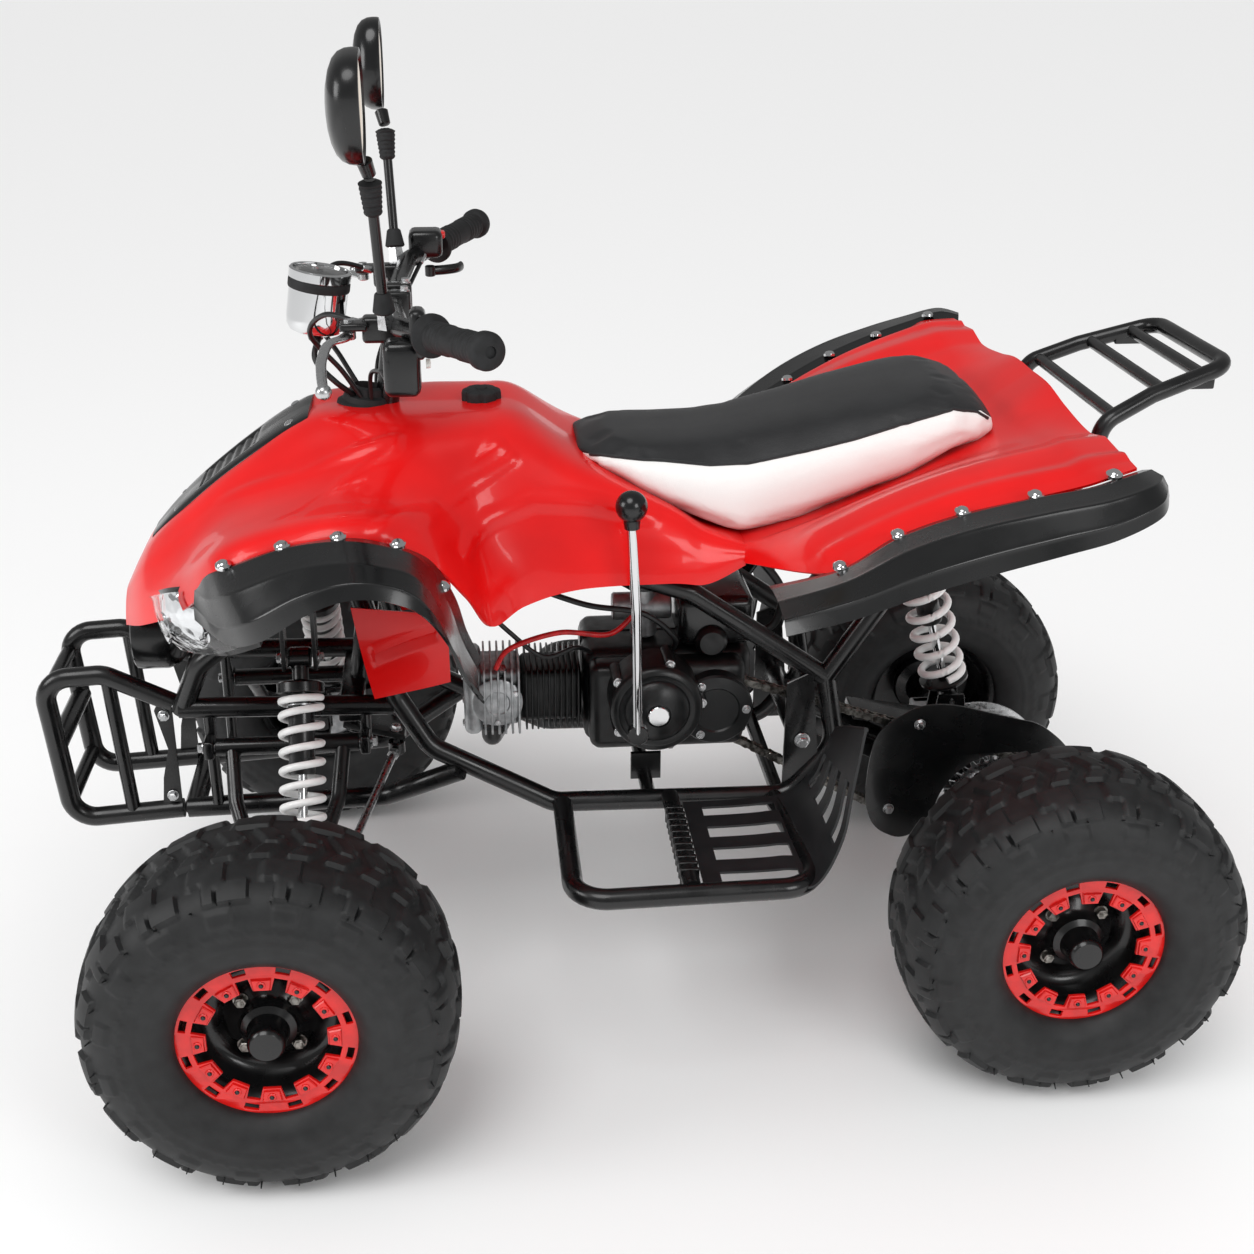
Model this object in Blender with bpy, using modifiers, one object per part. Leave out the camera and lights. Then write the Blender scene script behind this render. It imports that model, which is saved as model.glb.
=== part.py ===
"""Mini quad bike: a small four-wheeled ride-on with a chain-driven rear axle.

Frame: +X forward, +Y to the rider's left, +Z up, metres. The origin is on the ground under the
middle of the machine. Every sub-part is one object named for the piece it stands for.
"""

import math

import bmesh
import bpy
from mathutils import Matrix, Vector

# Driving sizes, in metres
WHEELBASE = 0.900
FRONT_TRACK = 0.800
REAR_TRACK = 0.640
TYRE_D = 0.406
TYRE_W = 0.190
RIM_D = 0.177
TUBE_R = 0.0125
SMALL_TUBE_R = 0.009
PANEL_T = 0.003
GAP = 0.0004
RUNNING_GAP = 0.0006

# Counts
TYRE_STEPS = 24
RIM_STEPS = 16
RING_LUGS = 12
SPROCKET_TEETH = 36
CYLINDER_FINS = 7
HEAD_FINS = 5
SPRING_CURLS = 7
POINTS_PER_CURL = 8

# Stations that follow from the driving sizes
TYRE_R = TYRE_D / 2
AXLE_Z = TYRE_R * math.cos(math.pi / TYRE_STEPS)
FRONT_X = WHEELBASE / 2 - 0.040
REAR_X = -WHEELBASE / 2 - 0.040
MID_X = (FRONT_X + REAR_X) / 2
FRONT_Y = FRONT_TRACK / 2
REAR_Y = REAR_TRACK / 2
RIM_R = RIM_D / 2
SIDES = (("left", 1), ("right", -1))

# Heights above the axles
LOW_RAIL_Z = AXLE_Z + 0.065
MID_RAIL_Z = AXLE_Z + 0.200
HEAD_TUBE_Z = AXLE_Z + 0.450
BAR_Z = AXLE_Z + 0.665
GRIP_Z = AXLE_Z + 0.688
FOOT_BAR_Z = AXLE_Z + 0.068
UPPER_TUBE_Z = AXLE_Z + 0.335
ENGINE_FLOOR_Z = AXLE_Z + 0.1015

# Half widths
LOW_RAIL_Y = 0.080
MID_RAIL_Y = 0.085
CRADLE_Y = 0.112
FOOT_BAR_Y = 0.340

# Front suspension: the arm turns on a pin along X, the knuckle on an upright kingpin
ARM_PIVOT_Y = 0.098
ARM_PIVOT_Z = AXLE_Z + 0.152
ARM_HALF = 0.085
KINGPIN_Y = FRONT_Y - 0.100
SLEEVE_R = 0.013
SLEEVE_HALF = 0.028
KINGPIN_R = 0.0065
SPINDLE_R = 0.010
STEER_ARM = 0.050
PITMAN_T = 0.008
PITMAN_CLEARANCE = 0.005
SHOCK_X = FRONT_X - 0.025
SHOCK_BOLT_R = 0.0038
SHOCK_EYE_R = 0.0048
SHOCK_TOP = Vector((SHOCK_X, 0.118, AXLE_Z + 0.275))
SHOCK_LOW = Vector((SHOCK_X, KINGPIN_Y - 0.062, AXLE_Z + 0.078))

# Steering column
STEM_R = 0.014
STEM_LOW = Vector((FRONT_X - 0.075, 0.0, AXLE_Z + 0.130))
STEM_TOP = Vector((FRONT_X - 0.150, 0.0, BAR_Z - 0.018))
BAR_R = 0.011
BAR_X = FRONT_X - 0.150
MIRROR_Z = BAR_Z + 0.165

# Rear suspension and drive
SWING_X = REAR_X + 0.275
SWING_Z = AXLE_Z + 0.137
SWING_Y = 0.030
REAR_SHOCK_TOP = Vector((REAR_X + 0.135, 0.0, AXLE_Z + 0.395))
REAR_SHOCK_LOW = Vector((REAR_X + 0.060, 0.0, AXLE_Z + 0.135))
CHAIN_PITCH = 0.0127
CHAIN_Y = 0.056
SPROCKET_T = 0.005
PITCH_R = CHAIN_PITCH / (2 * math.sin(math.pi / SPROCKET_TEETH))
OUTPUT_X = MID_X - 0.070
OUTPUT_Z = AXLE_Z + 0.172
OUTPUT_R = 0.0346
AXLE_R = 0.015
DISC_R = 0.095
DISC_Y = -0.056

# Colours as (red, green, blue), roughness and metallic
RED_PLASTIC = ((0.62, 0.006, 0.008), 0.22, 0.0)
BLACK_PAINT = ((0.012, 0.012, 0.013), 0.30, 0.2)
BLACK_PLASTIC = ((0.025, 0.026, 0.028), 0.42, 0.0)
RUBBER = ((0.022, 0.022, 0.023), 0.72, 0.0)
WHITE_PAINT = ((0.86, 0.86, 0.85), 0.30, 0.0)
SEAT_VINYL = ((0.050, 0.052, 0.056), 0.55, 0.0)
CHROME = ((0.78, 0.78, 0.79), 0.07, 1.0)
STEEL = ((0.52, 0.52, 0.53), 0.32, 1.0)
CAST_ALUMINIUM = ((0.62, 0.62, 0.63), 0.42, 1.0)
ENGINE_BLACK = ((0.018, 0.018, 0.020), 0.38, 0.3)
LENS = ((0.75, 0.78, 0.80), 0.08, 0.0)


def clear_scene():
    for obj in list(bpy.data.objects):
        bpy.data.objects.remove(obj, do_unlink=True)


clear_scene()
PARTS = bpy.data.collections.new("mini_quad_bike")
CUTTERS = bpy.data.collections.new("cutters")
bpy.context.scene.collection.children.link(PARTS)
bpy.context.scene.collection.children.link(CUTTERS)
MATERIALS = {}


def material_for(finish):
    """One Principled material for each finish."""
    if finish not in MATERIALS:
        colour, roughness, metallic = finish
        made = bpy.data.materials.new(f"finish_{len(MATERIALS)}")
        made.use_nodes = True
        shader = made.node_tree.nodes["Principled BSDF"]
        shader.inputs["Base Color"].default_value = (*colour, 1.0)
        shader.inputs["Roughness"].default_value = roughness
        shader.inputs["Metallic"].default_value = metallic
        MATERIALS[finish] = made
    return MATERIALS[finish]


def new_object(name, mesh):
    obj = bpy.data.objects.new(name, mesh)
    CUTTERS.objects.link(obj)
    return obj


def from_bmesh(bm, name="piece"):
    mesh = bpy.data.meshes.new(name)
    bm.to_mesh(mesh)
    bm.free()
    return new_object(name, mesh)


def as_mesh(obj, weld=0.00002):
    """The object with its modifiers or bevel worked out, as a plain welded mesh."""
    graph = bpy.context.evaluated_depsgraph_get()
    graph.update()
    mesh = bpy.data.meshes.new_from_object(obj.evaluated_get(graph), depsgraph=graph)
    bm = bmesh.new()
    bm.from_mesh(mesh)
    bmesh.ops.remove_doubles(bm, verts=bm.verts, dist=weld)
    bm.transform(obj.matrix_world)
    bm.to_mesh(mesh)
    bm.free()
    made = new_object(obj.name, mesh)
    bpy.data.objects.remove(obj, do_unlink=True)
    return made


def finish_part(obj, name, finish, origin=(0, 0, 0), smooth=40):
    """Names the part, gives it its material, and puts its origin where it turns or sits."""
    obj.name = name
    obj.data.name = name
    shift = Vector(origin)
    obj.data.transform(Matrix.Translation(-shift))
    obj.location = shift
    obj.data.materials.clear()
    obj.data.materials.append(material_for(finish))
    obj.data.shade_smooth()
    obj.data.set_sharp_from_angle(angle=math.radians(smooth))
    CUTTERS.objects.unlink(obj)
    PARTS.objects.link(obj)
    return obj


def turn_towards(direction):
    """The rotation that takes +Z to a direction."""
    return Vector(direction).to_track_quat("Z", "Y").to_matrix().to_4x4()


def rod(start, end, radius, sides=8, end_radius=None):
    """A cylinder or cone between two points."""
    start, end = Vector(start), Vector(end)
    bm = bmesh.new()
    far = radius if end_radius is None else end_radius
    length = (end - start).length
    bmesh.ops.create_cone(bm, cap_ends=True, segments=sides, radius1=radius, radius2=far, depth=length)
    bm.transform(Matrix.Translation((start + end) / 2) @ turn_towards(end - start))
    return from_bmesh(bm)


def box(low, high, bevel=0.0, turn=None):
    """A block between two corners, with bevelled edges and turned about its middle if asked."""
    low, high = Vector(low), Vector(high)
    size = high - low
    bm = bmesh.new()
    bmesh.ops.create_cube(bm, size=1.0)
    bmesh.ops.scale(bm, vec=size, verts=bm.verts)
    if bevel:
        bmesh.ops.bevel(bm, geom=bm.edges[:], offset=bevel, segments=1, affect="EDGES", profile=0.5)
    if turn is not None:
        bm.transform(turn)
    bm.transform(Matrix.Translation((low + high) / 2))
    return from_bmesh(bm)


def ball(centre, radius, segments=8):
    bm = bmesh.new()
    bmesh.ops.create_uvsphere(bm, u_segments=segments, v_segments=max(6, segments * 2 // 3), radius=radius)
    bm.transform(Matrix.Translation(Vector(centre)))
    return from_bmesh(bm)


def route(points, bend, steps=3):
    """The centre line of a bent tube: straight runs joined by arcs of the bend radius."""
    points = [Vector(p) for p in points]
    line = [points[0]]
    for before, corner, after in zip(points, points[1:], points[2:]):
        back = (before - corner).normalized()
        ahead = (after - corner).normalized()
        half = back.angle(ahead) / 2
        room = 0.45 * min((before - corner).length, (after - corner).length)
        cut = min(bend / math.tan(half), room)
        centre = corner + (back + ahead).normalized() * (cut / math.cos(half))
        first = corner + back * cut - centre
        last = corner + ahead * cut - centre
        line += [
            centre + first.slerp(last, k / steps).normalized() * first.length for k in range(steps + 1)
        ]
    return line + [points[-1]]


def wire(points, radius, sides=6):
    """A round bar along points: a curve with a bevel and filled caps, made a mesh."""
    data = bpy.data.curves.new("wire", "CURVE")
    data.dimensions = "3D"
    data.bevel_depth = radius
    data.bevel_resolution = (sides - 4) // 2
    data.use_fill_caps = True
    spline = data.splines.new("POLY")
    spline.points.add(len(points) - 1)
    for point, place in zip(spline.points, points):
        point.co = (*place, 1.0)
    return as_mesh(new_object("wire", data))


def tube(points, radius=TUBE_R, bend=0.035, steps=2, sides=6):
    return wire(route(points, bend, steps), radius, sides)


def plate(outlines, thickness, place):
    """Flat outlines extruded to a thickness about their own plane, then placed by a matrix."""
    data = bpy.data.curves.new("plate", "CURVE")
    data.dimensions = "2D"
    data.fill_mode = "BOTH"
    data.extrude = thickness / 2
    for outline in outlines:
        spline = data.splines.new("POLY")
        spline.points.add(len(outline) - 1)
        for point, (u, v) in zip(spline.points, outline):
            point.co = (u, v, 0.0, 1.0)
        spline.use_cyclic_u = True
    obj = new_object("plate", data)
    obj.matrix_world = place
    bpy.context.view_layer.update()
    return as_mesh(obj)


def upright_xz(y):
    """Places a flat outline's (u, v) at world (x, z) on the plane of one y."""
    return Matrix(((1, 0, 0, 0), (0, 0, -1, y), (0, 1, 0, 0), (0, 0, 0, 1)))


def upright_yz(x):
    """Places a flat outline's (u, v) at world (y, z) on the plane of one x."""
    return Matrix(((0, 0, 1, x), (1, 0, 0, 0), (0, 1, 0, 0), (0, 0, 0, 1)))


def ring_points(radius, count, start=0.0, turn=2 * math.pi):
    return [
        (radius * math.cos(start + turn * k / count), radius * math.sin(start + turn * k / count))
        for k in range(count)
    ]


def turned(profile, steps, place=None):
    """A closed profile of (radius, height) points turned about +Z with a Screw modifier."""
    mesh = bpy.data.meshes.new("profile")
    points = [(radius, 0.0, height) for radius, height in profile]
    edges = [(k, (k + 1) % len(points)) for k in range(len(points))]
    if profile[0][0] == 0 and profile[-1][0] == 0:
        edges.pop()
    mesh.from_pydata(points, edges, [])
    obj = new_object("turned", mesh)
    screw = obj.modifiers.new("turn", "SCREW")
    screw.steps = steps
    screw.render_steps = steps
    screw.use_merge_vertices = True
    screw.merge_threshold = 0.00001
    made = as_mesh(obj)
    bm = bmesh.new()
    bm.from_mesh(made.data)
    bmesh.ops.recalc_face_normals(bm, faces=bm.faces)
    if place is not None:
        bm.transform(place)
    bm.to_mesh(made.data)
    bm.free()
    return made


def loft(sections, closed_rings=False):
    """A skin through sections of equal length. Closed rings get flat ends and so make a solid."""
    bm = bmesh.new()
    rows = [[bm.verts.new(p) for p in section] for section in sections]
    count = len(rows[0])
    last = count if closed_rings else count - 1
    for row, following in zip(rows, rows[1:]):
        for k in range(last):
            m = (k + 1) % count
            bm.faces.new((row[k], row[m], following[m], following[k]))
    if closed_rings:
        bm.faces.new(list(reversed(rows[0])))
        bm.faces.new(rows[-1])
    bmesh.ops.recalc_face_normals(bm, faces=bm.faces)
    return from_bmesh(bm)


def thicken(obj, thickness, offset=-1.0):
    """A wall on an open skin."""
    solid = obj.modifiers.new("wall", "SOLIDIFY")
    solid.thickness = thickness
    solid.offset = offset
    solid.use_even_offset = True
    made = as_mesh(obj)
    bm = bmesh.new()
    bm.from_mesh(made.data)
    bmesh.ops.recalc_face_normals(bm, faces=bm.faces)
    bmesh.ops.triangulate(bm, faces=bm.faces)
    bm.to_mesh(made.data)
    bm.free()
    return made


def combine(base, others, operation):
    """Joins others to the base, or cuts them from it, one exact Boolean at a time."""
    for other in others:
        cut = base.modifiers.new("combine", "BOOLEAN")
        cut.operation = operation
        cut.object = other
        cut.solver = "EXACT"
        base = as_mesh(base, 0.0000004)
        bpy.data.objects.remove(other, do_unlink=True)
    return base


def tidy_faces(obj):
    """Dissolves the needless edges that Booleans leave inside flat faces."""
    bm = bmesh.new()
    bm.from_mesh(obj.data)
    flat = math.radians(0.4)
    bmesh.ops.dissolve_limit(
        bm, angle_limit=flat, verts=bm.verts, edges=bm.edges, use_dissolve_boundaries=False,
    )
    bmesh.ops.triangulate(bm, faces=bm.faces)
    bm.to_mesh(obj.data)
    bm.free()
    return obj


def fuse(pieces, cuts=()):
    made = combine(pieces[0], pieces[1:], "UNION")
    return tidy_faces(combine(made, cuts, "DIFFERENCE"))


def mirrored(point, side):
    return Vector((point[0], point[1] * side, point[2]))


def both_sides(points, side):
    return [mirrored(p, side) for p in points]


def wheel_place(x, y, side):
    """Turns a piece made about +Z so that its top faces away from the machine, at a wheel's centre."""
    outward = Matrix.Rotation(-math.pi / 2 * side, 4, "X")
    return Matrix.Translation((x, y * side, AXLE_Z)) @ outward


def eye(centre, axis, outer, bore, width, sides=8):
    """A short ring for a pin, along an axis."""
    profile = [(bore, width / 2), (outer, width / 2), (outer, -width / 2), (bore, -width / 2)]
    return turned(profile, sides, Matrix.Translation(Vector(centre)) @ turn_towards(axis))


# Wheels


def tyre_profile():
    """Half widths and radii of the tyre, bead to bead, and which points carry a tread block."""
    half = TYRE_W / 2
    bead = RIM_R / math.cos(math.pi / TYRE_STEPS) + 0.0003
    side = [
        (0.63 * half, bead, 0.0),
        (0.97 * half, TYRE_R - 0.076, 0.0),
        (0.97 * half, TYRE_R - 0.038, 0.002),
        (0.82 * half, TYRE_R - 0.015, 0.007),
        (0.34 * half, TYRE_R, 0.0),
    ]
    return side, [(-y, r, lift) for y, r, lift in reversed(side)]


def make_tyre(name, x, y, side):
    """A balloon tyre whose shoulder blocks stand out in two of every three columns."""
    near, far = tyre_profile()
    profile = near + far
    step = 2 * math.pi / TYRE_STEPS
    rings = []
    for column in range(TYRE_STEPS):
        angle = step * (column - 0.5)
        ring = []
        for index, (across, radius, lift) in enumerate(profile):
            shift = 0 if index < len(near) else 1
            raised = (column + shift) % 3 != 2
            r = radius if raised else radius - lift
            ring.append((r * math.cos(angle), r * math.sin(angle), across))
        rings.append(ring)
    bm = bmesh.new()
    rows = [[bm.verts.new(p) for p in ring] for ring in rings]
    count = len(profile)
    for k, row in enumerate(rows):
        following = rows[(k + 1) % TYRE_STEPS]
        for m in range(count):
            n = (m + 1) % count
            bm.faces.new((row[m], row[n], following[n], following[m]))
    bmesh.ops.recalc_face_normals(bm, faces=bm.faces)
    bm.transform(wheel_place(x, y, side) @ Matrix.Rotation(-math.pi / 2 * side, 4, "Z"))
    tyre = from_bmesh(bm)
    return finish_part(tyre, name, RUBBER, (x, y * side, AXLE_Z))


def rim_profile():
    """Radius and height of the deep-dished rim, hub and cap, the outer face being up."""
    lip = RIM_R - 0.006
    return [
        (0.0, 0.022),
        (0.020, 0.018),
        (0.024, -0.004),
        (0.062, -0.010),
        (lip - 0.006, 0.006),
        (lip, 0.073),
        (RIM_R, 0.073),
        (RIM_R, -0.062),
        (lip - 0.004, -0.062),
        (0.062, -0.017),
        (0.024, -0.012),
        (0.024, -0.034),
        (SPINDLE_R + RUNNING_GAP, -0.034),
        (SPINDLE_R + RUNNING_GAP, 0.012),
        (0.0, 0.012),
    ]


def make_rim(name, x, y, side):
    """The rim with its bead ring: a flat ring with square lugs on its inner edge."""
    barrel = turned(rim_profile(), RIM_STEPS)
    lug_turn = 2 * math.pi / RING_LUGS
    inner = []
    for k in range(RING_LUGS):
        for share, radius in ((-0.24, 0.064), (0.24, 0.064), (0.26, 0.075), (0.74, 0.075)):
            angle = lug_turn * (k + share)
            inner.append((radius * math.cos(angle), radius * math.sin(angle)))
    outer = ring_points(RIM_R + 0.0085, 2 * RING_LUGS)
    ring = plate([outer, inner], 0.008, Matrix.Translation((0, 0, 0.0765)))
    rim = fuse([barrel, ring])
    rim.data.transform(wheel_place(x, y, side))
    return finish_part(rim, name, BLACK_PAINT, (x, y * side, AXLE_Z), smooth=30)


def make_wheels():
    for word, side in SIDES:
        make_tyre(f"front_tyre_{word}", FRONT_X, FRONT_Y, side)
        make_rim(f"front_rim_{word}", FRONT_X, FRONT_Y, side)
        make_tyre(f"rear_tyre_{word}", REAR_X, REAR_Y, side)
        make_rim(f"rear_rim_{word}", REAR_X, REAR_Y, side)


# Front suspension


def make_arm(word, side):
    """The welded arm: a pivot tube, two legs, a kingpin sleeve and ears for the shock."""
    pivot_y = ARM_PIVOT_Y
    pivot = rod(
        mirrored((FRONT_X - ARM_HALF, pivot_y, ARM_PIVOT_Z), side),
        mirrored((FRONT_X + ARM_HALF, pivot_y, ARM_PIVOT_Z), side),
        0.011,
    )
    pin = rod(
        mirrored((FRONT_X - ARM_HALF - 0.014, pivot_y, ARM_PIVOT_Z), side),
        mirrored((FRONT_X + ARM_HALF + 0.014, pivot_y, ARM_PIVOT_Z), side),
        0.006,
    )
    pieces = [pivot, pin]
    for along in (-1, 1):
        leg = [
            (FRONT_X + along * 0.066, pivot_y, ARM_PIVOT_Z),
            (FRONT_X + along * 0.060, pivot_y + 0.048, ARM_PIVOT_Z - 0.050),
            (FRONT_X + along * 0.006, KINGPIN_Y - SLEEVE_R * 0.6, AXLE_Z),
        ]
        pieces.append(tube(both_sides(leg, side), SMALL_TUBE_R, 0.04, 2))
    kingpin = mirrored((FRONT_X, KINGPIN_Y, AXLE_Z), side)
    up = Vector((0, 0, SLEEVE_HALF))
    pieces.append(rod(kingpin - up, kingpin + up, SLEEVE_R, 10))
    ear_y = SHOCK_LOW.y
    brace_z = SHOCK_LOW.z - 0.040
    for along in (-1, 1):
        ear_x = SHOCK_X + along * 0.0165
        outline = [
            (side * (ear_y - 0.012), brace_z - 0.010),
            (side * (ear_y + 0.009), brace_z - 0.010),
            (side * (ear_y + 0.010), SHOCK_LOW.z + 0.008),
            (side * (ear_y - 0.011), SHOCK_LOW.z + 0.008),
        ]
        pieces.append(plate([outline], 0.004, upright_yz(ear_x)))
    brace = rod(
        mirrored((FRONT_X - 0.046, ear_y, brace_z), side),
        mirrored((FRONT_X + 0.030, ear_y, brace_z), side),
        SMALL_TUBE_R,
    )
    bolt = rod(
        mirrored((SHOCK_X - 0.024, ear_y, SHOCK_LOW.z), side),
        mirrored((SHOCK_X + 0.024, ear_y, SHOCK_LOW.z), side),
        SHOCK_BOLT_R,
    )
    pieces += [brace, bolt]
    bore = rod(kingpin - up * 2, kingpin + up * 2, KINGPIN_R + RUNNING_GAP, 8)
    arm = fuse(pieces, [bore])
    return finish_part(arm, f"a_arm_{word}", BLACK_PAINT, mirrored((FRONT_X, pivot_y, ARM_PIVOT_Z), side))


def make_knuckle(word, side):
    """The yoke round the arm's sleeve, its kingpin, the wheel spindle and the steering arm."""
    kingpin = mirrored((FRONT_X, KINGPIN_Y, AXLE_Z), side)
    reach = SLEEVE_HALF + 0.010
    pieces = [rod(kingpin - Vector((0, 0, reach)), kingpin + Vector((0, 0, reach)), KINGPIN_R, 10)]
    web_y = KINGPIN_Y + 0.026
    low = sorted((side * (KINGPIN_Y + 0.019), side * web_y))
    pieces.append(box((FRONT_X - 0.014, low[0], AXLE_Z - reach), (FRONT_X + 0.014, low[1], AXLE_Z + reach)))
    for up in (-1, 1):
        inner = AXLE_Z + up * (SLEEVE_HALF + 0.0010)
        outer = AXLE_Z + up * reach
        heights = sorted((inner, outer))
        widths = sorted((side * (KINGPIN_Y - 0.012), side * (web_y - 0.002)))
        pieces.append(
            box((FRONT_X - 0.0125, widths[0], heights[0]), (FRONT_X + 0.0125, widths[1], heights[1]))
        )
    end = mirrored((FRONT_X, FRONT_Y + 0.006, AXLE_Z), side)
    root = mirrored((FRONT_X, web_y - 0.004, AXLE_Z), side)
    pieces.append(rod(root, end, SPINDLE_R, 12))
    pieces.append(rod(root, mirrored((FRONT_X, FRONT_Y - 0.036, AXLE_Z), side), 0.016, 12))
    top = AXLE_Z + reach
    arm_low = sorted((side * (KINGPIN_Y - 0.009), side * (KINGPIN_Y + 0.009)))
    pieces.append(
        box(
            (FRONT_X - STEER_ARM - 0.010, arm_low[0], top - 0.007),
            (FRONT_X + 0.010, arm_low[1], top + 0.0005),
        )
    )
    knuckle = fuse(pieces)
    return finish_part(knuckle, f"knuckle_{word}", BLACK_PAINT, kingpin)


def tie_rod_ends(side):
    """Centres of the tie rod's outer and inner ball joints."""
    outer = mirrored((FRONT_X - STEER_ARM, KINGPIN_Y, AXLE_Z + SLEEVE_HALF + 0.0205), side)
    rake_drop = 0.145 * (STEER_ARM + 0.0105)
    below = PITMAN_T / 2 + rake_drop + PITMAN_CLEARANCE + 0.009
    inner = mirrored((STEM_LOW.x - STEER_ARM, 0.022, STEM_LOW.z - below), side)
    return outer, inner


def make_tie_rod(word, side):
    """A steel rod with a ball joint housing at each end."""
    outer, inner = tie_rod_ends(side)
    run = (inner - outer).normalized()
    pieces = [
        wire([outer + run * 0.006, inner - run * 0.006], 0.0050),
        rod(outer - Vector((0, 0, 0.0096)), outer + Vector((0, 0, 0.008)), 0.0105, 8),
        rod(inner - Vector((0, 0, 0.008)), inner + Vector((0, 0, 0.009)), 0.0105, 8),
        rod(outer + run * 0.010, outer + run * 0.018, 0.0080, 6),
        rod(inner - run * 0.018, inner - run * 0.010, 0.0080, 6),
    ]
    return finish_part(fuse(pieces), f"tie_rod_{word}", STEEL, outer)


def make_shock(prefix, word, top, low, curls, spring_r, wire_r):
    """A coil-over shock: body with eye and seat, rod with seat and eye, and the spring between."""
    suffix = f"_{word}" if word else ""
    down = (low - top).normalized()
    length = (low - top).length
    across = Vector((1, 0, 0)) if abs(down.x) < 0.1 else Vector((0, 1, 0))
    place = Matrix.Translation(top) @ turn_towards(-down)
    body_r = spring_r - wire_r - 0.0055
    seat_r = spring_r + wire_r + 0.001
    body_end = -0.62 * length
    bore = 0.0056
    rod_r = 0.0050
    body = turned(
        [
            (0.0, -0.005),
            (0.0125, -0.006),
            (0.0125, -0.038),
            (seat_r, -0.042),
            (seat_r, -0.045),
            (body_r, -0.046),
            (body_r, body_end),
            (bore, body_end),
            (bore, -0.090),
            (0.0, -0.090),
        ],
        10,
        place,
    )
    cap = eye(top, across, 0.0125, SHOCK_EYE_R, 0.026)
    body = combine(body, [cap], "UNION")
    body = combine(body, [rod(top - across * 0.05, top + across * 0.05, SHOCK_EYE_R)], "DIFFERENCE")
    finish_part(body, f"{prefix}_shock_body{suffix}", BLACK_PAINT, top)
    shaft = turned(
        [
            (0.0, -0.110),
            (rod_r, -0.110),
            (rod_r, 0.034 - length),
            (seat_r, 0.033 - length),
            (seat_r, 0.029 - length),
            (0.012, 0.026 - length),
            (0.010, 0.005 - length),
            (0.0, 0.005 - length),
        ],
        10,
        place,
    )
    foot = eye(low, across, 0.0115, SHOCK_EYE_R, 0.025)
    shaft = combine(shaft, [foot], "UNION")
    shaft = combine(shaft, [rod(low - across * 0.05, low + across * 0.05, SHOCK_EYE_R)], "DIFFERENCE")
    finish_part(shaft, f"{prefix}_shock_rod{suffix}", STEEL, low)
    start = -0.045 - wire_r - GAP
    end = 0.034 - length + wire_r + GAP
    count = curls * POINTS_PER_CURL
    points = []
    for k in range(count + 1):
        angle = 2 * math.pi * k / POINTS_PER_CURL
        height = start + (end - start) * k / count
        points.append(Vector((spring_r * math.cos(angle), spring_r * math.sin(angle), height)))
    pitch = abs(end - start) / curls
    print(f"{prefix} spring: least gap to itself {1000 * (pitch - 2 * wire_r):.2f} mm")
    coil = wire(points, wire_r, 6)
    coil.data.transform(place)
    finish_part(coil, f"{prefix}_spring{suffix}", WHITE_PAINT, top, smooth=80)


def make_front_suspension():
    for word, side in SIDES:
        make_arm(word, side)
        make_knuckle(word, side)
        make_tie_rod(word, side)
        top, low = mirrored(SHOCK_TOP, side), mirrored(SHOCK_LOW, side)
        make_shock("front", word, top, low, SPRING_CURLS, 0.0235, 0.0036)


# Frame


def stem_axis(height):
    """The point of the steering axis at a height."""
    share = (height - STEM_LOW.z) / (STEM_TOP.z - STEM_LOW.z)
    return STEM_LOW.lerp(STEM_TOP, share)


def frame_lines():
    """Centre lines of the frame's main tubes on the left side."""
    front = FRONT_X + 0.125
    rear_node = (REAR_X + 0.248, 0.100, AXLE_Z + 0.217)
    foot_bar_front = MID_X + 0.131
    foot_bar_rear = MID_X - 0.160
    return {
        "lower": [
            (front + 0.005, LOW_RAIL_Y - 0.012, LOW_RAIL_Z - 0.010),
            (FRONT_X - 0.110, LOW_RAIL_Y - 0.002, LOW_RAIL_Z),
            (FRONT_X - 0.205, CRADLE_Y, LOW_RAIL_Z + 0.050),
        ],
        "middle": [
            (front, MID_RAIL_Y, MID_RAIL_Z),
            (FRONT_X - 0.128, MID_RAIL_Y, MID_RAIL_Z - 0.006),
        ],
        "upper": [
            (front - 0.002, MID_RAIL_Y - 0.003, MID_RAIL_Z - 0.006),
            (front - 0.030, MID_RAIL_Y + 0.010, MID_RAIL_Z + 0.060),
            (FRONT_X - 0.062, 0.112, AXLE_Z + 0.386),
            (FRONT_X - 0.130, 0.050, HEAD_TUBE_Z + 0.004),
            (FRONT_X - 0.122, 0.014, HEAD_TUBE_Z + 0.002),
        ],
        "down": [
            (FRONT_X - 0.085, 0.106, AXLE_Z + 0.392),
            (FRONT_X - 0.130, 0.090, MID_RAIL_Z + 0.010),
            (FRONT_X - 0.170, 0.104, LOW_RAIL_Z + 0.080),
            (foot_bar_front, CRADLE_Y, LOW_RAIL_Z),
            (foot_bar_front - 0.040, CRADLE_Y, LOW_RAIL_Z),
        ],
        "cradle": [
            (foot_bar_front - 0.020, CRADLE_Y, LOW_RAIL_Z),
            (foot_bar_rear, CRADLE_Y, LOW_RAIL_Z - 0.004),
            (rear_node[0] - 0.016, 0.106, rear_node[2] - 0.090),
            rear_node,
        ],
        "back": [
            (FRONT_X - 0.128, 0.016, HEAD_TUBE_Z + 0.004),
            (MID_X + 0.160, 0.085, AXLE_Z + 0.395),
            (MID_X - 0.033, 0.100, UPPER_TUBE_Z),
            rear_node,
        ],
        "strut": [
            rear_node,
            (REAR_X + 0.170, 0.096, AXLE_Z + 0.335),
            (REAR_X + 0.060, 0.092, AXLE_Z + 0.440),
            (REAR_X - 0.010, 0.092, AXLE_Z + 0.448),
        ],
    }


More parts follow.
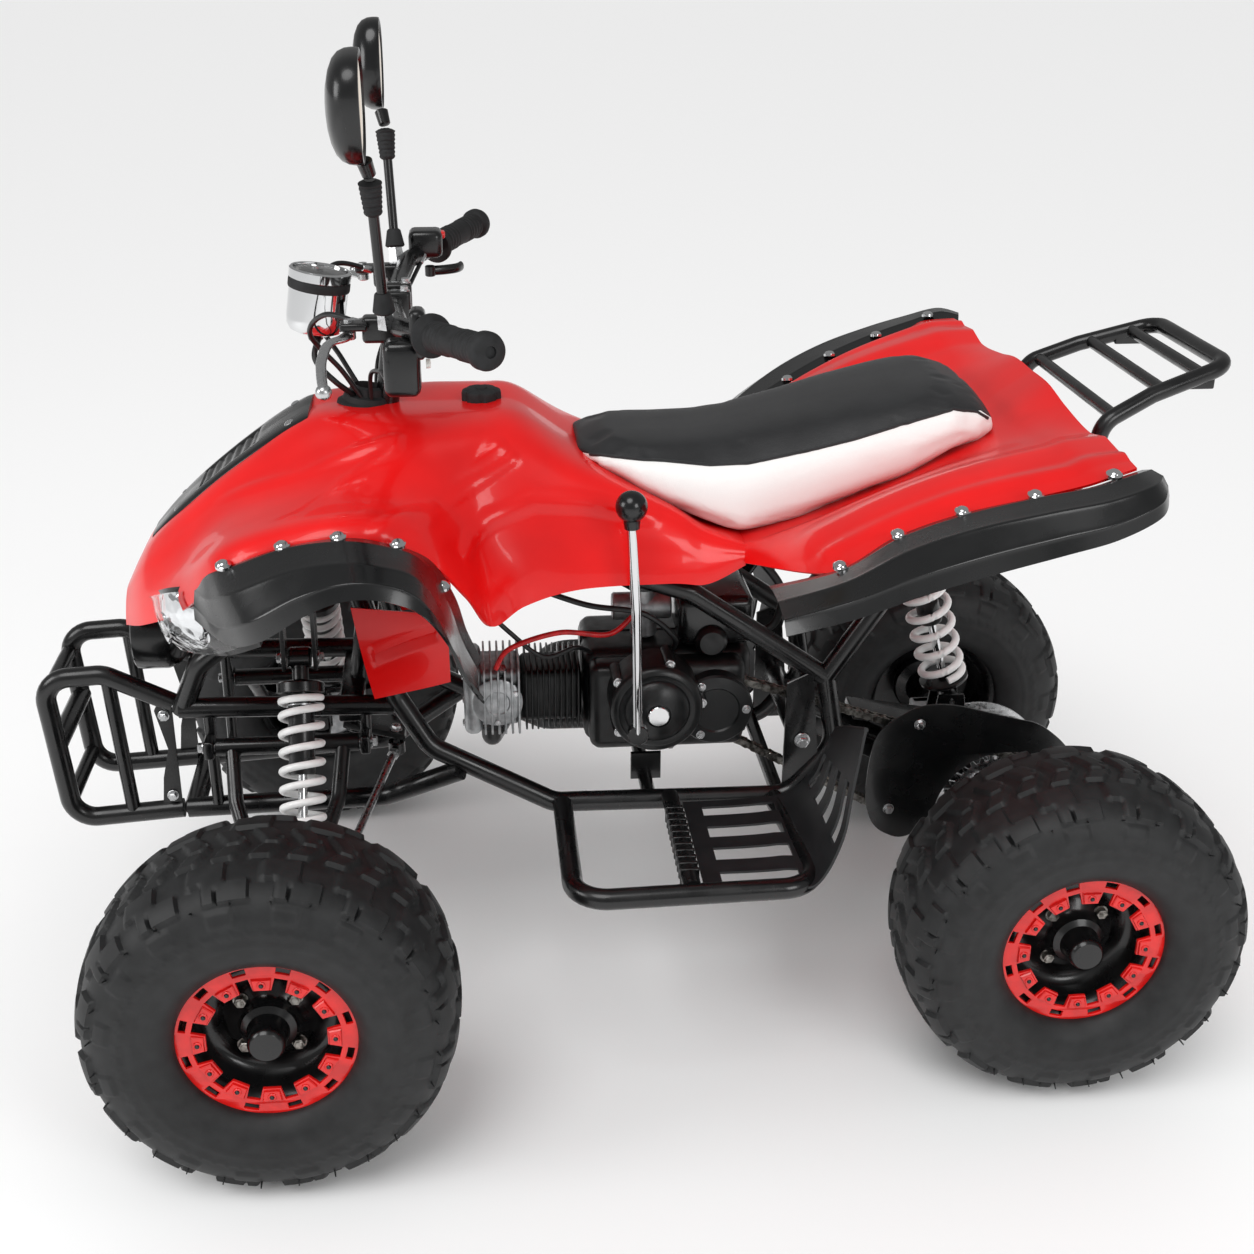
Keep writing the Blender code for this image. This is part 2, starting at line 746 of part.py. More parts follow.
def frame_tube(name, side, wider=0.0):
    """One main tube of the frame, or a wider copy that clears it where another piece sits on it."""
    return tube(both_sides(frame_lines()[name], side), TUBE_R + wider, 0.05, 1)


def make_frame():
    """Rails, upper tubes, shock towers, engine cradle, column bearings and every welded lug."""
    front = FRONT_X + 0.125
    foot_bar_rear = MID_X - 0.160
    stem = (STEM_TOP - STEM_LOW).normalized()
    head_low = stem_axis(AXLE_Z + 0.176)
    head_top = stem_axis(HEAD_TUBE_Z)
    pieces = []
    for side in (1, -1):
        pieces += [frame_tube(name, side) for name in frame_lines()]
        for along in (-1, 1):
            x = FRONT_X + along * (ARM_HALF + 0.0075)
            foot = (x, MID_RAIL_Y - 0.005, ARM_PIVOT_Z - 0.004)
            if along > 0:
                foot = (x, LOW_RAIL_Y - 0.004, LOW_RAIL_Z)
            post = [(x, MID_RAIL_Y - 0.004, MID_RAIL_Z - 0.002), foot]
            pieces.append(wire(both_sides(post, side), 0.0070, 6))
            lug = mirrored((x, ARM_PIVOT_Y, ARM_PIVOT_Z), side)
            pieces.append(box(lug - Vector((0.006, 0.0125, 0.012)), lug + Vector((0.006, 0.0125, 0.012))))
            web = mirrored((x, ARM_PIVOT_Y - 0.014, ARM_PIVOT_Z), side)
            pieces.append(box(web - Vector((0.005, 0.009, 0.007)), web + Vector((0.005, 0.009, 0.007))))
        for along in (-1, 1):
            tower = [
                (side * (SHOCK_TOP.y - 0.016), AXLE_Z + 0.372),
                (side * (SHOCK_TOP.y + 0.010), AXLE_Z + 0.372),
                (side * (SHOCK_TOP.y + 0.012), SHOCK_TOP.z - 0.012),
                (side * (SHOCK_TOP.y - 0.012), SHOCK_TOP.z - 0.012),
            ]
            pieces.append(plate([tower], 0.005, upright_yz(SHOCK_TOP.x + along * 0.018)))
        bolt = mirrored(SHOCK_TOP, side)
        pieces.append(rod(bolt - Vector((0.026, 0, 0)), bolt + Vector((0.026, 0, 0)), 0.0042, 10))
        bracket = [
            (SWING_X - 0.026, LOW_RAIL_Z - 0.004),
            (SWING_X + 0.022, LOW_RAIL_Z - 0.004),
            (SWING_X + 0.022, MID_RAIL_Z + 0.015),
            (SWING_X - 0.010, MID_RAIL_Z + 0.030),
        ]
        pieces.append(plate([bracket], 0.006, upright_xz(side * (CRADLE_Y - 0.004))))
        tab = [(MID_X + 0.032, LOW_RAIL_Z), (MID_X - 0.006, LOW_RAIL_Z)]
        tab += [(MID_X - 0.006, ENGINE_FLOOR_Z), (MID_X + 0.032, ENGINE_FLOOR_Z)]
        pieces.append(plate([tab], 0.006, upright_xz(side * 0.060)))
    crosses = [
        ((front - 0.004, MID_RAIL_Y, MID_RAIL_Z), TUBE_R),
        ((front - 0.002, LOW_RAIL_Y - 0.010, LOW_RAIL_Z - 0.009), TUBE_R),
        ((FRONT_X - 0.118, MID_RAIL_Y, MID_RAIL_Z - 0.006), SMALL_TUBE_R),
        ((MID_X + 0.013, CRADLE_Y, LOW_RAIL_Z - 0.002), SMALL_TUBE_R),
        ((foot_bar_rear + 0.012, CRADLE_Y, LOW_RAIL_Z - 0.003), SMALL_TUBE_R),
        ((REAR_X + 0.104, 0.0935, AXLE_Z + 0.398), SMALL_TUBE_R),
        ((REAR_X + 0.002, 0.092, AXLE_Z + 0.447), SMALL_TUBE_R),
    ]
    for (x, y, z), radius in crosses:
        pieces.append(rod((x, -y, z), (x, y, z), radius, 8))
    pieces.append(rod(head_low - stem * 0.010, head_low + stem * 0.010, STEM_R + 0.008, 10))
    pieces.append(rod(head_top - stem * 0.022, head_top + stem * 0.022, STEM_R + 0.008, 10))
    bridge_low = (head_low.x - 0.010, -MID_RAIL_Y, head_low.z - 0.004)
    bridge_high = (head_low.x + 0.020, MID_RAIL_Y, head_low.z + 0.020)
    pieces.append(box(bridge_low, bridge_high))
    for along in (-1, 1):
        ear_y = sorted((along * 0.0155, along * 0.0205))
        ear_low = (REAR_SHOCK_TOP.x - 0.036, ear_y[0], REAR_SHOCK_TOP.z - 0.012)
        ear_high = (REAR_SHOCK_TOP.x + 0.012, ear_y[1], REAR_SHOCK_TOP.z + 0.014)
        pieces.append(box(ear_low, ear_high))
    shock_bolt = Vector((0, 0.026, 0))
    pieces.append(rod(REAR_SHOCK_TOP - shock_bolt, REAR_SHOCK_TOP + shock_bolt, 0.0042, 10))
    pieces.append(rod((SWING_X, -CRADLE_Y, SWING_Z), (SWING_X, CRADLE_Y, SWING_Z), 0.0075, 10))
    cuts = [rod(head_low - stem * 0.06, head_top + stem * 0.06, STEM_R + RUNNING_GAP, 12)]
    for side in (1, -1):
        for along in (-1, 1):
            lug = mirrored((FRONT_X + along * (ARM_HALF + 0.0075), ARM_PIVOT_Y, ARM_PIVOT_Z), side)
            half = Vector((0.012, 0, 0))
            cuts.append(rod(lug - half, lug + half, 0.006 + RUNNING_GAP, 8))
    return finish_part(fuse(pieces, cuts), "frame", BLACK_PAINT)


# Rear suspension and drive


def bar(start, end, width, height):
    """A flat or square bar between two points, its width across the machine."""
    start, end = Vector(start), Vector(end)
    along = (end - start).normalized()
    across = Vector((0, 1, 0))
    up = along.cross(across).normalized()
    turn = Matrix((along, across, up)).transposed().to_4x4()
    length = (end - start).length
    block = box((-length / 2, -width / 2, -height / 2), (length / 2, width / 2, height / 2))
    block.data.transform(Matrix.Translation((start + end) / 2) @ turn)
    return block


def strip(line, thickness, y_low, y_high):
    """A folded band across the machine, its edge following (x, z) points."""
    line = [Vector(p) for p in line]
    inner = []
    for k, point in enumerate(line):
        ahead = (line[min(k + 1, len(line) - 1)] - line[max(k - 1, 0)]).normalized()
        inner.append(point + Vector((-ahead.y, ahead.x)) * thickness)
    outline = [tuple(p) for p in line] + [tuple(p) for p in reversed(inner)]
    return plate([outline], y_high - y_low, upright_xz((y_low + y_high) / 2))


def guard_outline():
    """The chain guard's side plate about the axle, with its round opening."""
    top = [(0.105, 0.169), (-0.005, 0.137), (-0.039, 0.129), (-0.075, 0.099), (-0.091, 0.072)]
    opening = DISC_R - 0.004
    arc = []
    for k in range(9):
        angle = math.radians(146 - k * 20.5)
        arc.append((opening * math.cos(angle), opening * math.sin(angle)))
    bottom = [
        (0.128, -0.034), (0.168, -0.014), (0.182, 0.026), (0.150, 0.012), (0.124, 0.040),
        (0.118, 0.090),
    ]
    return top, arc, bottom


def make_swing_arm():
    """Pivot sleeve, two arms, axle carrier, shock ears, brake bracket and the chain guard."""
    pivot = Vector((SWING_X, 0, SWING_Z))
    carrier = Vector((REAR_X, 0, AXLE_Z))
    across = Vector((0, 1, 0))
    pieces = [
        rod(pivot - across * 0.045, pivot + across * 0.045, 0.016, 12),
        rod(carrier - across * 0.042, carrier + across * 0.042, 0.030, 14),
    ]
    for side in (1, -1):
        offset = across * SWING_Y * side
        pieces.append(bar(pivot + offset, carrier + offset, 0.020, 0.026))
    middle = pivot.lerp(carrier, 0.42)
    pieces.append(rod(middle - across * SWING_Y, middle + across * SWING_Y, 0.011, 8))
    for side in (1, -1):
        ear = [
            (REAR_SHOCK_LOW.x - 0.014, AXLE_Z + 0.020),
            (REAR_SHOCK_LOW.x + 0.034, AXLE_Z + 0.040),
            (REAR_SHOCK_LOW.x + 0.012, REAR_SHOCK_LOW.z + 0.010),
            (REAR_SHOCK_LOW.x - 0.012, REAR_SHOCK_LOW.z + 0.010),
        ]
        pieces.append(plate([ear], 0.005, upright_xz(side * 0.0205)))
    pieces.append(rod(REAR_SHOCK_LOW - across * 0.026, REAR_SHOCK_LOW + across * 0.026, SHOCK_BOLT_R))
    top, arc, bottom = guard_outline()
    guard_y = CHAIN_Y + 0.021
    outline = [(REAR_X + x, AXLE_Z + z) for x, z in top + arc + bottom]
    pieces.append(plate([outline], 0.003, upright_xz(guard_y)))
    band = [(REAR_X + x, AXLE_Z + z) for x, z in top]
    pieces.append(strip(band, 0.003, guard_y - 0.040, guard_y + 0.0014))
    stay = Vector((REAR_X + 0.108, 0, AXLE_Z + 0.066))
    pieces.append(rod(stay + across * 0.028, stay + across * guard_y, 0.006, 8))
    caliper = Vector((REAR_X + 0.064, DISC_Y, AXLE_Z + 0.080))
    pieces.append(
        box(
            (caliper.x - 0.022, DISC_Y - 0.020, caliper.z - 0.014),
            (caliper.x + 0.026, DISC_Y + 0.020, caliper.z + 0.030),
            0.004,
        )
    )
    pieces.append(
        box(
            (caliper.x - 0.010, DISC_Y + 0.012, AXLE_Z + 0.020),
            (caliper.x + 0.022, -SWING_Y + 0.004, caliper.z + 0.004),
        )
    )
    slot = plate([ring_points(DISC_R + 0.003, 24)], 0.010, upright_xz(DISC_Y))
    slot.data.transform(Matrix.Translation((REAR_X, 0, AXLE_Z)))
    bores = [
        slot,
        rod(pivot - across * 0.08, pivot + across * 0.08, 0.0075 + RUNNING_GAP, 10),
        rod(carrier - across * 0.08, carrier + across * 0.08, AXLE_R + RUNNING_GAP, 14),
    ]
    return finish_part(fuse(pieces, bores), "swing_arm", BLACK_PAINT, pivot)


def make_rear_axle():
    """The solid axle with a hub flange inside each wheel and the brake disc."""
    centre = Vector((REAR_X, 0, AXLE_Z))
    across = Vector((0, 1, 0))
    inner = REAR_Y - 0.0356
    pieces = [rod(centre - across * inner, centre + across * inner, AXLE_R, 14)]
    for side in (1, -1):
        pieces.append(
            rod(centre + across * side * (inner - 0.010), centre + across * side * inner, 0.034, 12),
        )
        pieces.append(
            rod(
                centre + across * side * (inner - 0.004),
                centre + across * side * (REAR_Y + 0.006), SPINDLE_R, 12,
            )
        )
    pieces.append(rod(centre + across * (DISC_Y - 0.012), centre + across * (DISC_Y + 0.012), 0.028, 12))
    disc = plate([ring_points(DISC_R, 24)], 0.004, upright_xz(DISC_Y))
    disc.data.transform(Matrix.Translation((REAR_X, 0, AXLE_Z)))
    pieces.append(disc)
    return finish_part(fuse(pieces), "rear_axle", STEEL, centre)


def make_sprocket():
    """The driven sprocket: teeth that end just inside the chain, and round lightening holes."""
    tip = PITCH_R - 0.0064
    outline = []
    for k in range(SPROCKET_TEETH):
        for share, radius in ((0.0, tip), (0.5, tip - 0.004)):
            angle = 2 * math.pi * (k + share) / SPROCKET_TEETH
            outline.append((radius * math.cos(angle), radius * math.sin(angle)))
    bore = ring_points(AXLE_R + 0.0006, 14)
    holes = []
    for x, y in ring_points(0.042, 5, 0.3):
        holes.append([(x + u, y + v) for u, v in ring_points(0.011, 6)])
    disc = plate([outline, bore] + holes, SPROCKET_T, upright_xz(CHAIN_Y))
    disc.data.transform(Matrix.Translation((REAR_X, 0, AXLE_Z)))
    return finish_part(disc, "rear_sprocket", STEEL, (REAR_X, CHAIN_Y, AXLE_Z))


def chain_line():
    """Places and outward directions along the chain's pitch line, one for each pin."""
    rear = Vector((REAR_X, AXLE_Z))
    drive = Vector((OUTPUT_X, OUTPUT_Z))
    apart = drive - rear
    length = apart.length
    lean = math.asin((PITCH_R - OUTPUT_R) / length)
    heading = math.atan2(apart.y, apart.x)
    upper = heading + math.pi / 2 - lean
    lower = heading - math.pi / 2 + lean
    straight = length * math.cos(lean)
    rear_arc = PITCH_R * (2 * math.pi - (upper - lower))
    drive_arc = OUTPUT_R * (upper - lower)
    total = 2 * straight + rear_arc + drive_arc
    count = 2 * round(total / CHAIN_PITCH / 2)
    places = []
    for k in range(count):
        s = total * k / count
        if s < straight:
            out = Vector((math.cos(upper), math.sin(upper)))
            point = rear + out * PITCH_R + (drive + out * OUTPUT_R - rear - out * PITCH_R) * (s / straight)
        elif s < straight + drive_arc:
            angle = upper - (s - straight) / OUTPUT_R
            out = Vector((math.cos(angle), math.sin(angle)))
            point = drive + out * OUTPUT_R
        elif s < 2 * straight + drive_arc:
            out = Vector((math.cos(lower), math.sin(lower)))
            share = (s - straight - drive_arc) / straight
            point = drive + out * OUTPUT_R + (rear + out * PITCH_R - drive - out * OUTPUT_R) * share
        else:
            angle = lower - (s - 2 * straight - drive_arc) / PITCH_R
            out = Vector((math.cos(angle), math.sin(angle)))
            point = rear + out * PITCH_R
        places.append((point, out))
    return places


def make_chain():
    """A closed band of links, broad and narrow by turns as outer and inner plates are."""
    bm = bmesh.new()
    rows = []
    for k, (point, out) in enumerate(chain_line()):
        reach = 0.0055
        across = 0.0065 if k % 2 == 0 else 0.0050
        outer = point + out * reach
        inner = point - out * reach
        ring = [
            (outer.x, CHAIN_Y - across, outer.y),
            (outer.x, CHAIN_Y + across, outer.y),
            (inner.x, CHAIN_Y + across, inner.y),
            (inner.x, CHAIN_Y - across, inner.y),
        ]
        rows.append([bm.verts.new(p) for p in ring])
    for k, row in enumerate(rows):
        following = rows[(k + 1) % len(rows)]
        for m in range(4):
            n = (m + 1) % 4
            bm.faces.new((row[m], row[n], following[n], following[m]))
    bmesh.ops.recalc_face_normals(bm, faces=bm.faces)
    return finish_part(from_bmesh(bm), "drive_chain", STEEL, (REAR_X, CHAIN_Y, AXLE_Z), smooth=20)


def make_rear_drive():
    make_swing_arm()
    make_rear_axle()
    make_sprocket()
    make_chain()
    make_shock("rear", "", REAR_SHOCK_TOP, REAR_SHOCK_LOW, SPRING_CURLS, 0.0270, 0.0042)


# Steering


def make_stem():
    """The column with its top plate and the pitman plate that works the tie rods."""
    axis = (STEM_TOP - STEM_LOW).normalized()
    pieces = [rod(STEM_LOW - axis * 0.004, STEM_TOP, STEM_R, 12)]
    top = STEM_TOP.z
    pieces.append(box((BAR_X - 0.022, -0.030, top - 0.010), (BAR_X + 0.022, 0.030, BAR_Z - 0.0114), 0.0015))
    half = PITMAN_T / 2
    lug = STEER_ARM + 0.012
    outline = [(0.016, 0.016), (0.016, -0.016), (-lug, -0.036), (-lug, 0.036)]
    pitman = plate(
        [outline], PITMAN_T,
        Matrix.Translation(STEM_LOW) @ Matrix.Rotation(-math.atan(0.145), 4, "Y"),
    )
    pieces.append(pitman)
    for side in (1, -1):
        spot = STEM_LOW + Vector((-STEER_ARM, side * 0.022, -0.0065))
        pieces.append(rod(spot - axis * half, spot + axis * 0.012, 0.0075, 6))
    return finish_part(fuse(pieces), "steering_stem", BLACK_PAINT, STEM_LOW)


def grip_axis(side):
    """The root and direction of a grip's centre line."""
    root = Vector((BAR_X - 0.045, 0.244, GRIP_Z - 0.007))
    end = Vector((BAR_X - 0.098, 0.346, GRIP_Z + 0.002))
    return mirrored(root, side), mirrored(end - root, side).normalized(), (end - root).length


def make_handlebar():
    """The bar with its clamp, both control housings, lever perches and mirror stems."""
    pieces = []
    half_bar = []
    for side in (1, -1):
        root, along, length = grip_axis(side)
        bend = root - along * 0.075
        half_bar.append([root + along * length, bend])
    line = [half_bar[0][0], half_bar[0][1], Vector((BAR_X, 0.060, BAR_Z))]
    line += [Vector((BAR_X, -0.060, BAR_Z)), half_bar[1][1], half_bar[1][0]]
    pieces.append(tube(line, BAR_R, 0.05, 2, 8))
    pieces.append(box((BAR_X - 0.020, -0.028, BAR_Z - 0.011), (BAR_X + 0.020, 0.028, BAR_Z + 0.014)))
    pieces.append(bar((BAR_X + 0.010, 0, BAR_Z - 0.003), (BAR_X + 0.0513, 0, BAR_Z - 0.003), 0.030, 0.005))
    for side in (1, -1):
        root, along, length = grip_axis(side)
        pieces.append(rod(root - along * 0.052, root - along * 0.004, 0.0205, 10))
        perch = mirrored((BAR_X + 0.018, 0.140, BAR_Z), side)
        pieces.append(box(perch + Vector((-0.026, -0.018, 0.001)), perch + Vector((0.030, 0.018, 0.022))))
        lug = mirrored((BAR_X + 0.043, 0.152, BAR_Z + 0.001), side)
        pieces.append(rod(lug, lug + Vector((0, 0, 0.012)), 0.009, 6))
        pieces.append(rod(lug - Vector((0, 0, 0.0145)), lug + Vector((0, 0, 0.004)), 0.0032, 8))
        foot = mirrored((BAR_X + 0.004, 0.180, BAR_Z + 0.030), side)
        neck = mirrored((BAR_X + 0.010, 0.208, MIRROR_Z), side)
        pieces.append(rod(mirrored((BAR_X + 0.000, 0.176, BAR_Z + 0.008), side), foot, 0.010, 6))
        pieces.append(wire([foot, neck - Vector((0, 0, 0.004))], 0.005))
        pieces.append(rod(neck - Vector((0, 0, 0.022)), neck, 0.0095, 6))
    pieces.append(
        box(
            (BAR_X - 0.030, 0.196, BAR_Z - 0.052),
            (BAR_X + 0.004, 0.232, BAR_Z + 0.004),
        )
    )
    pieces.append(
        box(
            (BAR_X - 0.052, -0.236, BAR_Z + 0.008),
            (BAR_X - 0.014, -0.196, BAR_Z + 0.040),
        )
    )
    throttle = throttle_pivot()
    pieces.append(rod(throttle, throttle + Vector((0, 0, 0.018)), 0.008, 8))
    pieces.append(rod(throttle - Vector((0, 0, 0.0085)), throttle + Vector((0, 0, 0.004)), 0.0028, 8))
    return finish_part(fuse(pieces), "handlebar", BLACK_PAINT, (BAR_X, 0, BAR_Z))


def throttle_pivot():
    root, along, _ = grip_axis(-1)
    return root - along * 0.030 - Vector((0.006, 0, 0.0225))


def make_grips():
    for word, side in SIDES:
        root, along, length = grip_axis(side)
        bore = BAR_R / math.cos(math.pi / 10) + GAP
        profile = [
            (bore, 0.0),
            (0.0205, 0.0),
            (0.0205, 0.005),
            (0.0158, 0.009),
            (0.0165, length * 0.5),
            (0.0168, length - 0.008),
            (0.0210, length - 0.004),
            (0.0210, length + 0.003),
            (0.0, length + 0.004),
            (0.0, length + 0.0006),
            (bore, length + 0.0006),
        ]
        grip = turned(profile, 10, Matrix.Translation(root) @ turn_towards(along))
        finish_part(grip, f"grip_{word}", RUBBER, root)


def make_speedometer():
    """The round instrument: domed case, rubber band and raised glass."""
    centre = Vector((BAR_X + 0.087, 0, BAR_Z))
    profile = [
        (0.0, 0.040),
        (0.030, 0.038),
        (0.0345, 0.034),
        (0.0345, 0.020),
        (0.0360, 0.019),
        (0.0360, 0.010),
        (0.0345, 0.009),
        (0.0345, -0.012),
        (0.030, -0.027),
        (0.018, -0.037),
        (0.0, -0.040),
    ]
    body = turned(profile, 14, Matrix.Translation(centre) @ Matrix.Rotation(math.radians(-12), 4, "Y"))
    return finish_part(body, "speedometer", CHROME, centre)


def make_mirrors():
    for word, side in SIDES:
        base = mirrored((BAR_X + 0.010, 0.208, MIRROR_Z + GAP), side)
        bm = bmesh.new()
        bmesh.ops.create_uvsphere(bm, u_segments=10, v_segments=7, radius=1.0)
        bmesh.ops.scale(bm, vec=(0.021, 0.050, 0.057), verts=bm.verts)
        flat = [v for v in bm.verts if v.co.x < -0.009]
        for vert in flat:
            vert.co.x = -0.009 - 0.1 * (-0.009 - vert.co.x)
        tilt = Matrix.Rotation(math.radians(14), 4, "Y")
        bm.transform(Matrix.Translation(base + mirrored((0.017, 0.030, 0.070), side)) @ tilt)
        shell = from_bmesh(bm)
        neck = wire(
            [base, base + Vector((0, 0, 0.012)), base + mirrored((0.010, 0.016, 0.034), side)],
            0.0065, 8,
        )
        finish_part(fuse([shell, neck]), f"mirror_{word}", BLACK_PLASTIC, base)


def make_levers():
    for word, side in SIDES:
        pivot = mirrored((BAR_X + 0.043, 0.152, BAR_Z - 0.0032), side)
        line = [
            pivot + mirrored((0.0, 0.004, -0.003), side),
            pivot + mirrored((0.020, 0.030, -0.006), side),
            pivot + mirrored((0.024, 0.090, -0.018), side),
            pivot + mirrored((0.018, 0.146, -0.022), side),
        ]
        pieces = [
            rod(pivot - Vector((0, 0, 0.0075)), pivot + Vector((0, 0, 0.0035)), 0.0085, 10),
            tube(line, 0.0048, 0.02, 1),
            ball(line[-1], 0.0085, 8),
        ]
        hole = rod(pivot - Vector((0, 0, 0.02)), pivot + Vector((0, 0, 0.02)), 0.0032 + RUNNING_GAP, 8)
        finish_part(fuse(pieces, [hole]), f"brake_lever_{word}", CAST_ALUMINIUM, pivot)


def make_throttle():
    pivot = throttle_pivot() - Vector((0, 0, 0.0006))
    along = grip_axis(-1)[1]
    tip = pivot + along * 0.030 + Vector((-0.022, 0, -0.001))
    pieces = [
        rod(pivot - Vector((0, 0, 0.007)), pivot, 0.0075, 10),
        bar(pivot - Vector((0, 0, 0.0035)), tip - Vector((0, 0, 0.0035)), 0.008, 0.006),
        ball(tip - Vector((0, 0, 0.0035)), 0.007, 8),
    ]
    hole = rod(pivot - Vector((0, 0, 0.02)), pivot + Vector((0, 0, 0.02)), 0.0028 + RUNNING_GAP, 8)
    return finish_part(fuse(pieces, [hole]), "thumb_throttle", BLACK_PLASTIC, pivot)


def make_steering():
    make_stem()
    make_handlebar()
    make_grips()
    make_speedometer()
    make_mirrors()
    make_levers()
    make_throttle()


# Body panels and seat


def posts_on(tubes, places):
    """Upright posts from a panel down to the frame, and the wider tubes that trim them to sit on it."""
    posts, trims = [], []
    for side in (1, -1):
        for x, y, low, high in places:
            posts.append(rod((x, y * side, low), (x, y * side, high), 0.0065, 8))
        trims += [frame_tube(name, side, GAP) for name in tubes]
    return posts, trims


def make_skin(name, rows, finish, thickness=PANEL_T, cuts=(), extra=()):
    """A moulded panel: rows of (y, z) points at stations of x, mirrored and given a wall."""
    sections = []
    for x, half in rows:
        left = [(x, y, z) for y, z in half]
        right = [(x, -y, z) for y, z in reversed(half[1:])]
        sections.append(right + left)
    skin = thicken(loft(sections), thickness)
    return finish_part(fuse([skin] + list(extra), cuts), name, finish, smooth=24)


def deck_z(x):
    """The height of the flat deck that carries the seat."""
    stations = [
        (REAR_X + 0.055, 0.7240),
        (REAR_X + 0.120, 0.6970),
        (REAR_X + 0.230, 0.6470),
        (REAR_X + 0.290, 0.6245),
        (REAR_X + 0.360, 0.6060),
        (MID_X, 0.6445),
        (FRONT_X - 0.350, 0.7000),
    ]
    stations = [(sx, AXLE_Z + z - 0.203) for sx, z in stations]
    for (x0, z0), (x1, z1) in zip(stations, stations[1:]):
        if x <= x1:
            return z0 + (z1 - z0) * (x - x0) / (x1 - x0)
    return stations[-1][1]


def lifted(points):
    """Panel heights are laid out for the nominal axle height, so they follow it."""
    return [(y, z + AXLE_Z - 0.203) for y, z in points]


def cover_rows():
    rows = [
        (
            FRONT_X + 0.176,
            [(0, 0.538), (0.030, 0.538), (0.042, 0.532), (0.052, 0.524), (0.060, 0.514), (0.064, 0.504)],
        ),
        (
            FRONT_X + 0.145,
            [(0, 0.590), (0.048, 0.590), (0.078, 0.570), (0.098, 0.556), (0.112, 0.542), (0.118, 0.526)],
        ),
        (
            FRONT_X + 0.090,
            [(0, 0.642), (0.058, 0.642), (0.100, 0.618), (0.135, 0.606), (0.172, 0.594), (0.184, 0.568)],
        ),
        (
            FRONT_X + 0.030,
            [(0, 0.690), (0.060, 0.690), (0.110, 0.660), (0.165, 0.658), (0.232, 0.656), (0.250, 0.632)],
        ),
        (
            FRONT_X - 0.050,
            [(0, 0.740), (0.060, 0.740), (0.118, 0.694), (0.180, 0.684), (0.250, 0.684), (0.270, 0.664)],
        ),
        (
            FRONT_X - 0.120,
            [(0, 0.744), (0.062, 0.744), (0.112, 0.722), (0.170, 0.692), (0.246, 0.690), (0.268, 0.670)],
        ),
        (
            FRONT_X - 0.175,
            [(0, 0.745), (0.064, 0.745), (0.108, 0.734), (0.160, 0.690), (0.236, 0.672), (0.262, 0.652)],
        ),
        (
            FRONT_X - 0.218,
            [(0, 0.745), (0.064, 0.745), (0.108, 0.732), (0.142, 0.668), (0.190, 0.624), (0.236, 0.596)],
        ),
        (
            FRONT_X - 0.285,
            [(0, 0.745), (0.062, 0.745), (0.106, 0.728), (0.134, 0.660), (0.150, 0.600), (0.160, 0.548)],
        ),
    ]
    rows = [(x, lifted(points)) for x, points in rows]
    for x, sides in (
        (FRONT_X - 0.350, [(0.134, 0.678), (0.152, 0.606), (0.160, 0.568)]),
        (MID_X, [(0.136, 0.640), (0.152, 0.606), (0.160, 0.572)]),
        (REAR_X + 0.3605, [(0.136, 0.604), (0.142, 0.596), (0.144, 0.588)]),
    ):
        z = deck_z(x)
        rows.append((x, [(0, z), (0.065, z), (0.118, z)] + lifted(sides)))
    return rows


def make_cover():
    column = stem_axis(AXLE_Z + 0.540)
    opening = box((column.x - 0.042, -0.046, column.z - 0.08), (column.x + 0.042, 0.046, column.z + 0.12))
    places = [
        (MID_X + 0.080, 0.091, AXLE_Z + 0.383, deck_z(MID_X + 0.0735) - 0.0008),
        (FRONT_X + 0.030, 0.102, AXLE_Z + 0.312, AXLE_Z + 0.4615),
    ]
    posts, trims = posts_on(("back", "upper"), places)
    return make_skin("body_cover", cover_rows(), RED_PLASTIC, cuts=[opening] + trims, extra=posts)


def make_fender():
    rows = []
    stations = (
        (REAR_X + 0.3595, [(0.136, 0.604), (0.146, 0.600), (0.152, 0.590)]),
        (REAR_X + 0.290, [(0.165, 0.636), (0.240, 0.638), (0.296, 0.632)]),
        (REAR_X + 0.230, [(0.172, 0.664), (0.250, 0.674), (0.300, 0.672)]),
        (REAR_X + 0.170, [(0.182, 0.700), (0.262, 0.706), (0.316, 0.700)]),
        (REAR_X + 0.120, [(0.188, 0.717), (0.276, 0.724), (0.330, 0.718)]),
        (REAR_X + 0.055, [(0.196, 0.735), (0.286, 0.742), (0.344, 0.738)]),
    )
    for x, sides in stations:
        z = deck_z(x)
        rows.append((x, [(0, z), (0.065, z), (0.132, z)] + lifted(sides)))
    tail = [(0, 0.742), (0.065, 0.742), (0.132, 0.738), (0.200, 0.744), (0.290, 0.750), (0.350, 0.748)]
    rows.append((REAR_X + 0.030, lifted(tail)))
    tip = [(0, 0.768), (0.060, 0.768), (0.110, 0.758), (0.190, 0.748), (0.286, 0.752), (0.336, 0.754)]
    rows.append((REAR_X - 0.008, lifted(tip)))
    places = [
        (REAR_X + 0.042, 0.092, AXLE_Z + 0.440, AXLE_Z + 0.5249),
        (REAR_X + 0.130, 0.0945, AXLE_Z + 0.373, deck_z(REAR_X + 0.1365) - 0.0008),
    ]
    posts, trims = posts_on(("strut",), places)
    return make_skin("rear_fender", rows, RED_PLASTIC, cuts=trims, extra=posts)


def edge_skin(name, side, inner, outer, finish):
    """A flared edge strip: a folded band from an inner edge to an outer one."""
    sections = []
    for a, b in zip(inner, outer):
        a, b = Vector(a), Vector(b)
        fold = a.lerp(b, 0.62) + Vector((0, 0.004, 0.014))
        sections.append([mirrored(p, side) for p in (a, a.lerp(fold, 0.5), fold, b)])
    return finish_part(thicken(loft(sections), 0.004), name, finish, smooth=20)


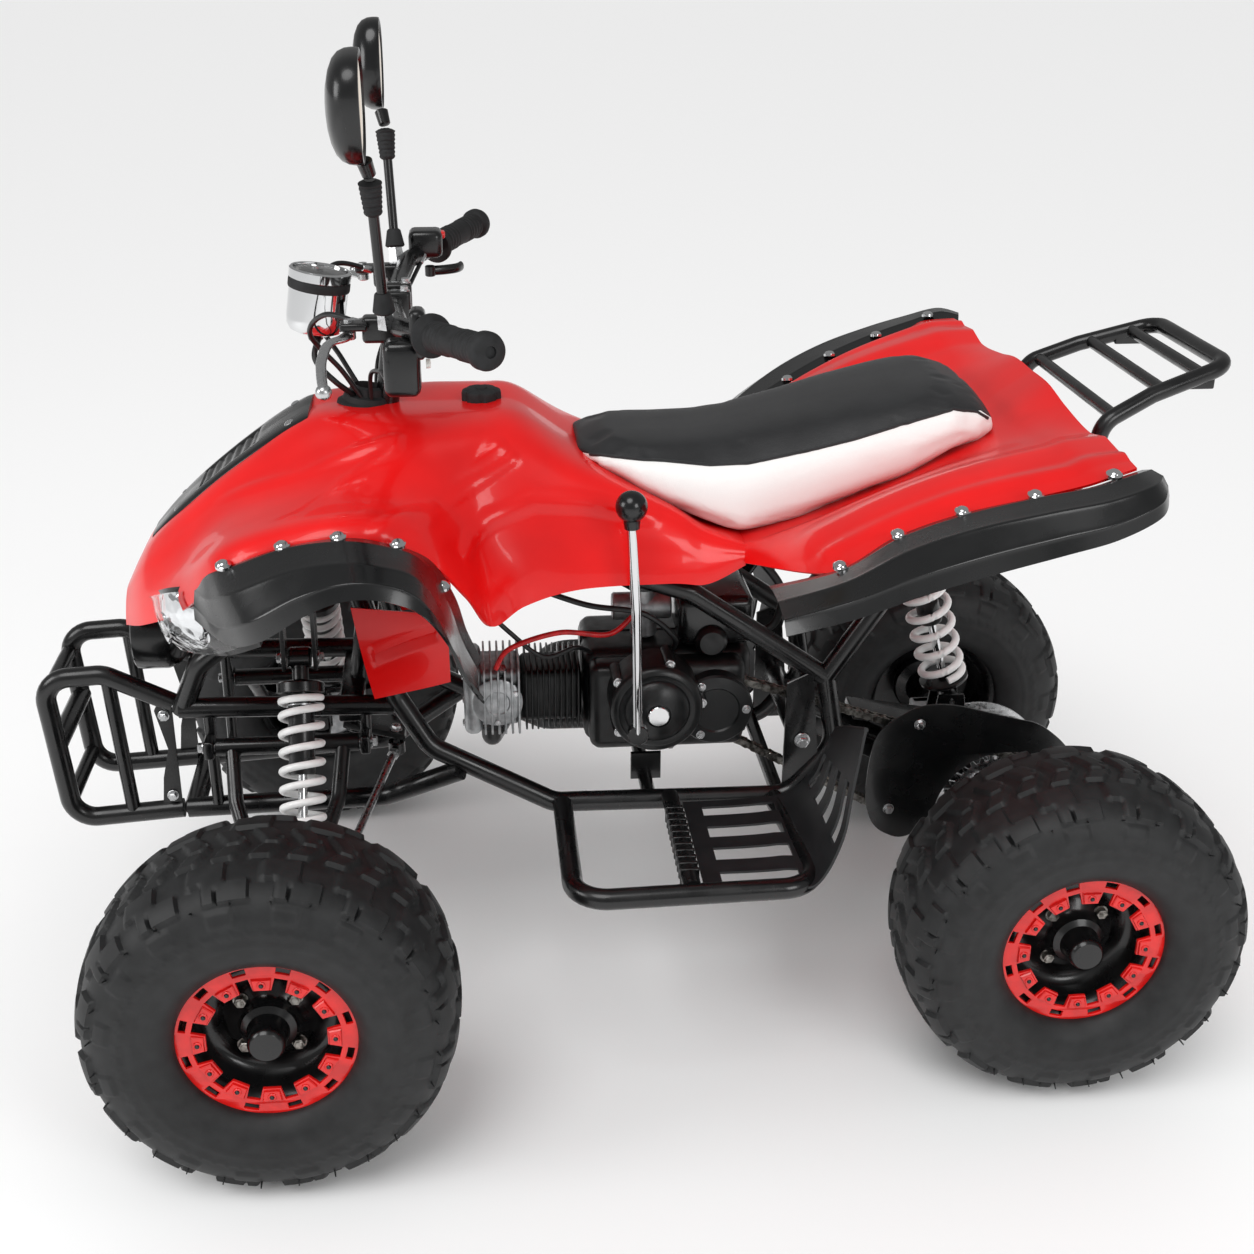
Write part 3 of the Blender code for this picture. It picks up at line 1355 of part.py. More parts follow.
def make_flares():
    rise = AXLE_Z - 0.203
    for word, side in SIDES:
        inner = [
            (0.048, 0.2327, 0.600), (0.030, 0.2487, 0.628), (-0.050, 0.2687, 0.660),
            (-0.120, 0.2667, 0.666),
        ]
        inner += [(-0.175, 0.2607, 0.648), (-0.205, 0.2587, 0.596), (-0.222, 0.2547, 0.545)]
        outer = [
            (0.085, 0.262, 0.552), (0.050, 0.318, 0.584), (-0.040, 0.360, 0.628),
            (-0.130, 0.362, 0.630),
        ]
        outer += [(-0.190, 0.350, 0.604), (-0.222, 0.338, 0.556), (-0.236, 0.312, 0.512)]
        places = [[(FRONT_X + x, y, z + rise) for x, y, z in edge] for edge in (inner, outer)]
        edge_skin(f"front_flare_{word}", side, places[0], places[1], BLACK_PLASTIC)
        inner = [
            (0.352, 0.2482, 0.602), (0.290, 0.2957, 0.626), (0.230, 0.2997, 0.667),
            (0.170, 0.3157, 0.695),
        ]
        inner += [(0.120, 0.3297, 0.713), (0.030, 0.3497, 0.743), (-0.010, 0.3382, 0.750)]
        outer = [(0.345, 0.352, 0.606), (0.290, 0.382, 0.630), (0.230, 0.402, 0.655), (0.170, 0.414, 0.680)]
        outer += [(0.120, 0.418, 0.697), (0.030, 0.424, 0.728), (-0.020, 0.405, 0.744)]
        places = [[(REAR_X + x, y, z + rise) for x, y, z in edge] for edge in (inner, outer)]
        edge_skin(f"rear_flare_{word}", side, places[0], places[1], BLACK_PLASTIC)


def top_line(x):
    """The height of the cover's flat middle."""
    rows = cover_rows()
    for (x0, half0), (x1, half1) in zip(rows, rows[1:]):
        if x1 <= x <= x0:
            share = (x0 - x) / (x0 - x1)
            return half0[0][1] + (half1[0][1] - half0[0][1]) * share
    return rows[-1][1][0][1]


def make_nose_panel():
    """The black panel on the nose, following the cover beneath it, with its two vents."""
    sections = []
    for x, half in (
        (FRONT_X + 0.120, 0.040), (FRONT_X + 0.090, 0.050), (FRONT_X + 0.030, 0.054),
        (FRONT_X - 0.040, 0.056),
    ):
        z = top_line(x) + PANEL_T + 0.0012
        sections.append([(x, -half, z), (x, 0, z), (x, half, z)])
    skin = thicken(loft(sections), 0.003)
    vents = []
    for x, y in ((FRONT_X + 0.060, 0.026), (FRONT_X + 0.036, 0.026)):
        z = top_line(x)
        vents.append(box((x - 0.008, y - 0.012, z - 0.03), (x + 0.008, y + 0.012, z + 0.03)))
    return finish_part(fuse([skin], vents), "nose_panel", BLACK_PLASTIC, smooth=20)


def make_lamps():
    rise = AXLE_Z - 0.203
    for word, side in SIDES:
        rings = [
            [(0.136, 0.090, 0.5269), (0.116, 0.076, 0.5269), (0.116, 0.076, 0.486), (0.134, 0.090, 0.486)],
            [(0.090, 0.168, 0.5729), (0.050, 0.135, 0.5729), (0.050, 0.135, 0.512), (0.082, 0.160, 0.512)],
            [(0.044, 0.222, 0.6249), (0.014, 0.195, 0.6249), (0.014, 0.195, 0.566), (0.034, 0.212, 0.560)],
        ]
        sections = [[mirrored((FRONT_X + x, y, z + rise), side) for x, y, z in ring] for ring in rings]
        finish_part(loft(sections, closed_rings=True), f"headlight_{word}", LENS, smooth=20)
    centre = Vector((FRONT_X + 0.176, 0, AXLE_Z + 0.272))
    profile = [
        (0.0, 0.010), (0.044, 0.008), (0.0475, 0.004), (0.0475, -0.008), (0.042, -0.030),
        (0.024, -0.046), (0.0, -0.048),
    ]
    bucket = turned(profile, 14, Matrix.Translation(centre) @ turn_towards((1, 0, 0.06)))
    low = (FRONT_X + 0.116, -0.016, MID_RAIL_Z + TUBE_R + GAP)
    bracket = box(low, (FRONT_X + 0.128, 0.016, AXLE_Z + 0.275))
    arm = box((FRONT_X + 0.118, -0.016, AXLE_Z + 0.262), (FRONT_X + 0.140, 0.016, AXLE_Z + 0.280))
    return finish_part(fuse([bucket, bracket, arm]), "round_lamp", BLACK_PLASTIC)


def make_cowls():
    """The small red fairings beside the frame's down tubes."""
    rise = AXLE_Z - 0.203
    for word, side in SIDES:
        outline = [(-0.088, 0.510), (-0.115, 0.528), (-0.144, 0.543), (-0.173, 0.545), (-0.182, 0.507)]
        outline += [(-0.197, 0.430), (-0.170, 0.426), (-0.111, 0.440), (-0.096, 0.470)]
        points = [(FRONT_X + x, z + rise) for x, z in outline]
        panel = plate([points], 0.004, upright_xz(side * 0.1375))
        inner = sorted((side * 0.0950, side * 0.1370))
        stand = box(
            (FRONT_X - 0.136, inner[0], AXLE_Z + 0.232),
            (FRONT_X - 0.120, inner[1], AXLE_Z + 0.246),
        )
        finish_part(fuse([panel, stand], [frame_tube("down", side, GAP)]), f"side_cowl_{word}", RED_PLASTIC)


def make_seat():
    """The padded saddle: crowned, drawn in along its sides, its base following the deck."""
    sections = []
    stations = (
        (FRONT_X - 0.351, 0.056, 0.7117, 0.62),
        (FRONT_X - 0.375, 0.084, 0.7127, 0.70),
        (FRONT_X - 0.420, 0.106, 0.7107, 0.74),
        (MID_X, 0.115, 0.7102, 0.76),
        (MID_X - 0.050, 0.122, 0.7117, 0.78),
        (REAR_X + 0.360, 0.127, 0.7177, 0.80),
        (REAR_X + 0.290, 0.132, 0.7337, 0.80),
        (REAR_X + 0.230, 0.135, 0.7497, 0.80),
        (REAR_X + 0.170, 0.135, 0.7637, 0.80),
        (REAR_X + 0.120, 0.130, 0.7737, 0.78),
        (REAR_X + 0.080, 0.116, 0.7577, 0.76),
        (REAR_X + 0.058, 0.096, 0.7357, 0.72),
    )
    for x, half, top, shoulder in stations:
        low = deck_z(x) + 0.0008
        high = top + AXLE_Z - 0.203
        rise = high - low
        side = [
            (half * 0.93, low),
            (half, low + rise * 0.25),
            (half * 0.985, low + rise * 0.50),
            (half * 0.94, low + rise * 0.64),
            (half * shoulder, high - rise * 0.10),
            (half * 0.42, high - 0.0012),
        ]
        ring = [(x, y, z) for y, z in side] + [(x, 0, high)]
        ring += [(x, -y, z) for y, z in reversed(side)]
        sections.append(ring)
    seat = loft(sections, closed_rings=True)
    hinge = (FRONT_X - 0.351, 0, deck_z(FRONT_X - 0.351) + 0.0108)
    return finish_part(seat, "seat", SEAT_VINYL, hinge, smooth=50)


def make_fuel_cap():
    x = FRONT_X - 0.245
    base = Vector((x, 0, top_line(x) + 0.0005))
    profile = [
        (0.0, 0.0), (0.0215, 0.0), (0.0235, 0.003), (0.0235, 0.013), (0.020, 0.018),
        (0.009, 0.019), (0.0, 0.0185),
    ]
    grooves = []
    cap = turned(profile, 16, Matrix.Translation(base))
    for cx, cy in ring_points(0.0250, 6):
        spot = base + Vector((cx, cy, 0))
        grooves.append(rod(spot + Vector((0, 0, 0.005)), spot + Vector((0, 0, 0.03)), 0.0032, 6))
    return finish_part(fuse([cap], grooves), "fuel_cap", BLACK_PLASTIC, base)


def make_body():
    make_cover()
    make_fender()
    make_flares()
    make_nose_panel()
    make_lamps()
    make_cowls()
    make_seat()
    make_fuel_cap()


# Bumper, rack and side bars


def make_bumper():
    front = FRONT_X + 0.125
    pieces = []
    for side in (1, -1):
        loop = [
            (front + 0.0110, LOW_RAIL_Y - 0.012, LOW_RAIL_Z - 0.010),
            (FRONT_X + 0.268, 0.070, AXLE_Z + 0.047),
            (FRONT_X + 0.284, 0.070, AXLE_Z + 0.236),
            (FRONT_X + 0.212, 0.070, AXLE_Z + 0.240),
            (front + 0.0098, 0.070, MID_RAIL_Z),
        ]
        pieces.append(tube(both_sides(loop, side), TUBE_R, 0.035, 2))
        post = [(FRONT_X + 0.196, 0.070, AXLE_Z + 0.050), (FRONT_X + 0.208, 0.070, AXLE_Z + 0.238)]
        pieces.append(wire(both_sides(post, side), 0.0085, 6))
        gusset = [
            (FRONT_X + 0.204, AXLE_Z + 0.120),
            (FRONT_X + 0.274, AXLE_Z + 0.140),
            (FRONT_X + 0.276, AXLE_Z + 0.180),
            (FRONT_X + 0.206, AXLE_Z + 0.132),
        ]
        pieces.append(plate([gusset], 0.004, upright_xz(side * 0.070)))
    for x, z, radius in ((0.2755, 0.150, TUBE_R), (0.2700, 0.072, 0.009), (0.2815, 0.214, 0.009)):
        spot = Vector((FRONT_X + x, 0, AXLE_Z + z))
        pieces.append(rod(spot - Vector((0, 0.070, 0)), spot + Vector((0, 0.070, 0)), radius, 8))
    return finish_part(fuse(pieces), "front_bumper", BLACK_PAINT)


def make_rack():
    z = AXLE_Z - 0.203
    radius = 0.010
    y = 0.092 + TUBE_R + radius - 0.0015
    half = [
        (REAR_X + 0.022, y, 0.6500 + z),
        (REAR_X - 0.026, y + 0.002, 0.6520 + z),
        (REAR_X - 0.040, 0.137, 0.700 + z),
        (REAR_X - 0.048, 0.137, 0.745 + z),
        (REAR_X - 0.108, 0.122, 0.772 + z),
        (REAR_X - 0.2026, 0.105, 0.801 + z),
    ]
    other = both_sides(reversed(half), -1)
    pieces = [tube([Vector(p) for p in half] + other, radius, 0.030, 2)]
    for x, across, height in ((0.062, 0.134, 0.751), (0.122, 0.119, 0.776), (0.170, 0.111, 0.791)):
        ends = [(REAR_X - x, -across, height + z), (REAR_X - x, across, height + z)]
        pieces.append(wire([Vector(p) for p in ends], 0.0075))
    for side in (1, -1):
        tab = [
            (REAR_X - 0.186, 0.792 + z),
            (REAR_X - 0.150, 0.782 + z),
            (REAR_X - 0.156, 0.752 + z),
            (REAR_X - 0.180, 0.756 + z),
        ]
        pieces.append(plate([tab], 0.003, upright_xz(side * 0.108)))
    trims = [frame_tube("strut", side, GAP) for side in (1, -1)]
    return finish_part(fuse(pieces, trims), "rear_rack", BLACK_PAINT)


def make_foot_bars():
    """Each side loop with its footpeg and the folded, slotted heel guard."""
    root_y = CRADLE_Y + TUBE_R + 0.0006
    for word, side in SIDES:
        rail = [
            (MID_X + 0.122, root_y, FOOT_BAR_Z),
            (MID_X + 0.122, FOOT_BAR_Y, FOOT_BAR_Z),
            (MID_X - 0.155, FOOT_BAR_Y, FOOT_BAR_Z + 0.004),
            (MID_X - 0.140, root_y, FOOT_BAR_Z - 0.004),
        ]
        pieces = [tube(both_sides(rail, side), TUBE_R, 0.045, 2)]
        peg = Vector((MID_X - 0.010, 0, FOOT_BAR_Z + 0.006))
        widths = sorted((side * root_y, side * (FOOT_BAR_Y - 0.004)))
        pieces.append(
            box((peg.x - 0.018, widths[0], peg.z - 0.009), (peg.x + 0.018, widths[1], peg.z + 0.012), 0.003)
        )
        floor_front, wall_foot = MID_X - 0.024, MID_X - 0.168
        sheet = [
            [
                (floor_front, 0.140, FOOT_BAR_Z + 0.002), (floor_front, 0.240, FOOT_BAR_Z + 0.002),
                (floor_front, 0.338, FOOT_BAR_Z + 0.002),
            ],
            [
                (wall_foot, 0.140, FOOT_BAR_Z + 0.002), (wall_foot, 0.240, FOOT_BAR_Z + 0.002),
                (wall_foot, 0.345, FOOT_BAR_Z + 0.002),
            ],
            [
                (MID_X - 0.190, 0.150, FOOT_BAR_Z + 0.070),
                (MID_X - 0.190, 0.240, FOOT_BAR_Z + 0.070),
                (MID_X - 0.188, 0.346, FOOT_BAR_Z + 0.070),
            ],
            [
                (MID_X - 0.204, 0.168, FOOT_BAR_Z + 0.112),
                (MID_X - 0.200, 0.240, FOOT_BAR_Z + 0.150),
                (MID_X - 0.194, 0.343, FOOT_BAR_Z + 0.200),
            ],
        ]
        guard = thicken(loft([[mirrored(p, side) for p in row] for row in sheet]), 0.003)
        slots = []
        for k in range(4):
            y = sorted((side * (0.172 + 0.042 * k), side * (0.190 + 0.042 * k)))
            slots.append(
                box((MID_X - 0.150, y[0], FOOT_BAR_Z - 0.02), (MID_X - 0.050, y[1], FOOT_BAR_Z + 0.03)),
            )
        for k in range(4):
            y = sorted((side * (0.186 + 0.038 * k), side * (0.198 + 0.038 * k)))
            slots.append(
                box(
                    (MID_X - 0.30, y[0], FOOT_BAR_Z + 0.034),
                    (MID_X - 0.10, y[1], FOOT_BAR_Z + 0.092 + 0.010 * k),
                ),
            )
        guard = combine(guard, slots, "DIFFERENCE")
        pieces.append(guard)
        finish_part(fuse(pieces), f"foot_bar_{word}", BLACK_PAINT)


# Engine


def make_engine_case():
    """The crankcase, magneto cover, gear housing, carburettor and the drive shaft end."""
    rise = AXLE_Z - 0.203
    block = box((MID_X - 0.125, -0.092, ENGINE_FLOOR_Z + GAP), (MID_X + 0.090, 0.040, 0.436 + rise), 0.010)
    neck = box((MID_X - 0.004, 0.030, 0.320 + rise), (MID_X + 0.084, 0.072, 0.430 + rise))
    disc = Vector((MID_X + 0.007, 0, 0.395 + rise))
    across = Vector((0, 1, 0))
    magneto = rod(disc + across * 0.068, disc + across * 0.128, 0.056, 16)
    dome = rod(disc + across * 0.126, disc + across * 0.144, 0.056, 16, 0.044)
    shaft = Vector((OUTPUT_X, 0, OUTPUT_Z))
    pieces = [
        block,
        neck,
        magneto,
        dome,
        rod(shaft + across * 0.036, shaft + across * 0.074, 0.008, 10),
        rod(shaft + across * 0.0535, shaft + across * 0.0585, 0.0165, 14),
        rod(shaft + across * 0.070, shaft + across * 0.092, 0.046, 14),
        rod(disc - across * 0.090, disc - across * 0.116, 0.058, 14),
        rod(
            Vector((MID_X + 0.010, -0.010, 0.430 + rise)),
            Vector((MID_X + 0.010, -0.010, 0.462 + rise)), 0.020, 12,
        ),
        box((MID_X - 0.030, -0.034, 0.455 + rise), (MID_X + 0.034, 0.016, 0.498 + rise)),
        rod((MID_X - 0.028, -0.010, 0.478 + rise), (MID_X - 0.110, -0.010, 0.486 + rise), 0.022, 12),
    ]
    lever = gear_pivot()
    pieces.append(rod(lever - across * 0.030, lever - across * 0.0042, 0.012, 10))
    pieces.append(rod(lever - across * 0.006, lever + across * 0.008, 0.0045, 8))
    return finish_part(fuse(pieces), "engine_case", CAST_ALUMINIUM)


def make_cylinder():
    """The finned barrel and head on their slope, with the exhaust port below."""
    rise = AXLE_Z - 0.203
    foot = Vector((MID_X + 0.0906, 0, 0.374 + rise))
    slope = Matrix.Translation(foot) @ Matrix.Rotation(math.radians(90), 4, "Y")
    pieces = [rod((0, 0, 0), (0, 0, 0.150), 0.033, 8)]
    fins = [(0.012 + k * 0.0105, 0.0035, 0.046) for k in range(CYLINDER_FINS)]
    start = fins[-1][0] + 0.0125
    fins += [(start + k * 0.0100, 0.0035, 0.051) for k in range(HEAD_FINS)]
    for height, thick, half in fins:
        pieces.append(box((-half, -half, height), (half, half, height + thick)))
    pieces.append(rod((0, 0, start), (0, 0, start + HEAD_FINS * 0.0100 + 0.012), 0.040, 8))
    made = fuse(pieces)
    made.data.transform(slope)
    port = exhaust_port()
    cover = [made, rod(port + Vector((0, 0, 0.050)), port + Vector((0, 0, 0.0006)), 0.014, 10)]
    return finish_part(fuse(cover), "cylinder", ENGINE_BLACK)


def exhaust_port():
    return Vector((MID_X + 0.205, -0.018, AXLE_Z + 0.104))


def make_exhaust():
    """The header pipe, led round the right side to the muffler under the rear fender."""
    port = exhaust_port()
    pipe = [
        tuple(port),
        (port.x, port.y, port.z - 0.020),
        (port.x - 0.030, -0.085, port.z - 0.004),
        (MID_X + 0.120, -0.146, AXLE_Z + 0.150),
        (MID_X - 0.060, -0.146, AXLE_Z + 0.200),
        (REAR_X + 0.240, -0.164, AXLE_Z + 0.300),
        (REAR_X + 0.200, -0.164, AXLE_Z + 0.308),
    ]
    pieces = [tube(pipe, 0.0105, 0.030, 1)]
    start = Vector((REAR_X + 0.220, -0.164, AXLE_Z + 0.304))
    end = Vector((REAR_X + 0.010, -0.164, AXLE_Z + 0.345))
    pieces.append(rod(start, end, 0.034, 12))
    pieces.append(
        rod(end - (end - start).normalized() * 0.004, end + (end - start).normalized() * 0.022, 0.013, 10),
    )
    strap_x = REAR_X + 0.060
    pieces.append(
        box((strap_x - 0.010, -0.150, AXLE_Z + 0.360), (strap_x + 0.010, -0.1052, AXLE_Z + 0.366)),
    )
    pieces.append(
        box((strap_x - 0.010, -0.1092, AXLE_Z + 0.362), (strap_x + 0.010, -0.1052, AXLE_Z + 0.450)),
    )
    return finish_part(fuse(pieces), "exhaust", ENGINE_BLACK)


def gear_pivot():
    return Vector((MID_X + 0.034, 0.158, AXLE_Z + 0.180))


def make_gear_lever():
    pivot = gear_pivot()
    line = [
        pivot + Vector((0, 0.003, 0)),
        pivot + Vector((0.002, 0.012, 0.060)),
        pivot + Vector((0.006, 0.030, 0.170)),
        pivot + Vector((0.012, 0.030, 0.285)),
    ]
    pieces = [
        rod(pivot - Vector((0, 0.0034, 0)), pivot + Vector((0, 0.0060, 0)), 0.013, 10),
        tube(line, 0.0055, 0.03, 2),
        ball(line[-1] + Vector((0, 0, 0.010)), 0.018, 10),
    ]
    hole = rod(pivot - Vector((0, 0.02, 0)), pivot + Vector((0, 0.02, 0)), 0.0045 + RUNNING_GAP, 8)
    return finish_part(fuse(pieces, [hole]), "gear_lever", STEEL, pivot)


def make_engine():
    make_engine_case()
    make_cylinder()
    make_exhaust()
    make_gear_lever()


make_wheels()
make_front_suspension()
make_frame()
make_rear_drive()
make_steering()
make_body()
make_bumper()
make_rack()
make_foot_bars()
make_engine()
CUTTERS.hide_render = True
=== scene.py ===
"""Mini quad bike: finishes, tyre tread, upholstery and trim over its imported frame."""

import math

import bmesh
import bpy
import numpy as np
from bpy.props import FloatProperty, IntProperty, PointerProperty
from mathutils import Matrix, Vector
from mathutils.bvhtree import BVHTree


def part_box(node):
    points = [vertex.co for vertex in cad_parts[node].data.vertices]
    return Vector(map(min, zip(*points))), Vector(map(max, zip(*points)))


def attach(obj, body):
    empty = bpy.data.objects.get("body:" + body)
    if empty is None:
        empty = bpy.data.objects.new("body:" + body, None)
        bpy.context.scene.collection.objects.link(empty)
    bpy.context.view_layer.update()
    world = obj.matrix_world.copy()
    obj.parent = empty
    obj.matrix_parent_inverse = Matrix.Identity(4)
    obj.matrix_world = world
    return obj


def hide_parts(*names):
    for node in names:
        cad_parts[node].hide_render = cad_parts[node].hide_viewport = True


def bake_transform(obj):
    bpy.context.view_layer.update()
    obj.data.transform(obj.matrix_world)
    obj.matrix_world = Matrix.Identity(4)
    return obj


bl_info = {
    "name": "Mini Quad Bike",
    "version": (1, 0, 0),
    "blender": (4, 5, 0),
    "location": "View3D > Sidebar > Quad Bike",
    "description": "Builds the visible pieces and finishes of a small quad bike over its frame",
    "category": "Object",
}

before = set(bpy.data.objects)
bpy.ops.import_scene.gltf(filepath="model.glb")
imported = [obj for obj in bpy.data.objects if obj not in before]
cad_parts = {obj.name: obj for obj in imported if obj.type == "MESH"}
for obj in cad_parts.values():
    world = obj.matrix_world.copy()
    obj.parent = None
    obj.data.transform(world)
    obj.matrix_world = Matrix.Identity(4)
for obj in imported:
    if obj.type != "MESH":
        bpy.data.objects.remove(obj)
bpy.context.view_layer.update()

# Places read from the frame: metres, +X forwards, +Y to the rider's left
FRONT_LOW, FRONT_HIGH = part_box("front_tyre_left")
REAR_LOW, REAR_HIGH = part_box("rear_tyre_left")
FRONT_X = round((FRONT_LOW.x + FRONT_HIGH.x) / 2, 4)
REAR_X = round((REAR_LOW.x + REAR_HIGH.x) / 2, 4)
FRONT_Y = (FRONT_LOW.y + FRONT_HIGH.y) / 2
REAR_Y = (REAR_LOW.y + REAR_HIGH.y) / 2
AXLE_Z = (FRONT_LOW.z + FRONT_HIGH.z) / 2
TUBE_R = 0.0125
SIDES = (("left", 1), ("right", -1))
UP = np.array((0.0, 0.0, 1.0))
ACROSS = np.array((0.0, 1.0, 0.0))


# Shapes as arrays of points


def mm(table):
    """Millimetres as metres, all through a nested table."""
    if isinstance(table, dict):
        return {key: mm(rows) for key, rows in table.items()}
    return tuple(mm(row) for row in table) if isinstance(table, tuple) else table / 1000


def unit(vectors):
    """Each vector divided by its own length."""
    return vectors / np.maximum(np.linalg.norm(vectors, axis=-1, keepdims=True), 1e-12)


def spline(points, count):
    """A smooth curve through the points: cubics whose slopes are half of the gap between neighbours."""
    points = np.asarray(points, float)
    last = len(points) - 1
    place = np.linspace(0.0, last, count)
    k = np.minimum(place.astype(int), last - 1)
    t = (place - k).reshape((-1,) + (1,) * (points.ndim - 1))
    before = points[np.maximum(k - 1, 0)]
    start, end = points[k], points[k + 1]
    after = points[np.minimum(k + 2, last)]
    lean_in, lean_out = (end - before) / 2, (after - start) / 2
    bend = 2 * start - 2 * end + lean_in + lean_out
    sweep = -3 * start + 3 * end - 2 * lean_in - lean_out
    return ((bend * t + sweep) * t + lean_in) * t + start


def rounded(points, bend, steps=6):
    """A bent tube's middle line: straight runs, with the arc that touches both at each corner."""
    points = [np.asarray(p, float) for p in points]
    line = [points[0][None]]
    for before, corner, after in zip(points, points[1:], points[2:]):
        back, ahead = unit(before - corner), unit(after - corner)
        half = math.acos(max(-1.0, min(1.0, float(back @ ahead)))) / 2
        room = 0.45 * min(np.linalg.norm(before - corner), np.linalg.norm(after - corner))
        cut = min(bend / math.tan(half), room)
        middle = corner + unit(back + ahead) * cut / math.cos(half)
        first, final = corner + back * cut - middle, corner + ahead * cut - middle
        radius = np.linalg.norm(first)
        share = np.linspace(0.0, 1.0, steps + 1)[:, None]
        line.append(middle + radius * unit(first * (1 - share) + final * share))
    return np.concatenate(line + [points[-1][None]])


def grid(points, wrap_rows=False, wrap_columns=False, caps=False):
    """The quads of a two-parameter grid of points, its last row or column joined to its first if it wraps."""
    rows, columns = points.shape[:2]
    r = np.arange(rows if wrap_rows else rows - 1)[:, None]
    c = np.arange(columns if wrap_columns else columns - 1)[None, :]
    r_next, c_next = (r + 1) % rows, (c + 1) % columns
    corners = (r * columns + c, r * columns + c_next, r_next * columns + c_next, r_next * columns + c)
    blocks = [np.stack(np.broadcast_arrays(*corners), -1).reshape(-1, 4)]
    if caps:
        ring = np.arange(columns)
        blocks += [ring[::-1][None], (ring + (rows - 1) * columns)[None]]
    return points.reshape(-1, 3), blocks


def tube(path, radius, sides=14, closed=False):
    """A round tube: at each place on the path a circle of the radius, square to the path's direction."""
    path = np.asarray(path, float)
    if closed:
        along = unit(np.roll(path, -1, 0) - np.roll(path, 1, 0))
    else:
        along = unit(np.gradient(path, axis=0))
    spread = np.linalg.svd(path - path.mean(0))[2][-1]
    side = unit(np.cross(along, spread))
    lift = np.cross(side, along)
    turn = np.linspace(0, 2 * math.pi, sides, endpoint=False)
    radius = np.broadcast_to(np.asarray(radius, float), (len(path),))[:, None, None]
    circle = side[:, None] * np.cos(turn)[None, :, None] + lift[:, None] * np.sin(turn)[None, :, None]
    points = path[:, None] + radius * circle
    return grid(points, wrap_rows=closed, wrap_columns=True, caps=not closed)


def facing(axis):
    """Three unit directions, the third along the axis."""
    axis = unit(np.asarray(axis, float))
    other = UP if abs(axis[2]) < 0.9 else np.array((1.0, 0.0, 0.0))
    first = unit(np.cross(other, axis))
    return np.stack((first, np.cross(axis, first), axis))


def spin(profile, centre, axis, steps=32):
    """A turned shape: each (radius, height) of the profile carried round the axis at that height."""
    profile = np.asarray(profile, float)
    turn = np.linspace(0, 2 * math.pi, steps, endpoint=False)
    a, b, c = facing(axis)
    circle = np.cos(turn)[:, None] * a + np.sin(turn)[:, None] * b
    height = profile[:, 1][:, None, None]
    points = profile[:, None, :1] * circle[None] + height * c + np.asarray(centre, float)
    return grid(points, wrap_columns=True, caps=True)


def ball(radius, centre, axis, rows, steps):
    """A turned half circle, (radius x cos(a), radius x sin(a)), with the smallest of holes at its poles."""
    a = np.linspace(-math.pi / 2, math.pi / 2, rows)
    return spin(np.stack((radius * np.cos(a) + 0.0001, radius * np.sin(a)), -1), centre, axis, steps)


def oval_tube(path, wide, tall):
    """At each place on the path an oval square to it: wide x cos(a) to the side and tall x sin(a) up."""
    along = unit(np.gradient(path, axis=0))
    sideways = unit(np.cross(along, UP))
    lift = np.cross(sideways, along)
    turn = np.linspace(0, 2 * math.pi, 16, endpoint=False)[None, :, None]
    wide, tall = (np.broadcast_to(size, len(path))[:, None, None] for size in (wide, tall))
    points = path[:, None] + wide * np.cos(turn) * sideways[:, None] + tall * np.sin(turn) * lift[:, None]
    return grid(points, wrap_columns=True, caps=True)


def rod(start, end, radius, end_radius=None, steps=20, round_off=0.0):
    """A round bar between two points, its rims rounded off."""
    start, end = np.asarray(start, float), np.asarray(end, float)
    length = float(np.linalg.norm(end - start))
    last = radius if end_radius is None else end_radius
    cut = min(round_off, radius * 0.9, last * 0.9, length / 2)
    profile = [(radius - cut, 0), (radius, cut), (last, length - cut), (last - cut, length)]
    if not cut:
        profile = [(radius, 0), (last, length)]
    return spin(profile, start, end - start, steps)


def block(low, high, soft=0.002, turn=None, about=None, steps=3):
    """A box with rounded edges: a ball of the soft radius, its eighths moved apart to the box's corners."""
    low, high = np.asarray(low, float), np.asarray(high, float)
    half = (high - low) / 2
    soft = min(soft, float(half.min()) * 0.98)
    lift = np.concatenate((np.linspace(-90, 0, steps + 1), np.linspace(0, 90, steps + 1)))
    round_ = np.concatenate([np.linspace(k * 90, k * 90 + 90, steps + 1) for k in range(4)])
    lift, round_ = np.radians(lift)[:, None], np.radians(round_)[None, :]
    up_sign = np.repeat((-1.0, 1.0), steps + 1)[:, None]
    x_sign = np.repeat((1.0, -1.0, -1.0, 1.0), steps + 1)[None, :]
    y_sign = np.repeat((1.0, 1.0, -1.0, -1.0), steps + 1)[None, :]
    flat = half - soft
    x = flat[0] * x_sign + soft * np.cos(lift) * np.cos(round_)
    y = flat[1] * y_sign + soft * np.cos(lift) * np.sin(round_)
    z = flat[2] * up_sign + soft * np.sin(lift) + 0 * round_
    points = np.stack((x, y, z), -1)
    middle = (low + high) / 2
    if turn is not None:
        points = points @ np.asarray(turn, float)
        middle = np.asarray(about, float)
    return grid(points + middle, wrap_columns=True, caps=True)


def side_block(low, high, side, soft):
    """A box given on the left side, or its mirror image where the side is -1."""
    return block(*np.sort((low * np.array((1, side, 1)), high * np.array((1, side, 1))), axis=0), soft)


def beam(start, end, width, height, soft=0.002, across=ACROSS):
    """A flat bar between two points, its width along the across direction."""
    start, end = np.asarray(start, float), np.asarray(end, float)
    along = unit(end - start)
    lift = unit(np.cross(along, across))
    turn = np.stack((along, np.cross(lift, along), lift))
    size = np.array((np.linalg.norm(end - start), width, height)) / 2
    return block(-size, size, soft, turn, (start + end) / 2)


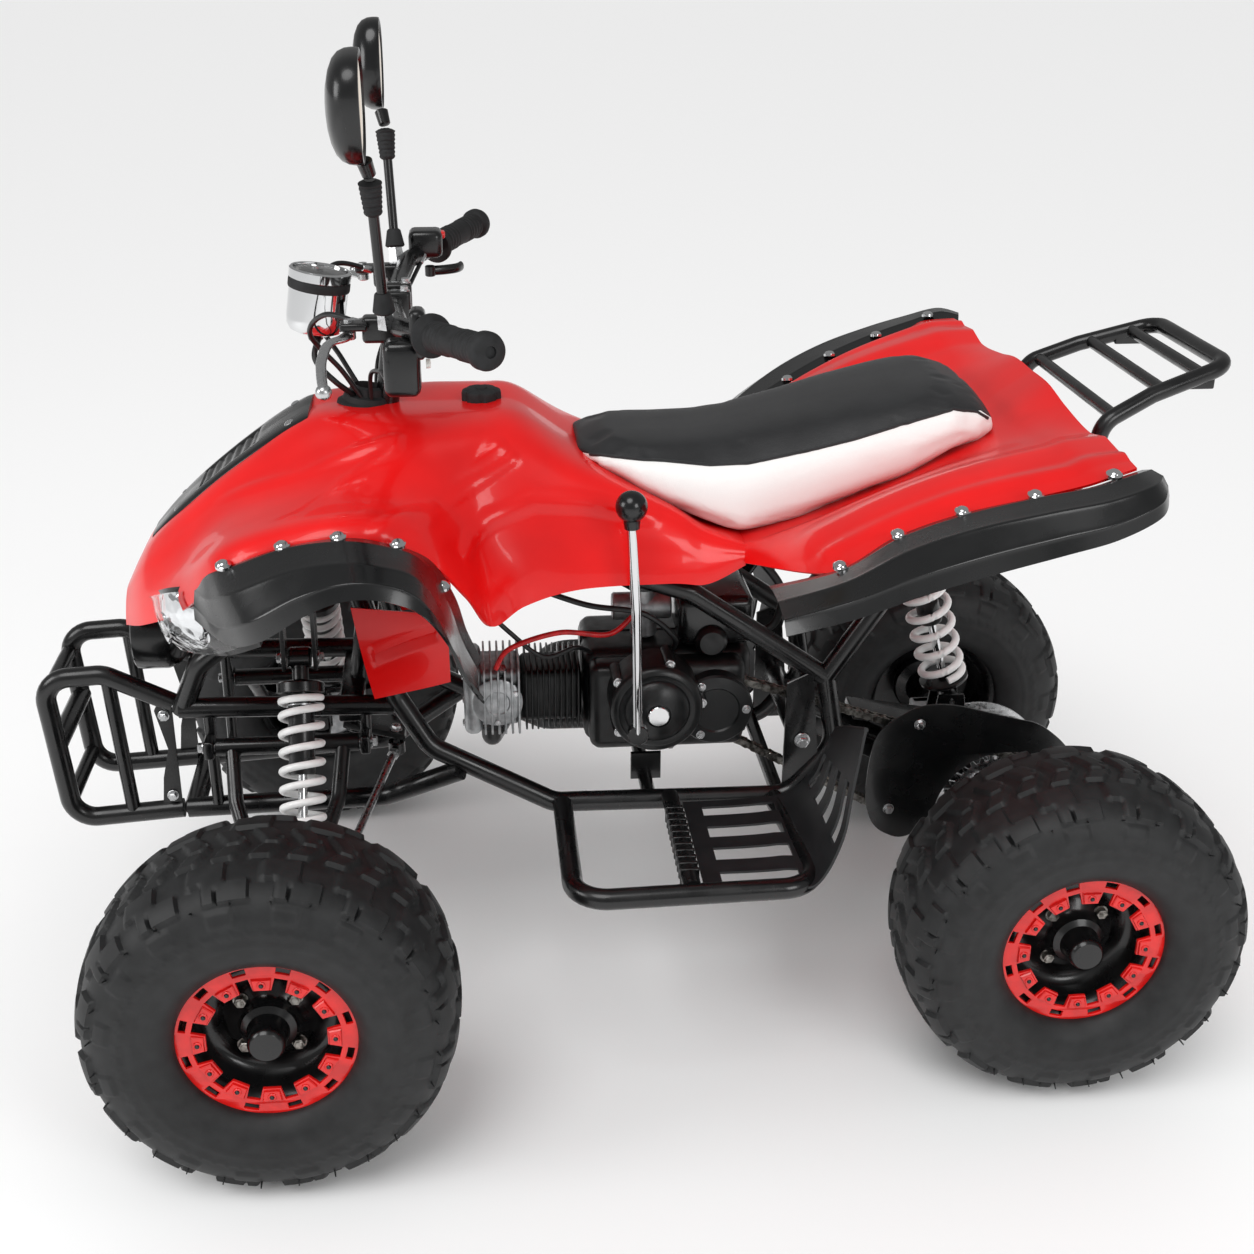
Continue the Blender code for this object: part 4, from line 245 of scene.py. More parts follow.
def slab(outline, thickness, origin, first, second, soft=0.0008):
    """A flat plate: the outline drawn with two directions and thickened both ways, its rims drawn in."""
    outline = np.asarray(outline, float)
    first, second = np.asarray(first, float), np.asarray(second, float)
    normal = np.cross(first, second)
    inward = outline - soft * unit(outline - outline.mean(0))
    half = thickness / 2
    rings = ((inward, -half), (outline, soft - half), (outline, half - soft), (inward, half))
    points = [
        np.asarray(origin, float) + o[:, :1] * first + o[:, 1:] * second + h * normal for o, h in rings
    ]
    return grid(np.stack(points), wrap_columns=True, caps=True)


def side_plate(outline, thickness, y, soft):
    """A flat plate that stands along the machine: its outline's points are (x, z)."""
    return slab(outline, thickness, (0, y, 0), (1, 0, 0), (0, 0, 1), soft)


def cross_plate(outline, thickness, x, soft):
    """A flat plate that stands across the machine: its outline's points are (y, z)."""
    return slab(outline, thickness, (x, 0, 0), ACROSS, (0, 0, 1), soft)


def sheet(points, thickness):
    """A panel with a wall: the grid of points, the same grid set back on its normals, and an edge strip."""
    across = np.gradient(points, axis=0)
    along = np.gradient(points, axis=1)
    back = points - unit(np.cross(across, along)) * thickness
    rows, columns = points.shape[:2]
    outer, blocks = grid(points)
    count = rows * columns
    border = np.concatenate(
        (
            np.arange(columns),
            np.arange(1, rows) * columns + columns - 1,
            (rows - 1) * columns + np.arange(columns - 2, -1, -1),
            np.arange(rows - 2, 0, -1) * columns,
        )
    )
    following = np.roll(border, -1)
    rim = np.stack((following, border, border + count, following + count), -1)
    return np.concatenate((outer, back.reshape(-1, 3))), [blocks[0], blocks[0][:, ::-1] + count, rim]


def mirrored(surface, side):
    """The same surface on the machine's other side where the side is -1."""
    points, blocks = surface
    return points * np.array((1.0, side, 1.0)), blocks


def moved(surface, matrix):
    """The surface after a 4 by 4 matrix."""
    points, blocks = surface
    return points @ matrix[:3, :3].T + matrix[:3, 3], blocks


def from_curve(outlines, thickness, soft=0.0012):
    """A flat plate with holes, drawn in X and Y: a filled curve with a small bevel, read back as points."""
    curve = bpy.data.curves.new("outline", "CURVE")
    curve.dimensions = "2D"
    curve.fill_mode = "BOTH"
    curve.extrude = thickness / 2 - soft
    curve.bevel_depth = soft
    curve.bevel_resolution = 1
    curve.offset = -soft
    for outline in outlines:
        line = curve.splines.new("POLY")
        line.points.add(len(outline) - 1)
        flat = np.zeros((len(outline), 4))
        flat[:, :2] = outline
        flat[:, 3] = 1.0
        line.points.foreach_set("co", flat.ravel())
        line.use_cyclic_u = True
    holder = bpy.data.objects.new("outline", curve)
    mesh = bpy.data.meshes.new_from_object(holder)
    points = np.empty(len(mesh.vertices) * 3)
    mesh.vertices.foreach_get("co", points)
    mesh.calc_loop_triangles()
    faces = np.empty(len(mesh.loop_triangles) * 3, int)
    mesh.loop_triangles.foreach_get("vertices", faces)
    bpy.data.objects.remove(holder)
    bpy.data.curves.remove(curve)
    bpy.data.meshes.remove(mesh)
    return points.reshape(-1, 3), [faces.reshape(-1, 3)]


def ring(radius, count, start=0.0):
    """Places on a circle."""
    turn = start + np.linspace(0, 2 * math.pi, count, endpoint=False)
    return np.stack((radius * np.cos(turn), radius * np.sin(turn)), -1)


class Piece:
    """Gathers closed surfaces, each with its finish, and makes one mesh object of them."""

    def __init__(self, name, finish=None):
        self.name, self.finish = name, finish
        self.points, self.corners, self.sizes, self.slots, self.finishes = [], [], [], [], []
        self.count = 0

    def add(self, surface, finish=None):
        """Adds a surface. One that encloses a negative volume is inside out, so its faces are turned."""
        points, blocks = surface
        finish = finish or self.finish
        if finish not in self.finishes:
            self.finishes.append(finish)
        volume = 0.0
        for faces in blocks:
            first = points[faces[:, 0]]
            for k in range(1, faces.shape[1] - 1):
                volume += np.einsum(
                    "ij,ij->", first, np.cross(points[faces[:, k]], points[faces[:, k + 1]]),
                )
        for faces in blocks:
            turned = faces[:, ::-1] if volume < 0 else faces
            self.corners.append((turned + self.count).ravel())
            self.sizes.append(np.full(len(faces), faces.shape[1]))
            self.slots.append(np.full(len(faces), self.finishes.index(finish)))
        self.points.append(points)
        self.count += len(points)
        return self

    def make(self, body, replaces=(), slot=None, crease=35):
        """The finished object: merged at its poles and seams, smooth but for edges over the crease angle."""
        mesh = bpy.data.meshes.new(self.name)
        points = np.concatenate(self.points)
        corners, sizes = np.concatenate(self.corners), np.concatenate(self.sizes)
        mesh.vertices.add(len(points))
        mesh.vertices.foreach_set("co", points.ravel())
        mesh.loops.add(len(corners))
        mesh.loops.foreach_set("vertex_index", corners)
        mesh.polygons.add(len(sizes))
        mesh.polygons.foreach_set("loop_start", np.concatenate(([0], np.cumsum(sizes)[:-1])))
        mesh.polygons.foreach_set("material_index", np.concatenate(self.slots))
        for finish in self.finishes:
            mesh.materials.append(finish_for(finish))
        mesh.update(calc_edges=True)
        mesh.validate()
        merge_doubles(mesh)
        mesh.shade_smooth()
        mesh.set_sharp_from_angle(angle=math.radians(crease))
        piece = bpy.data.objects.new(self.name, mesh)
        bpy.context.scene.collection.objects.link(piece)
        if body:
            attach(piece, body)
        if replaces:
            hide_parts(*replaces)
        return piece


def merge_doubles(mesh):
    """Joins the repeated points of poles and seams."""
    bm = bmesh.new()
    bm.from_mesh(mesh)
    bmesh.ops.remove_doubles(bm, verts=bm.verts, dist=1e-6)
    bm.to_mesh(mesh)
    bm.free()


# Finishes


def linear(code):
    """An sRGB hex colour as linear red, green, blue and alpha."""
    channels = np.array([int(code[k : k + 2], 16) for k in (0, 2, 4)]) / 255
    low = channels / 12.92
    high = ((channels + 0.055) / 1.055) ** 2.4
    return (*np.where(channels <= 0.04045, low, high).tolist(), 1.0)


def add_node(tree, kind, settings=None, **inputs):
    """Adds a node, sets its own settings, and feeds each socket from a value or another node's output."""
    node = tree.nodes.new(kind)
    for key, value in (settings or {}).items():
        setattr(node, key, value)
    for key, value in inputs.items():
        socket = node.inputs[int(key[2:]) if key.startswith("in") else key.replace("_", " ")]
        if isinstance(value, bpy.types.NodeSocket):
            tree.links.new(value, socket)
        else:
            socket.default_value = value
    return node


def base_finish(name, code, roughness, metallic=0.0, **more):
    """A Principled surface of one colour, with its texture coordinates ready."""
    material = bpy.data.materials.new(name)
    material.use_nodes = True
    tree = material.node_tree
    shader = tree.nodes["Principled BSDF"]
    shader.inputs["Base Color"].default_value = linear(code)
    shader.inputs["Roughness"].default_value = roughness
    shader.inputs["Metallic"].default_value = metallic
    for key, value in more.items():
        shader.inputs[key.replace("_", " ")].default_value = value
    place = add_node(tree, "ShaderNodeTexCoord").outputs["Object"]
    return material, tree, shader, place


def relief(tree, shader, height, depth):
    """A bump of the given depth in metres on the shader's normal."""
    bump = add_node(tree, "ShaderNodeBump", None, Strength=1.0, Distance=depth, Height=height)
    tree.links.new(bump.outputs["Normal"], shader.inputs["Normal"])


def mottle(tree, shader, place, pale, dark, size, socket="Base Color"):
    """A soft change between two values over patches of the given size in metres."""
    noise = add_node(
        tree, "ShaderNodeTexNoise", None, Vector=place, Scale=1 / size, Detail=4.0,
    ).outputs["Fac"]
    if socket == "Base Color":
        ramp = add_node(tree, "ShaderNodeValToRGB", None, Fac=noise)
        for element, position, code in zip(ramp.color_ramp.elements, (0.35, 0.65), (dark, pale)):
            element.position = position
            element.color = linear(code)
        tree.links.new(ramp.outputs["Color"], shader.inputs["Base Color"])
    else:
        scale = add_node(
            tree, "ShaderNodeMapRange", None, in0=noise, in1=0.35, in2=0.65, in3=dark, in4=pale,
        )
        tree.links.new(scale.outputs[0], shader.inputs[socket])


def made_finish(name, code, roughness, metallic=0.0, shade=None, haze=None, grain=None, **more):
    """A whole surface finish.

    shade is the pale and dark colour and the size of patches of colour, haze the same for roughness,
    and grain the size, depth and detail of a fine relief. Sizes and depths are in metres.
    """
    material, tree, shader, place = base_finish(name, code, roughness, metallic, **more)
    if shade:
        mottle(tree, shader, place, *shade)
    if haze:
        mottle(tree, shader, place, *haze, "Roughness")
    if grain:
        size, depth, detail = grain
        noise = add_node(tree, "ShaderNodeTexNoise", None, Vector=place, Scale=1 / size, Detail=detail)
        relief(tree, shader, noise.outputs["Fac"], depth)
    return material


def red_gloss_abs():
    """Injection-moulded ABS, lacquered: a deep even red under a sharp clear gloss with faint ripple."""
    return made_finish(
        "red gloss ABS", "DE0809", 0.3, shade=("E40A0A", "D40708", 0.12), grain=(0.02, 0.00005, 2.0),
        Coat_Weight=0.35, Coat_Roughness=0.05, Specular_IOR_Level=0.3,
    )


def black_gloss_abs():
    """Injection-moulded ABS in black: glossy, a little blue in the sheen, with fine moulding ripple."""
    return made_finish(
        "black gloss ABS", "0B0C0D", 0.25, haze=(0.33, 0.2, 0.05), grain=(0.012, 0.00004, 2.0),
        Coat_Weight=0.2, Coat_Roughness=0.08,
    )


def grained_polypropylene():
    """Spark-eroded black polypropylene: a fine matt grain, drawn as coarse as 0.8 mm so that it shows."""
    return made_finish(
        "grained black polypropylene", "1B1C1E", 0.5, shade=(
            "1A1B1D", "111214", 0.03,
        ), grain=(0.0008, 0.00008, 2.0)
    )


def black_powder_coat():
    """Black polyester powder coat on steel tube: glossy, rounded orange peel of 2 mm, slightly dusty."""
    return made_finish(
        "black powder coat", "0A0A0B", 0.24, haze=(0.36, 0.2, 0.035), grain=(0.002, 0.00003, 2.0),
        Coat_Weight=0.2, Coat_Roughness=0.08,
    )


def tyre_rubber():
    """Moulded carbon-black rubber: dark grey, matt with a faint sheen, dusty patches and mould ripple."""
    return made_finish(
        "tyre rubber", "1A1B1C", 0.56, shade=("1B1C1D", "0F1011", 0.018), grain=(0.0012, 0.00008, 3.0),
    )


def soft_grip_rubber():
    """Thermoplastic rubber of the grips: matt near-black."""
    return made_finish(
        "soft grip rubber", "1E1F20", 0.7, shade=("1C1D1F", "121314", 0.01), grain=(0.0009, 0.00006, 2.0),
    )


def vinyl(name, pale, dark, roughness):
    """Upholstery vinyl: a leather-like grain of 1.6 mm cells with soft valleys."""
    material, tree, shader, place = base_finish(name, pale, roughness, Sheen_Weight=0.05)
    mottle(tree, shader, place, pale, dark, 0.05)
    cells = add_node(
        tree, "ShaderNodeTexVoronoi", {"feature": "DISTANCE_TO_EDGE"}, Vector=place, Scale=1 / 0.0016,
    )
    ease = add_node(
        tree, "ShaderNodeMapRange", None, in0=cells.outputs["Distance"], in1=0.0, in2=0.25, in3=0.0,
        in4=1.0,
    )
    relief(tree, shader, ease.outputs[0], 0.0001)
    return material


def black_vinyl():
    """The seat's black piping."""
    return vinyl("black seat vinyl", "232426", "1B1C1E", 0.46)


def seat_vinyl():
    """The seat's cover: black on top and white on its sides, told apart by the height over the seam line."""
    material = vinyl("black and white seat vinyl", "1E1F21", "161719", 0.46)
    tree = material.node_tree
    shader = tree.nodes["Principled BSDF"]
    black = shader.inputs["Base Color"].links[0].from_socket
    height = add_node(tree, "ShaderNodeAttribute", {"attribute_name": "over_seam"}).outputs["Fac"]
    below = add_node(tree, "ShaderNodeMath", {"operation": "LESS_THAN"}, in0=height, in1=0.0).outputs[0]
    mix = add_node(tree, "ShaderNodeMix", {"data_type": "RGBA"}, in0=below, in6=black, in7=linear("EFEFED"))
    tree.links.new(mix.outputs[2], shader.inputs["Base Color"])
    return material


def white_spring_enamel():
    """White stove enamel on spring wire: smooth and glossy."""
    return made_finish(
        "white spring enamel", "F1F1EF", 0.28, shade=("F8F8F7", "EFEFEE", 0.02), Coat_Weight=0.2,
    )


def bright_chrome():
    """Chrome plate: near-mirror with the faintest haze."""
    return made_finish("bright chrome", "D9DADB", 0.06, 1.0, haze=(0.1, 0.04, 0.02))


def zinc_plate():
    """Bright zinc plate on steel fasteners: pale grey with a satin haze."""
    return made_finish("zinc plated steel", "C9CACB", 0.28, 1.0, haze=(0.38, 0.2, 0.006))


def sand_cast_aluminium():
    """Sand-cast aluminium: pale grey, matt, with a 0.9 mm pebble from the mould."""
    return made_finish(
        "sand cast aluminium", "B9BBBC", 0.42, 0.85, shade=(
            "C8CACB", "A3A5A7", 0.012,
        ), grain=(0.0009, 0.00018, 3.0)
    )


def black_engine_enamel():
    """Heat-proof black enamel over cast aluminium: satin with cast pebble under it."""
    return made_finish(
        "black engine enamel", "0C0D0E", 0.34, haze=(0.46, 0.28, 0.02), grain=(0.0011, 0.0001, 2.0),
    )


def oiled_steel():
    """Bare steel under oil, as on a chain: dull metal grey with dark stain."""
    return made_finish("oiled steel", "8C8A86", 0.36, 1.0, shade=("A5A29C", "4F4C48", 0.006))


def mirror_glass():
    """Silvered mirror glass with a warm tint."""
    return made_finish("tinted mirror glass", "E3B25C", 0.03, 1.0)


def clear_polycarbonate():
    """Clear moulded lamp lens: thin and glossy."""
    return made_finish("clear polycarbonate", "FFFFFF", 0.03, Transmission_Weight=1.0, IOR=1.2)


def lamp_reflector():
    """Vapour-plated reflector: bright silver with faceted ripple."""
    material, tree, shader, place = base_finish("plated reflector", "E4E6E8", 0.12, 1.0)
    facets = add_node(tree, "ShaderNodeTexVoronoi", None, Vector=place, Scale=1 / 0.012)
    relief(tree, shader, facets.outputs["Distance"], 0.0015)
    return material


def hose_rubber():
    """Smooth extruded rubber of hoses and cable jackets: black with a soft shine."""
    return made_finish("extruded hose rubber", "141516", 0.38, haze=(0.5, 0.32, 0.01))


def red_cable():
    """Red silicone ignition lead."""
    return made_finish("red silicone lead", "C81418", 0.4, shade=("D8181C", "B01014", 0.01))


def red_enamel():
    """Red enamel on small steel parts, as glossy as the panels but thicker."""
    return made_finish("red enamel", "DE1714", 0.26, shade=("E41A16", "CC1412", 0.02), Coat_Weight=0.4)


def amber_lens():
    """Amber switch button."""
    return made_finish("amber acrylic", "E89A2C", 0.2, Coat_Weight=0.4)


def white_nylon():
    """Unpigmented nylon fastener."""
    return made_finish("natural nylon", "ECEBE6", 0.4, shade=("F0EFEA", "DEDCD6", 0.005))


FINISHES = {}


def finish_for(maker):
    """The material that a maker function gives, made once."""
    if maker not in FINISHES:
        FINISHES[maker] = maker()
    return FINISHES[maker]


# Wheels


def arc_lengths(points):
    """How far along a row of points each one lies."""
    return np.concatenate(([0.0], np.cumsum(np.linalg.norm(np.diff(points, axis=0), axis=1))))


def smooth(x):
    """A soft step: 3x^2 - 2x^3 between 0 and 1."""
    x = np.clip(x, 0.0, 1.0)
    return x * x * (3 - 2 * x)


def tread_height(phase, v, pitch, height):
    """Block height over the carcass. phase is a share of one pitch and v the distance from the crown.

    A block is where the least distance to its edges is positive; the height rises over 2 mm there.
    Shoulder blocks are skewed and stepped, the centre row is a chevron, and small blocks run down the side.
    """
    far = np.abs(v)
    staggered = np.where(v > 0, phase, (phase + 0.5) % 1.0)
    lean = 0.5 + 0.13 * np.sign(far - 0.058)
    half = np.where(far < 0.058, 0.27, 0.32)
    along = (half - np.abs(staggered - lean)) * pitch
    shoulder = np.minimum(along, np.minimum(far - 0.033, 0.083 - far))
    notch = np.maximum(np.abs(staggered - 0.5) * pitch - 0.003, 0.066 - far)
    shoulder = np.minimum(shoulder, notch + 0.0015)
    bar = (phase * 2 + far / 0.036 * 0.55) % 1.0
    centre = np.minimum((0.31 - np.abs(bar - 0.5)) * pitch / 2, 0.0275 - far)
    split = np.abs(v - 0.004 * np.sign(np.sin(phase * 4 * math.pi))) - 0.0012
    centre = np.minimum(centre, split)
    small = np.minimum((0.2 - np.abs(staggered - 0.5)) * pitch, np.minimum(far - 0.088, 0.106 - far))
    crown = height * smooth(np.maximum(shoulder, centre) / 0.0016 + 0.2)
    side = height * 0.42 * smooth(small / 0.0022 + 0.2)
    zigzag = 0.1135 + 0.0035 * np.abs(((phase * 4) % 1.0) * 2 - 1)
    ridge = height * 0.2 * smooth((0.0016 - np.abs(far - zigzag)) / 0.0012 + 0.5)
    ribs = height * 0.16 * smooth((0.001 - np.abs(far - 0.1285)) / 0.001 + 0.5)
    return crown + side + ridge + ribs


def tyre_surface(settings, centre, side):
    """r(angle, v): the carcass profile carried round the axle, plus the tread's height along its normal."""
    half = np.array(
        (
            (97.5, 56), (93.5, 66), (97.5, 76), (112, 87.5), (134, 91.5),
            (156, 89), (174, 80), (186, 65.5), (192.5, 45), (195.5, 22),
            (196.5, 0),
        )
    ) / 1000
    full = np.concatenate((half, (half * (1, -1))[-2::-1]))
    fine = spline(full, 900)
    length = arc_lengths(fine)
    count = 118
    even = np.linspace(0, length[-1], count)
    profile = np.stack((np.interp(even, length, fine[:, 0]), np.interp(even, length, fine[:, 1])), -1)
    v = length[-1] / 2 - even
    slope = unit(np.gradient(profile, axis=0))
    normal = np.stack((-slope[:, 1], slope[:, 0]), -1)
    normal *= np.where(normal[count // 2, 0] < 0, -1, 1)
    pitches = settings.pitches
    steps = pitches * 28
    turn = np.linspace(0, 2 * math.pi, steps, endpoint=False)
    phase = (turn * pitches / (2 * math.pi)) % 1.0
    height = tread_height(phase[:, None], v[None, :], 2 * math.pi * 0.2 / pitches, settings.block_height)
    radius = profile[None, :, 0] + height * normal[None, :, 0]
    across = profile[None, :, 1] + height * normal[None, :, 1]
    points = np.stack((radius * np.sin(turn)[:, None], across * side, -radius * np.cos(turn)[:, None]), -1)
    inside = np.stack((0.089 * np.sin(turn), np.full(steps, 0.056 * side), -0.089 * np.cos(turn)), -1)
    other = inside * (1, -1, 1)
    points = np.concatenate((inside[:, None], points, other[:, None]), axis=1) + np.asarray(centre)
    return grid(points, wrap_rows=True, wrap_columns=True)


def wheel_places():
    """Name, body and centre of each wheel."""
    for word, side in SIDES:
        yield f"front_{{}}_{word}", f"front_wheel_{word}", np.array((FRONT_X, FRONT_Y * side, AXLE_Z)), side
        yield f"rear_{{}}_{word}", "rear_axle", np.array((REAR_X, REAR_Y * side, AXLE_Z)), side


def make_tyres(settings):
    """The tyres, each with a ring of moulding nubs on its outer side wall, but none near the ground."""
    for name, body, centre, side in wheel_places():
        piece = Piece(name.format("tyre") + "_tread")
        piece.add(tyre_surface(settings, centre, side), tyre_rubber)
        turn = np.radians(np.arange(28) * 360 / 28 + 6)
        for angle in turn:
            out = np.array((math.sin(angle), 0.0, -math.cos(angle)))
            root = centre + out * 0.176 + ACROSS * side * 0.0785
            tip = root + out * 0.0035 + ACROSS * side * 0.0065
            if tip[2] > 0.012:
                piece.add(rod(root, tip, 0.0011, 0.0007, 6), tyre_rubber)
        piece.make(body, [name.format("tyre")], "tyre_rubber", crease=50)


def rim_surface(centre, side):
    """The rim's section, from the hub's cap out over the dished face and lip, and back inside to the hub."""
    profile = mm((
        (6, 80), (16.5, 79.5), (19, 77), (20, 74), (20.5, 60),
        (22.5, 52), (29, 48), (30, 42), (35, 35), (43, 32),
        (48, 27), (54, 23), (64, 22.5), (70, 26), (74.5, 33),
        (77.5, 43), (80, 52), (85, 57), (90, 62.5), (94.5, 65),
        (97.2, 63.5), (97.5, 60), (95, 56.5), (88.5, 54.5), (86, 45),
        (86, -45), (88.5, -54.5), (95, -56.5), (97.5, -60), (94.5, -65),
        (88, -60), (83, -50), (80, -10), (74, 6), (50, 10),
        (32, 8), (28, -18), (15, -20),
    ))
    return spin(profile, centre, ACROSS * side, 96)


def red_ring_outlines():
    """Outlines of the ring: its rim, twelve tapering lugs inside, and a window between each two."""
    lugs = []
    for k in range(12):
        middle = k * math.pi / 6
        for share, radius in ((-0.175, 0.0775), (-0.15, 0.0625), (0.15, 0.0625), (0.175, 0.0775)):
            angle = middle + share
            lugs.append((radius * math.cos(angle), radius * math.sin(angle)))
    outlines = [ring(0.0962, 96), np.array(lugs)[::-1]]
    for k in range(12):
        middle = (k + 0.5) * math.pi / 6
        turn = np.concatenate((np.linspace(-0.085, 0.085, 6), np.linspace(0.085, -0.085, 6)))
        radius = np.repeat((0.0905, 0.0835), 6)
        outlines.append(
            np.stack((radius * np.cos(middle + turn), radius * np.sin(middle + turn)), -1)[::-1]
        )
    return outlines


def place_on(axis, centre):
    """The matrix that puts a plate drawn in X and Y square to the axis, at the centre."""
    matrix = np.eye(4)
    matrix[:3, :3] = facing(axis).T
    matrix[:3, 3] = centre
    return matrix


def hexagon_bolt(piece, seat, axis, size, washer=True, finish=zinc_plate):
    """A hexagon head on a washer: a six-sided plate with a short cone on it."""
    seat, axis = np.asarray(seat, float), unit(np.asarray(axis, float))
    if washer:
        piece.add(rod(seat, seat + axis * size * 0.18, size * 0.72, None, 16, size * 0.04), finish)
        seat = seat + axis * size * 0.16
    outline = ring(size * 0.55, 6)
    a, b, _ = facing(axis)
    piece.add(slab(outline, size * 0.5, seat + axis * size * 0.25, a, b, size * 0.05), finish)
    piece.add(
        rod(seat + axis * size * 0.45, seat + axis * size * 0.55, size * 0.42, size * 0.3, 12), finish,
    )


def make_rims(settings):
    """Dished rims, each with a red ring whose twelve lugs are bolted on, four wheel nuts and a valve."""
    outlines = red_ring_outlines()
    flat = from_curve(outlines, 0.0045, 0.001)
    for name, body, centre, side in wheel_places():
        axis = ACROSS * side
        piece = Piece(name.format("rim") + "_dish", red_enamel)
        piece.add(rim_surface(centre, side), black_powder_coat)
        piece.add(moved(flat, place_on(axis, centre + axis * 0.065)))
        a, b, _ = facing(axis)
        for k in range(12):
            angle = k * math.pi / 6
            out = a * math.cos(angle) + b * math.sin(angle)
            along = -a * math.sin(angle) + b * math.cos(angle)
            foot = centre + out * 0.0705 + axis * 0.0665
            pad = ((-0.007, -0.0085), (0.006, -0.0105), (0.006, 0.0105), (-0.007, 0.0085))
            piece.add(slab(pad, 0.007, foot, out, along, 0.0012))
            piece.add(rod(foot + axis * 0.003, foot + axis * 0.0048, 0.0046, None, 16, 0.0006))
            piece.add(
                rod(foot + axis * 0.0045, foot + axis * 0.0062, 0.0026, 0.0022, 12, 0.0004),
                black_powder_coat,
            )
        for k in range(4):
            angle = k * math.pi / 2 + math.pi / 4
            out = a * math.cos(angle) + b * math.sin(angle)
            hexagon_bolt(piece, centre + out * 0.04 + axis * 0.0325, axis, 0.012, finish=oiled_steel)
        stem = centre + a * 0.08 + axis * 0.042
        piece.add(rod(stem, stem - a * 0.012 + axis * 0.012, 0.003, 0.0026, 10, 0.0005), hose_rubber)
        piece.make(body, [name.format("rim")], "black_paint")


# Body panels


def panel_grid(rows, x_count, y_count):
    """A mirrored panel: each row is a station of x with (y, z) points from the middle out, all splined."""
    half = np.array([[(x, y, z) for y, z in points] for x, points in rows])
    half = spline(half, x_count)
    half = np.swapaxes(spline(np.swapaxes(half, 0, 1), y_count), 0, 1)
    other = half[:, :0:-1] * (1, -1, 1)
    return np.concatenate((other, half), axis=1)


def away(points, line):
    """The least distance from each point to a line of points."""
    line = np.asarray(line, float)
    a, b = line[:-1], line[1:]
    step = b - a
    share = np.einsum("...ij,ij->...i", points[..., None, :] - a, step) / (step**2).sum(-1)
    near = a + np.clip(share, 0, 1)[..., None] * step
    return np.linalg.norm(points[..., None, :] - near, axis=-1).min(-1)


def folded(points, creases):
    """The panel moved along its normals by a ridge, height x (1 - distance / width), at each crease."""
    normal = unit(np.cross(np.gradient(points, axis=0), np.gradient(points, axis=1)))
    normal *= np.where(normal[..., 2:] < 0, -1, 1)
    lift = np.zeros(points.shape[:2])
    for line, width, height in creases:
        for side in (1, -1):
            distance = away(points, np.asarray(line) * (1, side, 1))
            lift += height * np.clip(1 - distance / width, 0, 1)
    return points + normal * lift[..., None]


COVER_ROWS = mm((
    (586, ((0, 538), (20, 538), (36, 536), (46, 530), (53, 523), (58, 516), (62, 509), (64, 502))),
    (555, ((0, 590), (34, 591), (62, 582), (82, 568), (98, 556), (109, 546), (115, 535), (118, 524))),
    (500, ((0, 642), (52, 643), (85, 628), (112, 614), (140, 604), (168, 596), (181, 582), (185, 566))),
    (440, ((0, 690), (56, 690), (92, 672), (130, 660), (180, 657), (228, 656), (245, 645), (251, 630))),
    (360, ((0, 740), (58, 740), (98, 710), (140, 690), (195, 684), (244, 685), (263, 676), (270, 662))),
    (290, ((0, 744), (62, 745), (104, 730), (145, 706), (190, 692), (242, 690), (261, 681), (268, 668))),
    (235, ((0, 744), (64, 746), (106, 736), (142, 706), (180, 684), (228, 673), (250, 662), (262, 650))),
    (192, ((0, 744), (64, 746), (106, 736), (132, 706), (158, 662), (188, 630), (215, 610), (236, 594))),
    (165, ((0, 744), (64, 746), (105, 735), (128, 702), (146, 655), (165, 610), (190, 575), (205, 545))),
    (125, ((0, 742), (62, 744), (104, 730), (124, 700), (138, 658), (148, 615), (156, 580), (160, 550))),
    (60, ((0, 698), (60, 700), (110, 694), (130, 672), (142, 640), (150, 610), (156, 588), (159, 568))),
    (-40, ((0, 640), (65, 641), (118, 650), (134, 640), (146, 622), (152, 604), (157, 588), (160, 572))),
    (-85, ((0, 612), (65, 613), (122, 622), (137, 616), (145, 604), (150, 592), (153, 580), (154, 568))),
    (-129.5, ((0, 603), (65, 604), (126, 606), (138, 603), (142, 598), (144, 594), (144, 590), (144, 586))),
))
FENDER_ROWS = mm((
    (-131, ((0, 603), (65, 604), (128, 605), (138, 603), (143, 598), (146, 593), (150, 589))),
    (-200, ((0, 623), (65, 624), (134, 630), (165, 640), (215, 645), (258, 642), (296, 632))),
    (-260, ((0, 645), (65, 646), (136, 654), (172, 670), (225, 680), (268, 680), (300, 670))),
    (-320, ((0, 670), (65, 671), (136, 680), (180, 697), (235, 708), (282, 708), (316, 698))),
    (-370, ((0, 695), (65, 696), (136, 702), (186, 716), (245, 726), (296, 726), (330, 716))),
    (-435, ((0, 722), (65, 723), (136, 726), (194, 735), (255, 744), (310, 744), (344, 736))),
    (-460, ((0, 741), (65, 742), (136, 740), (198, 745), (260, 751), (314, 752), (350, 746))),
    (-498, ((0, 767), (60, 767), (120, 757), (190, 749), (250, 752), (300, 754), (336, 752))),
))
COVER_CREASES = mm((
    (((470, 90, 666), (370, 120, 703), (262, 110, 735)), 12, 4),
    (((370, 220, 686), (320, 150, 703), (262, 118, 728)), 10, 3.5),
    (((277, 262, 682), (221, 185, 685), (150, 116, 724)), 14, 5),
    (((247, 240, 668), (196, 150, 680), (135, 122, 712)), 10, 4),
    (((198, 190, 625), (162, 148, 652), (112, 138, 668), (53, 134, 662), (-20, 136, 645)), 14, 4.8),
))


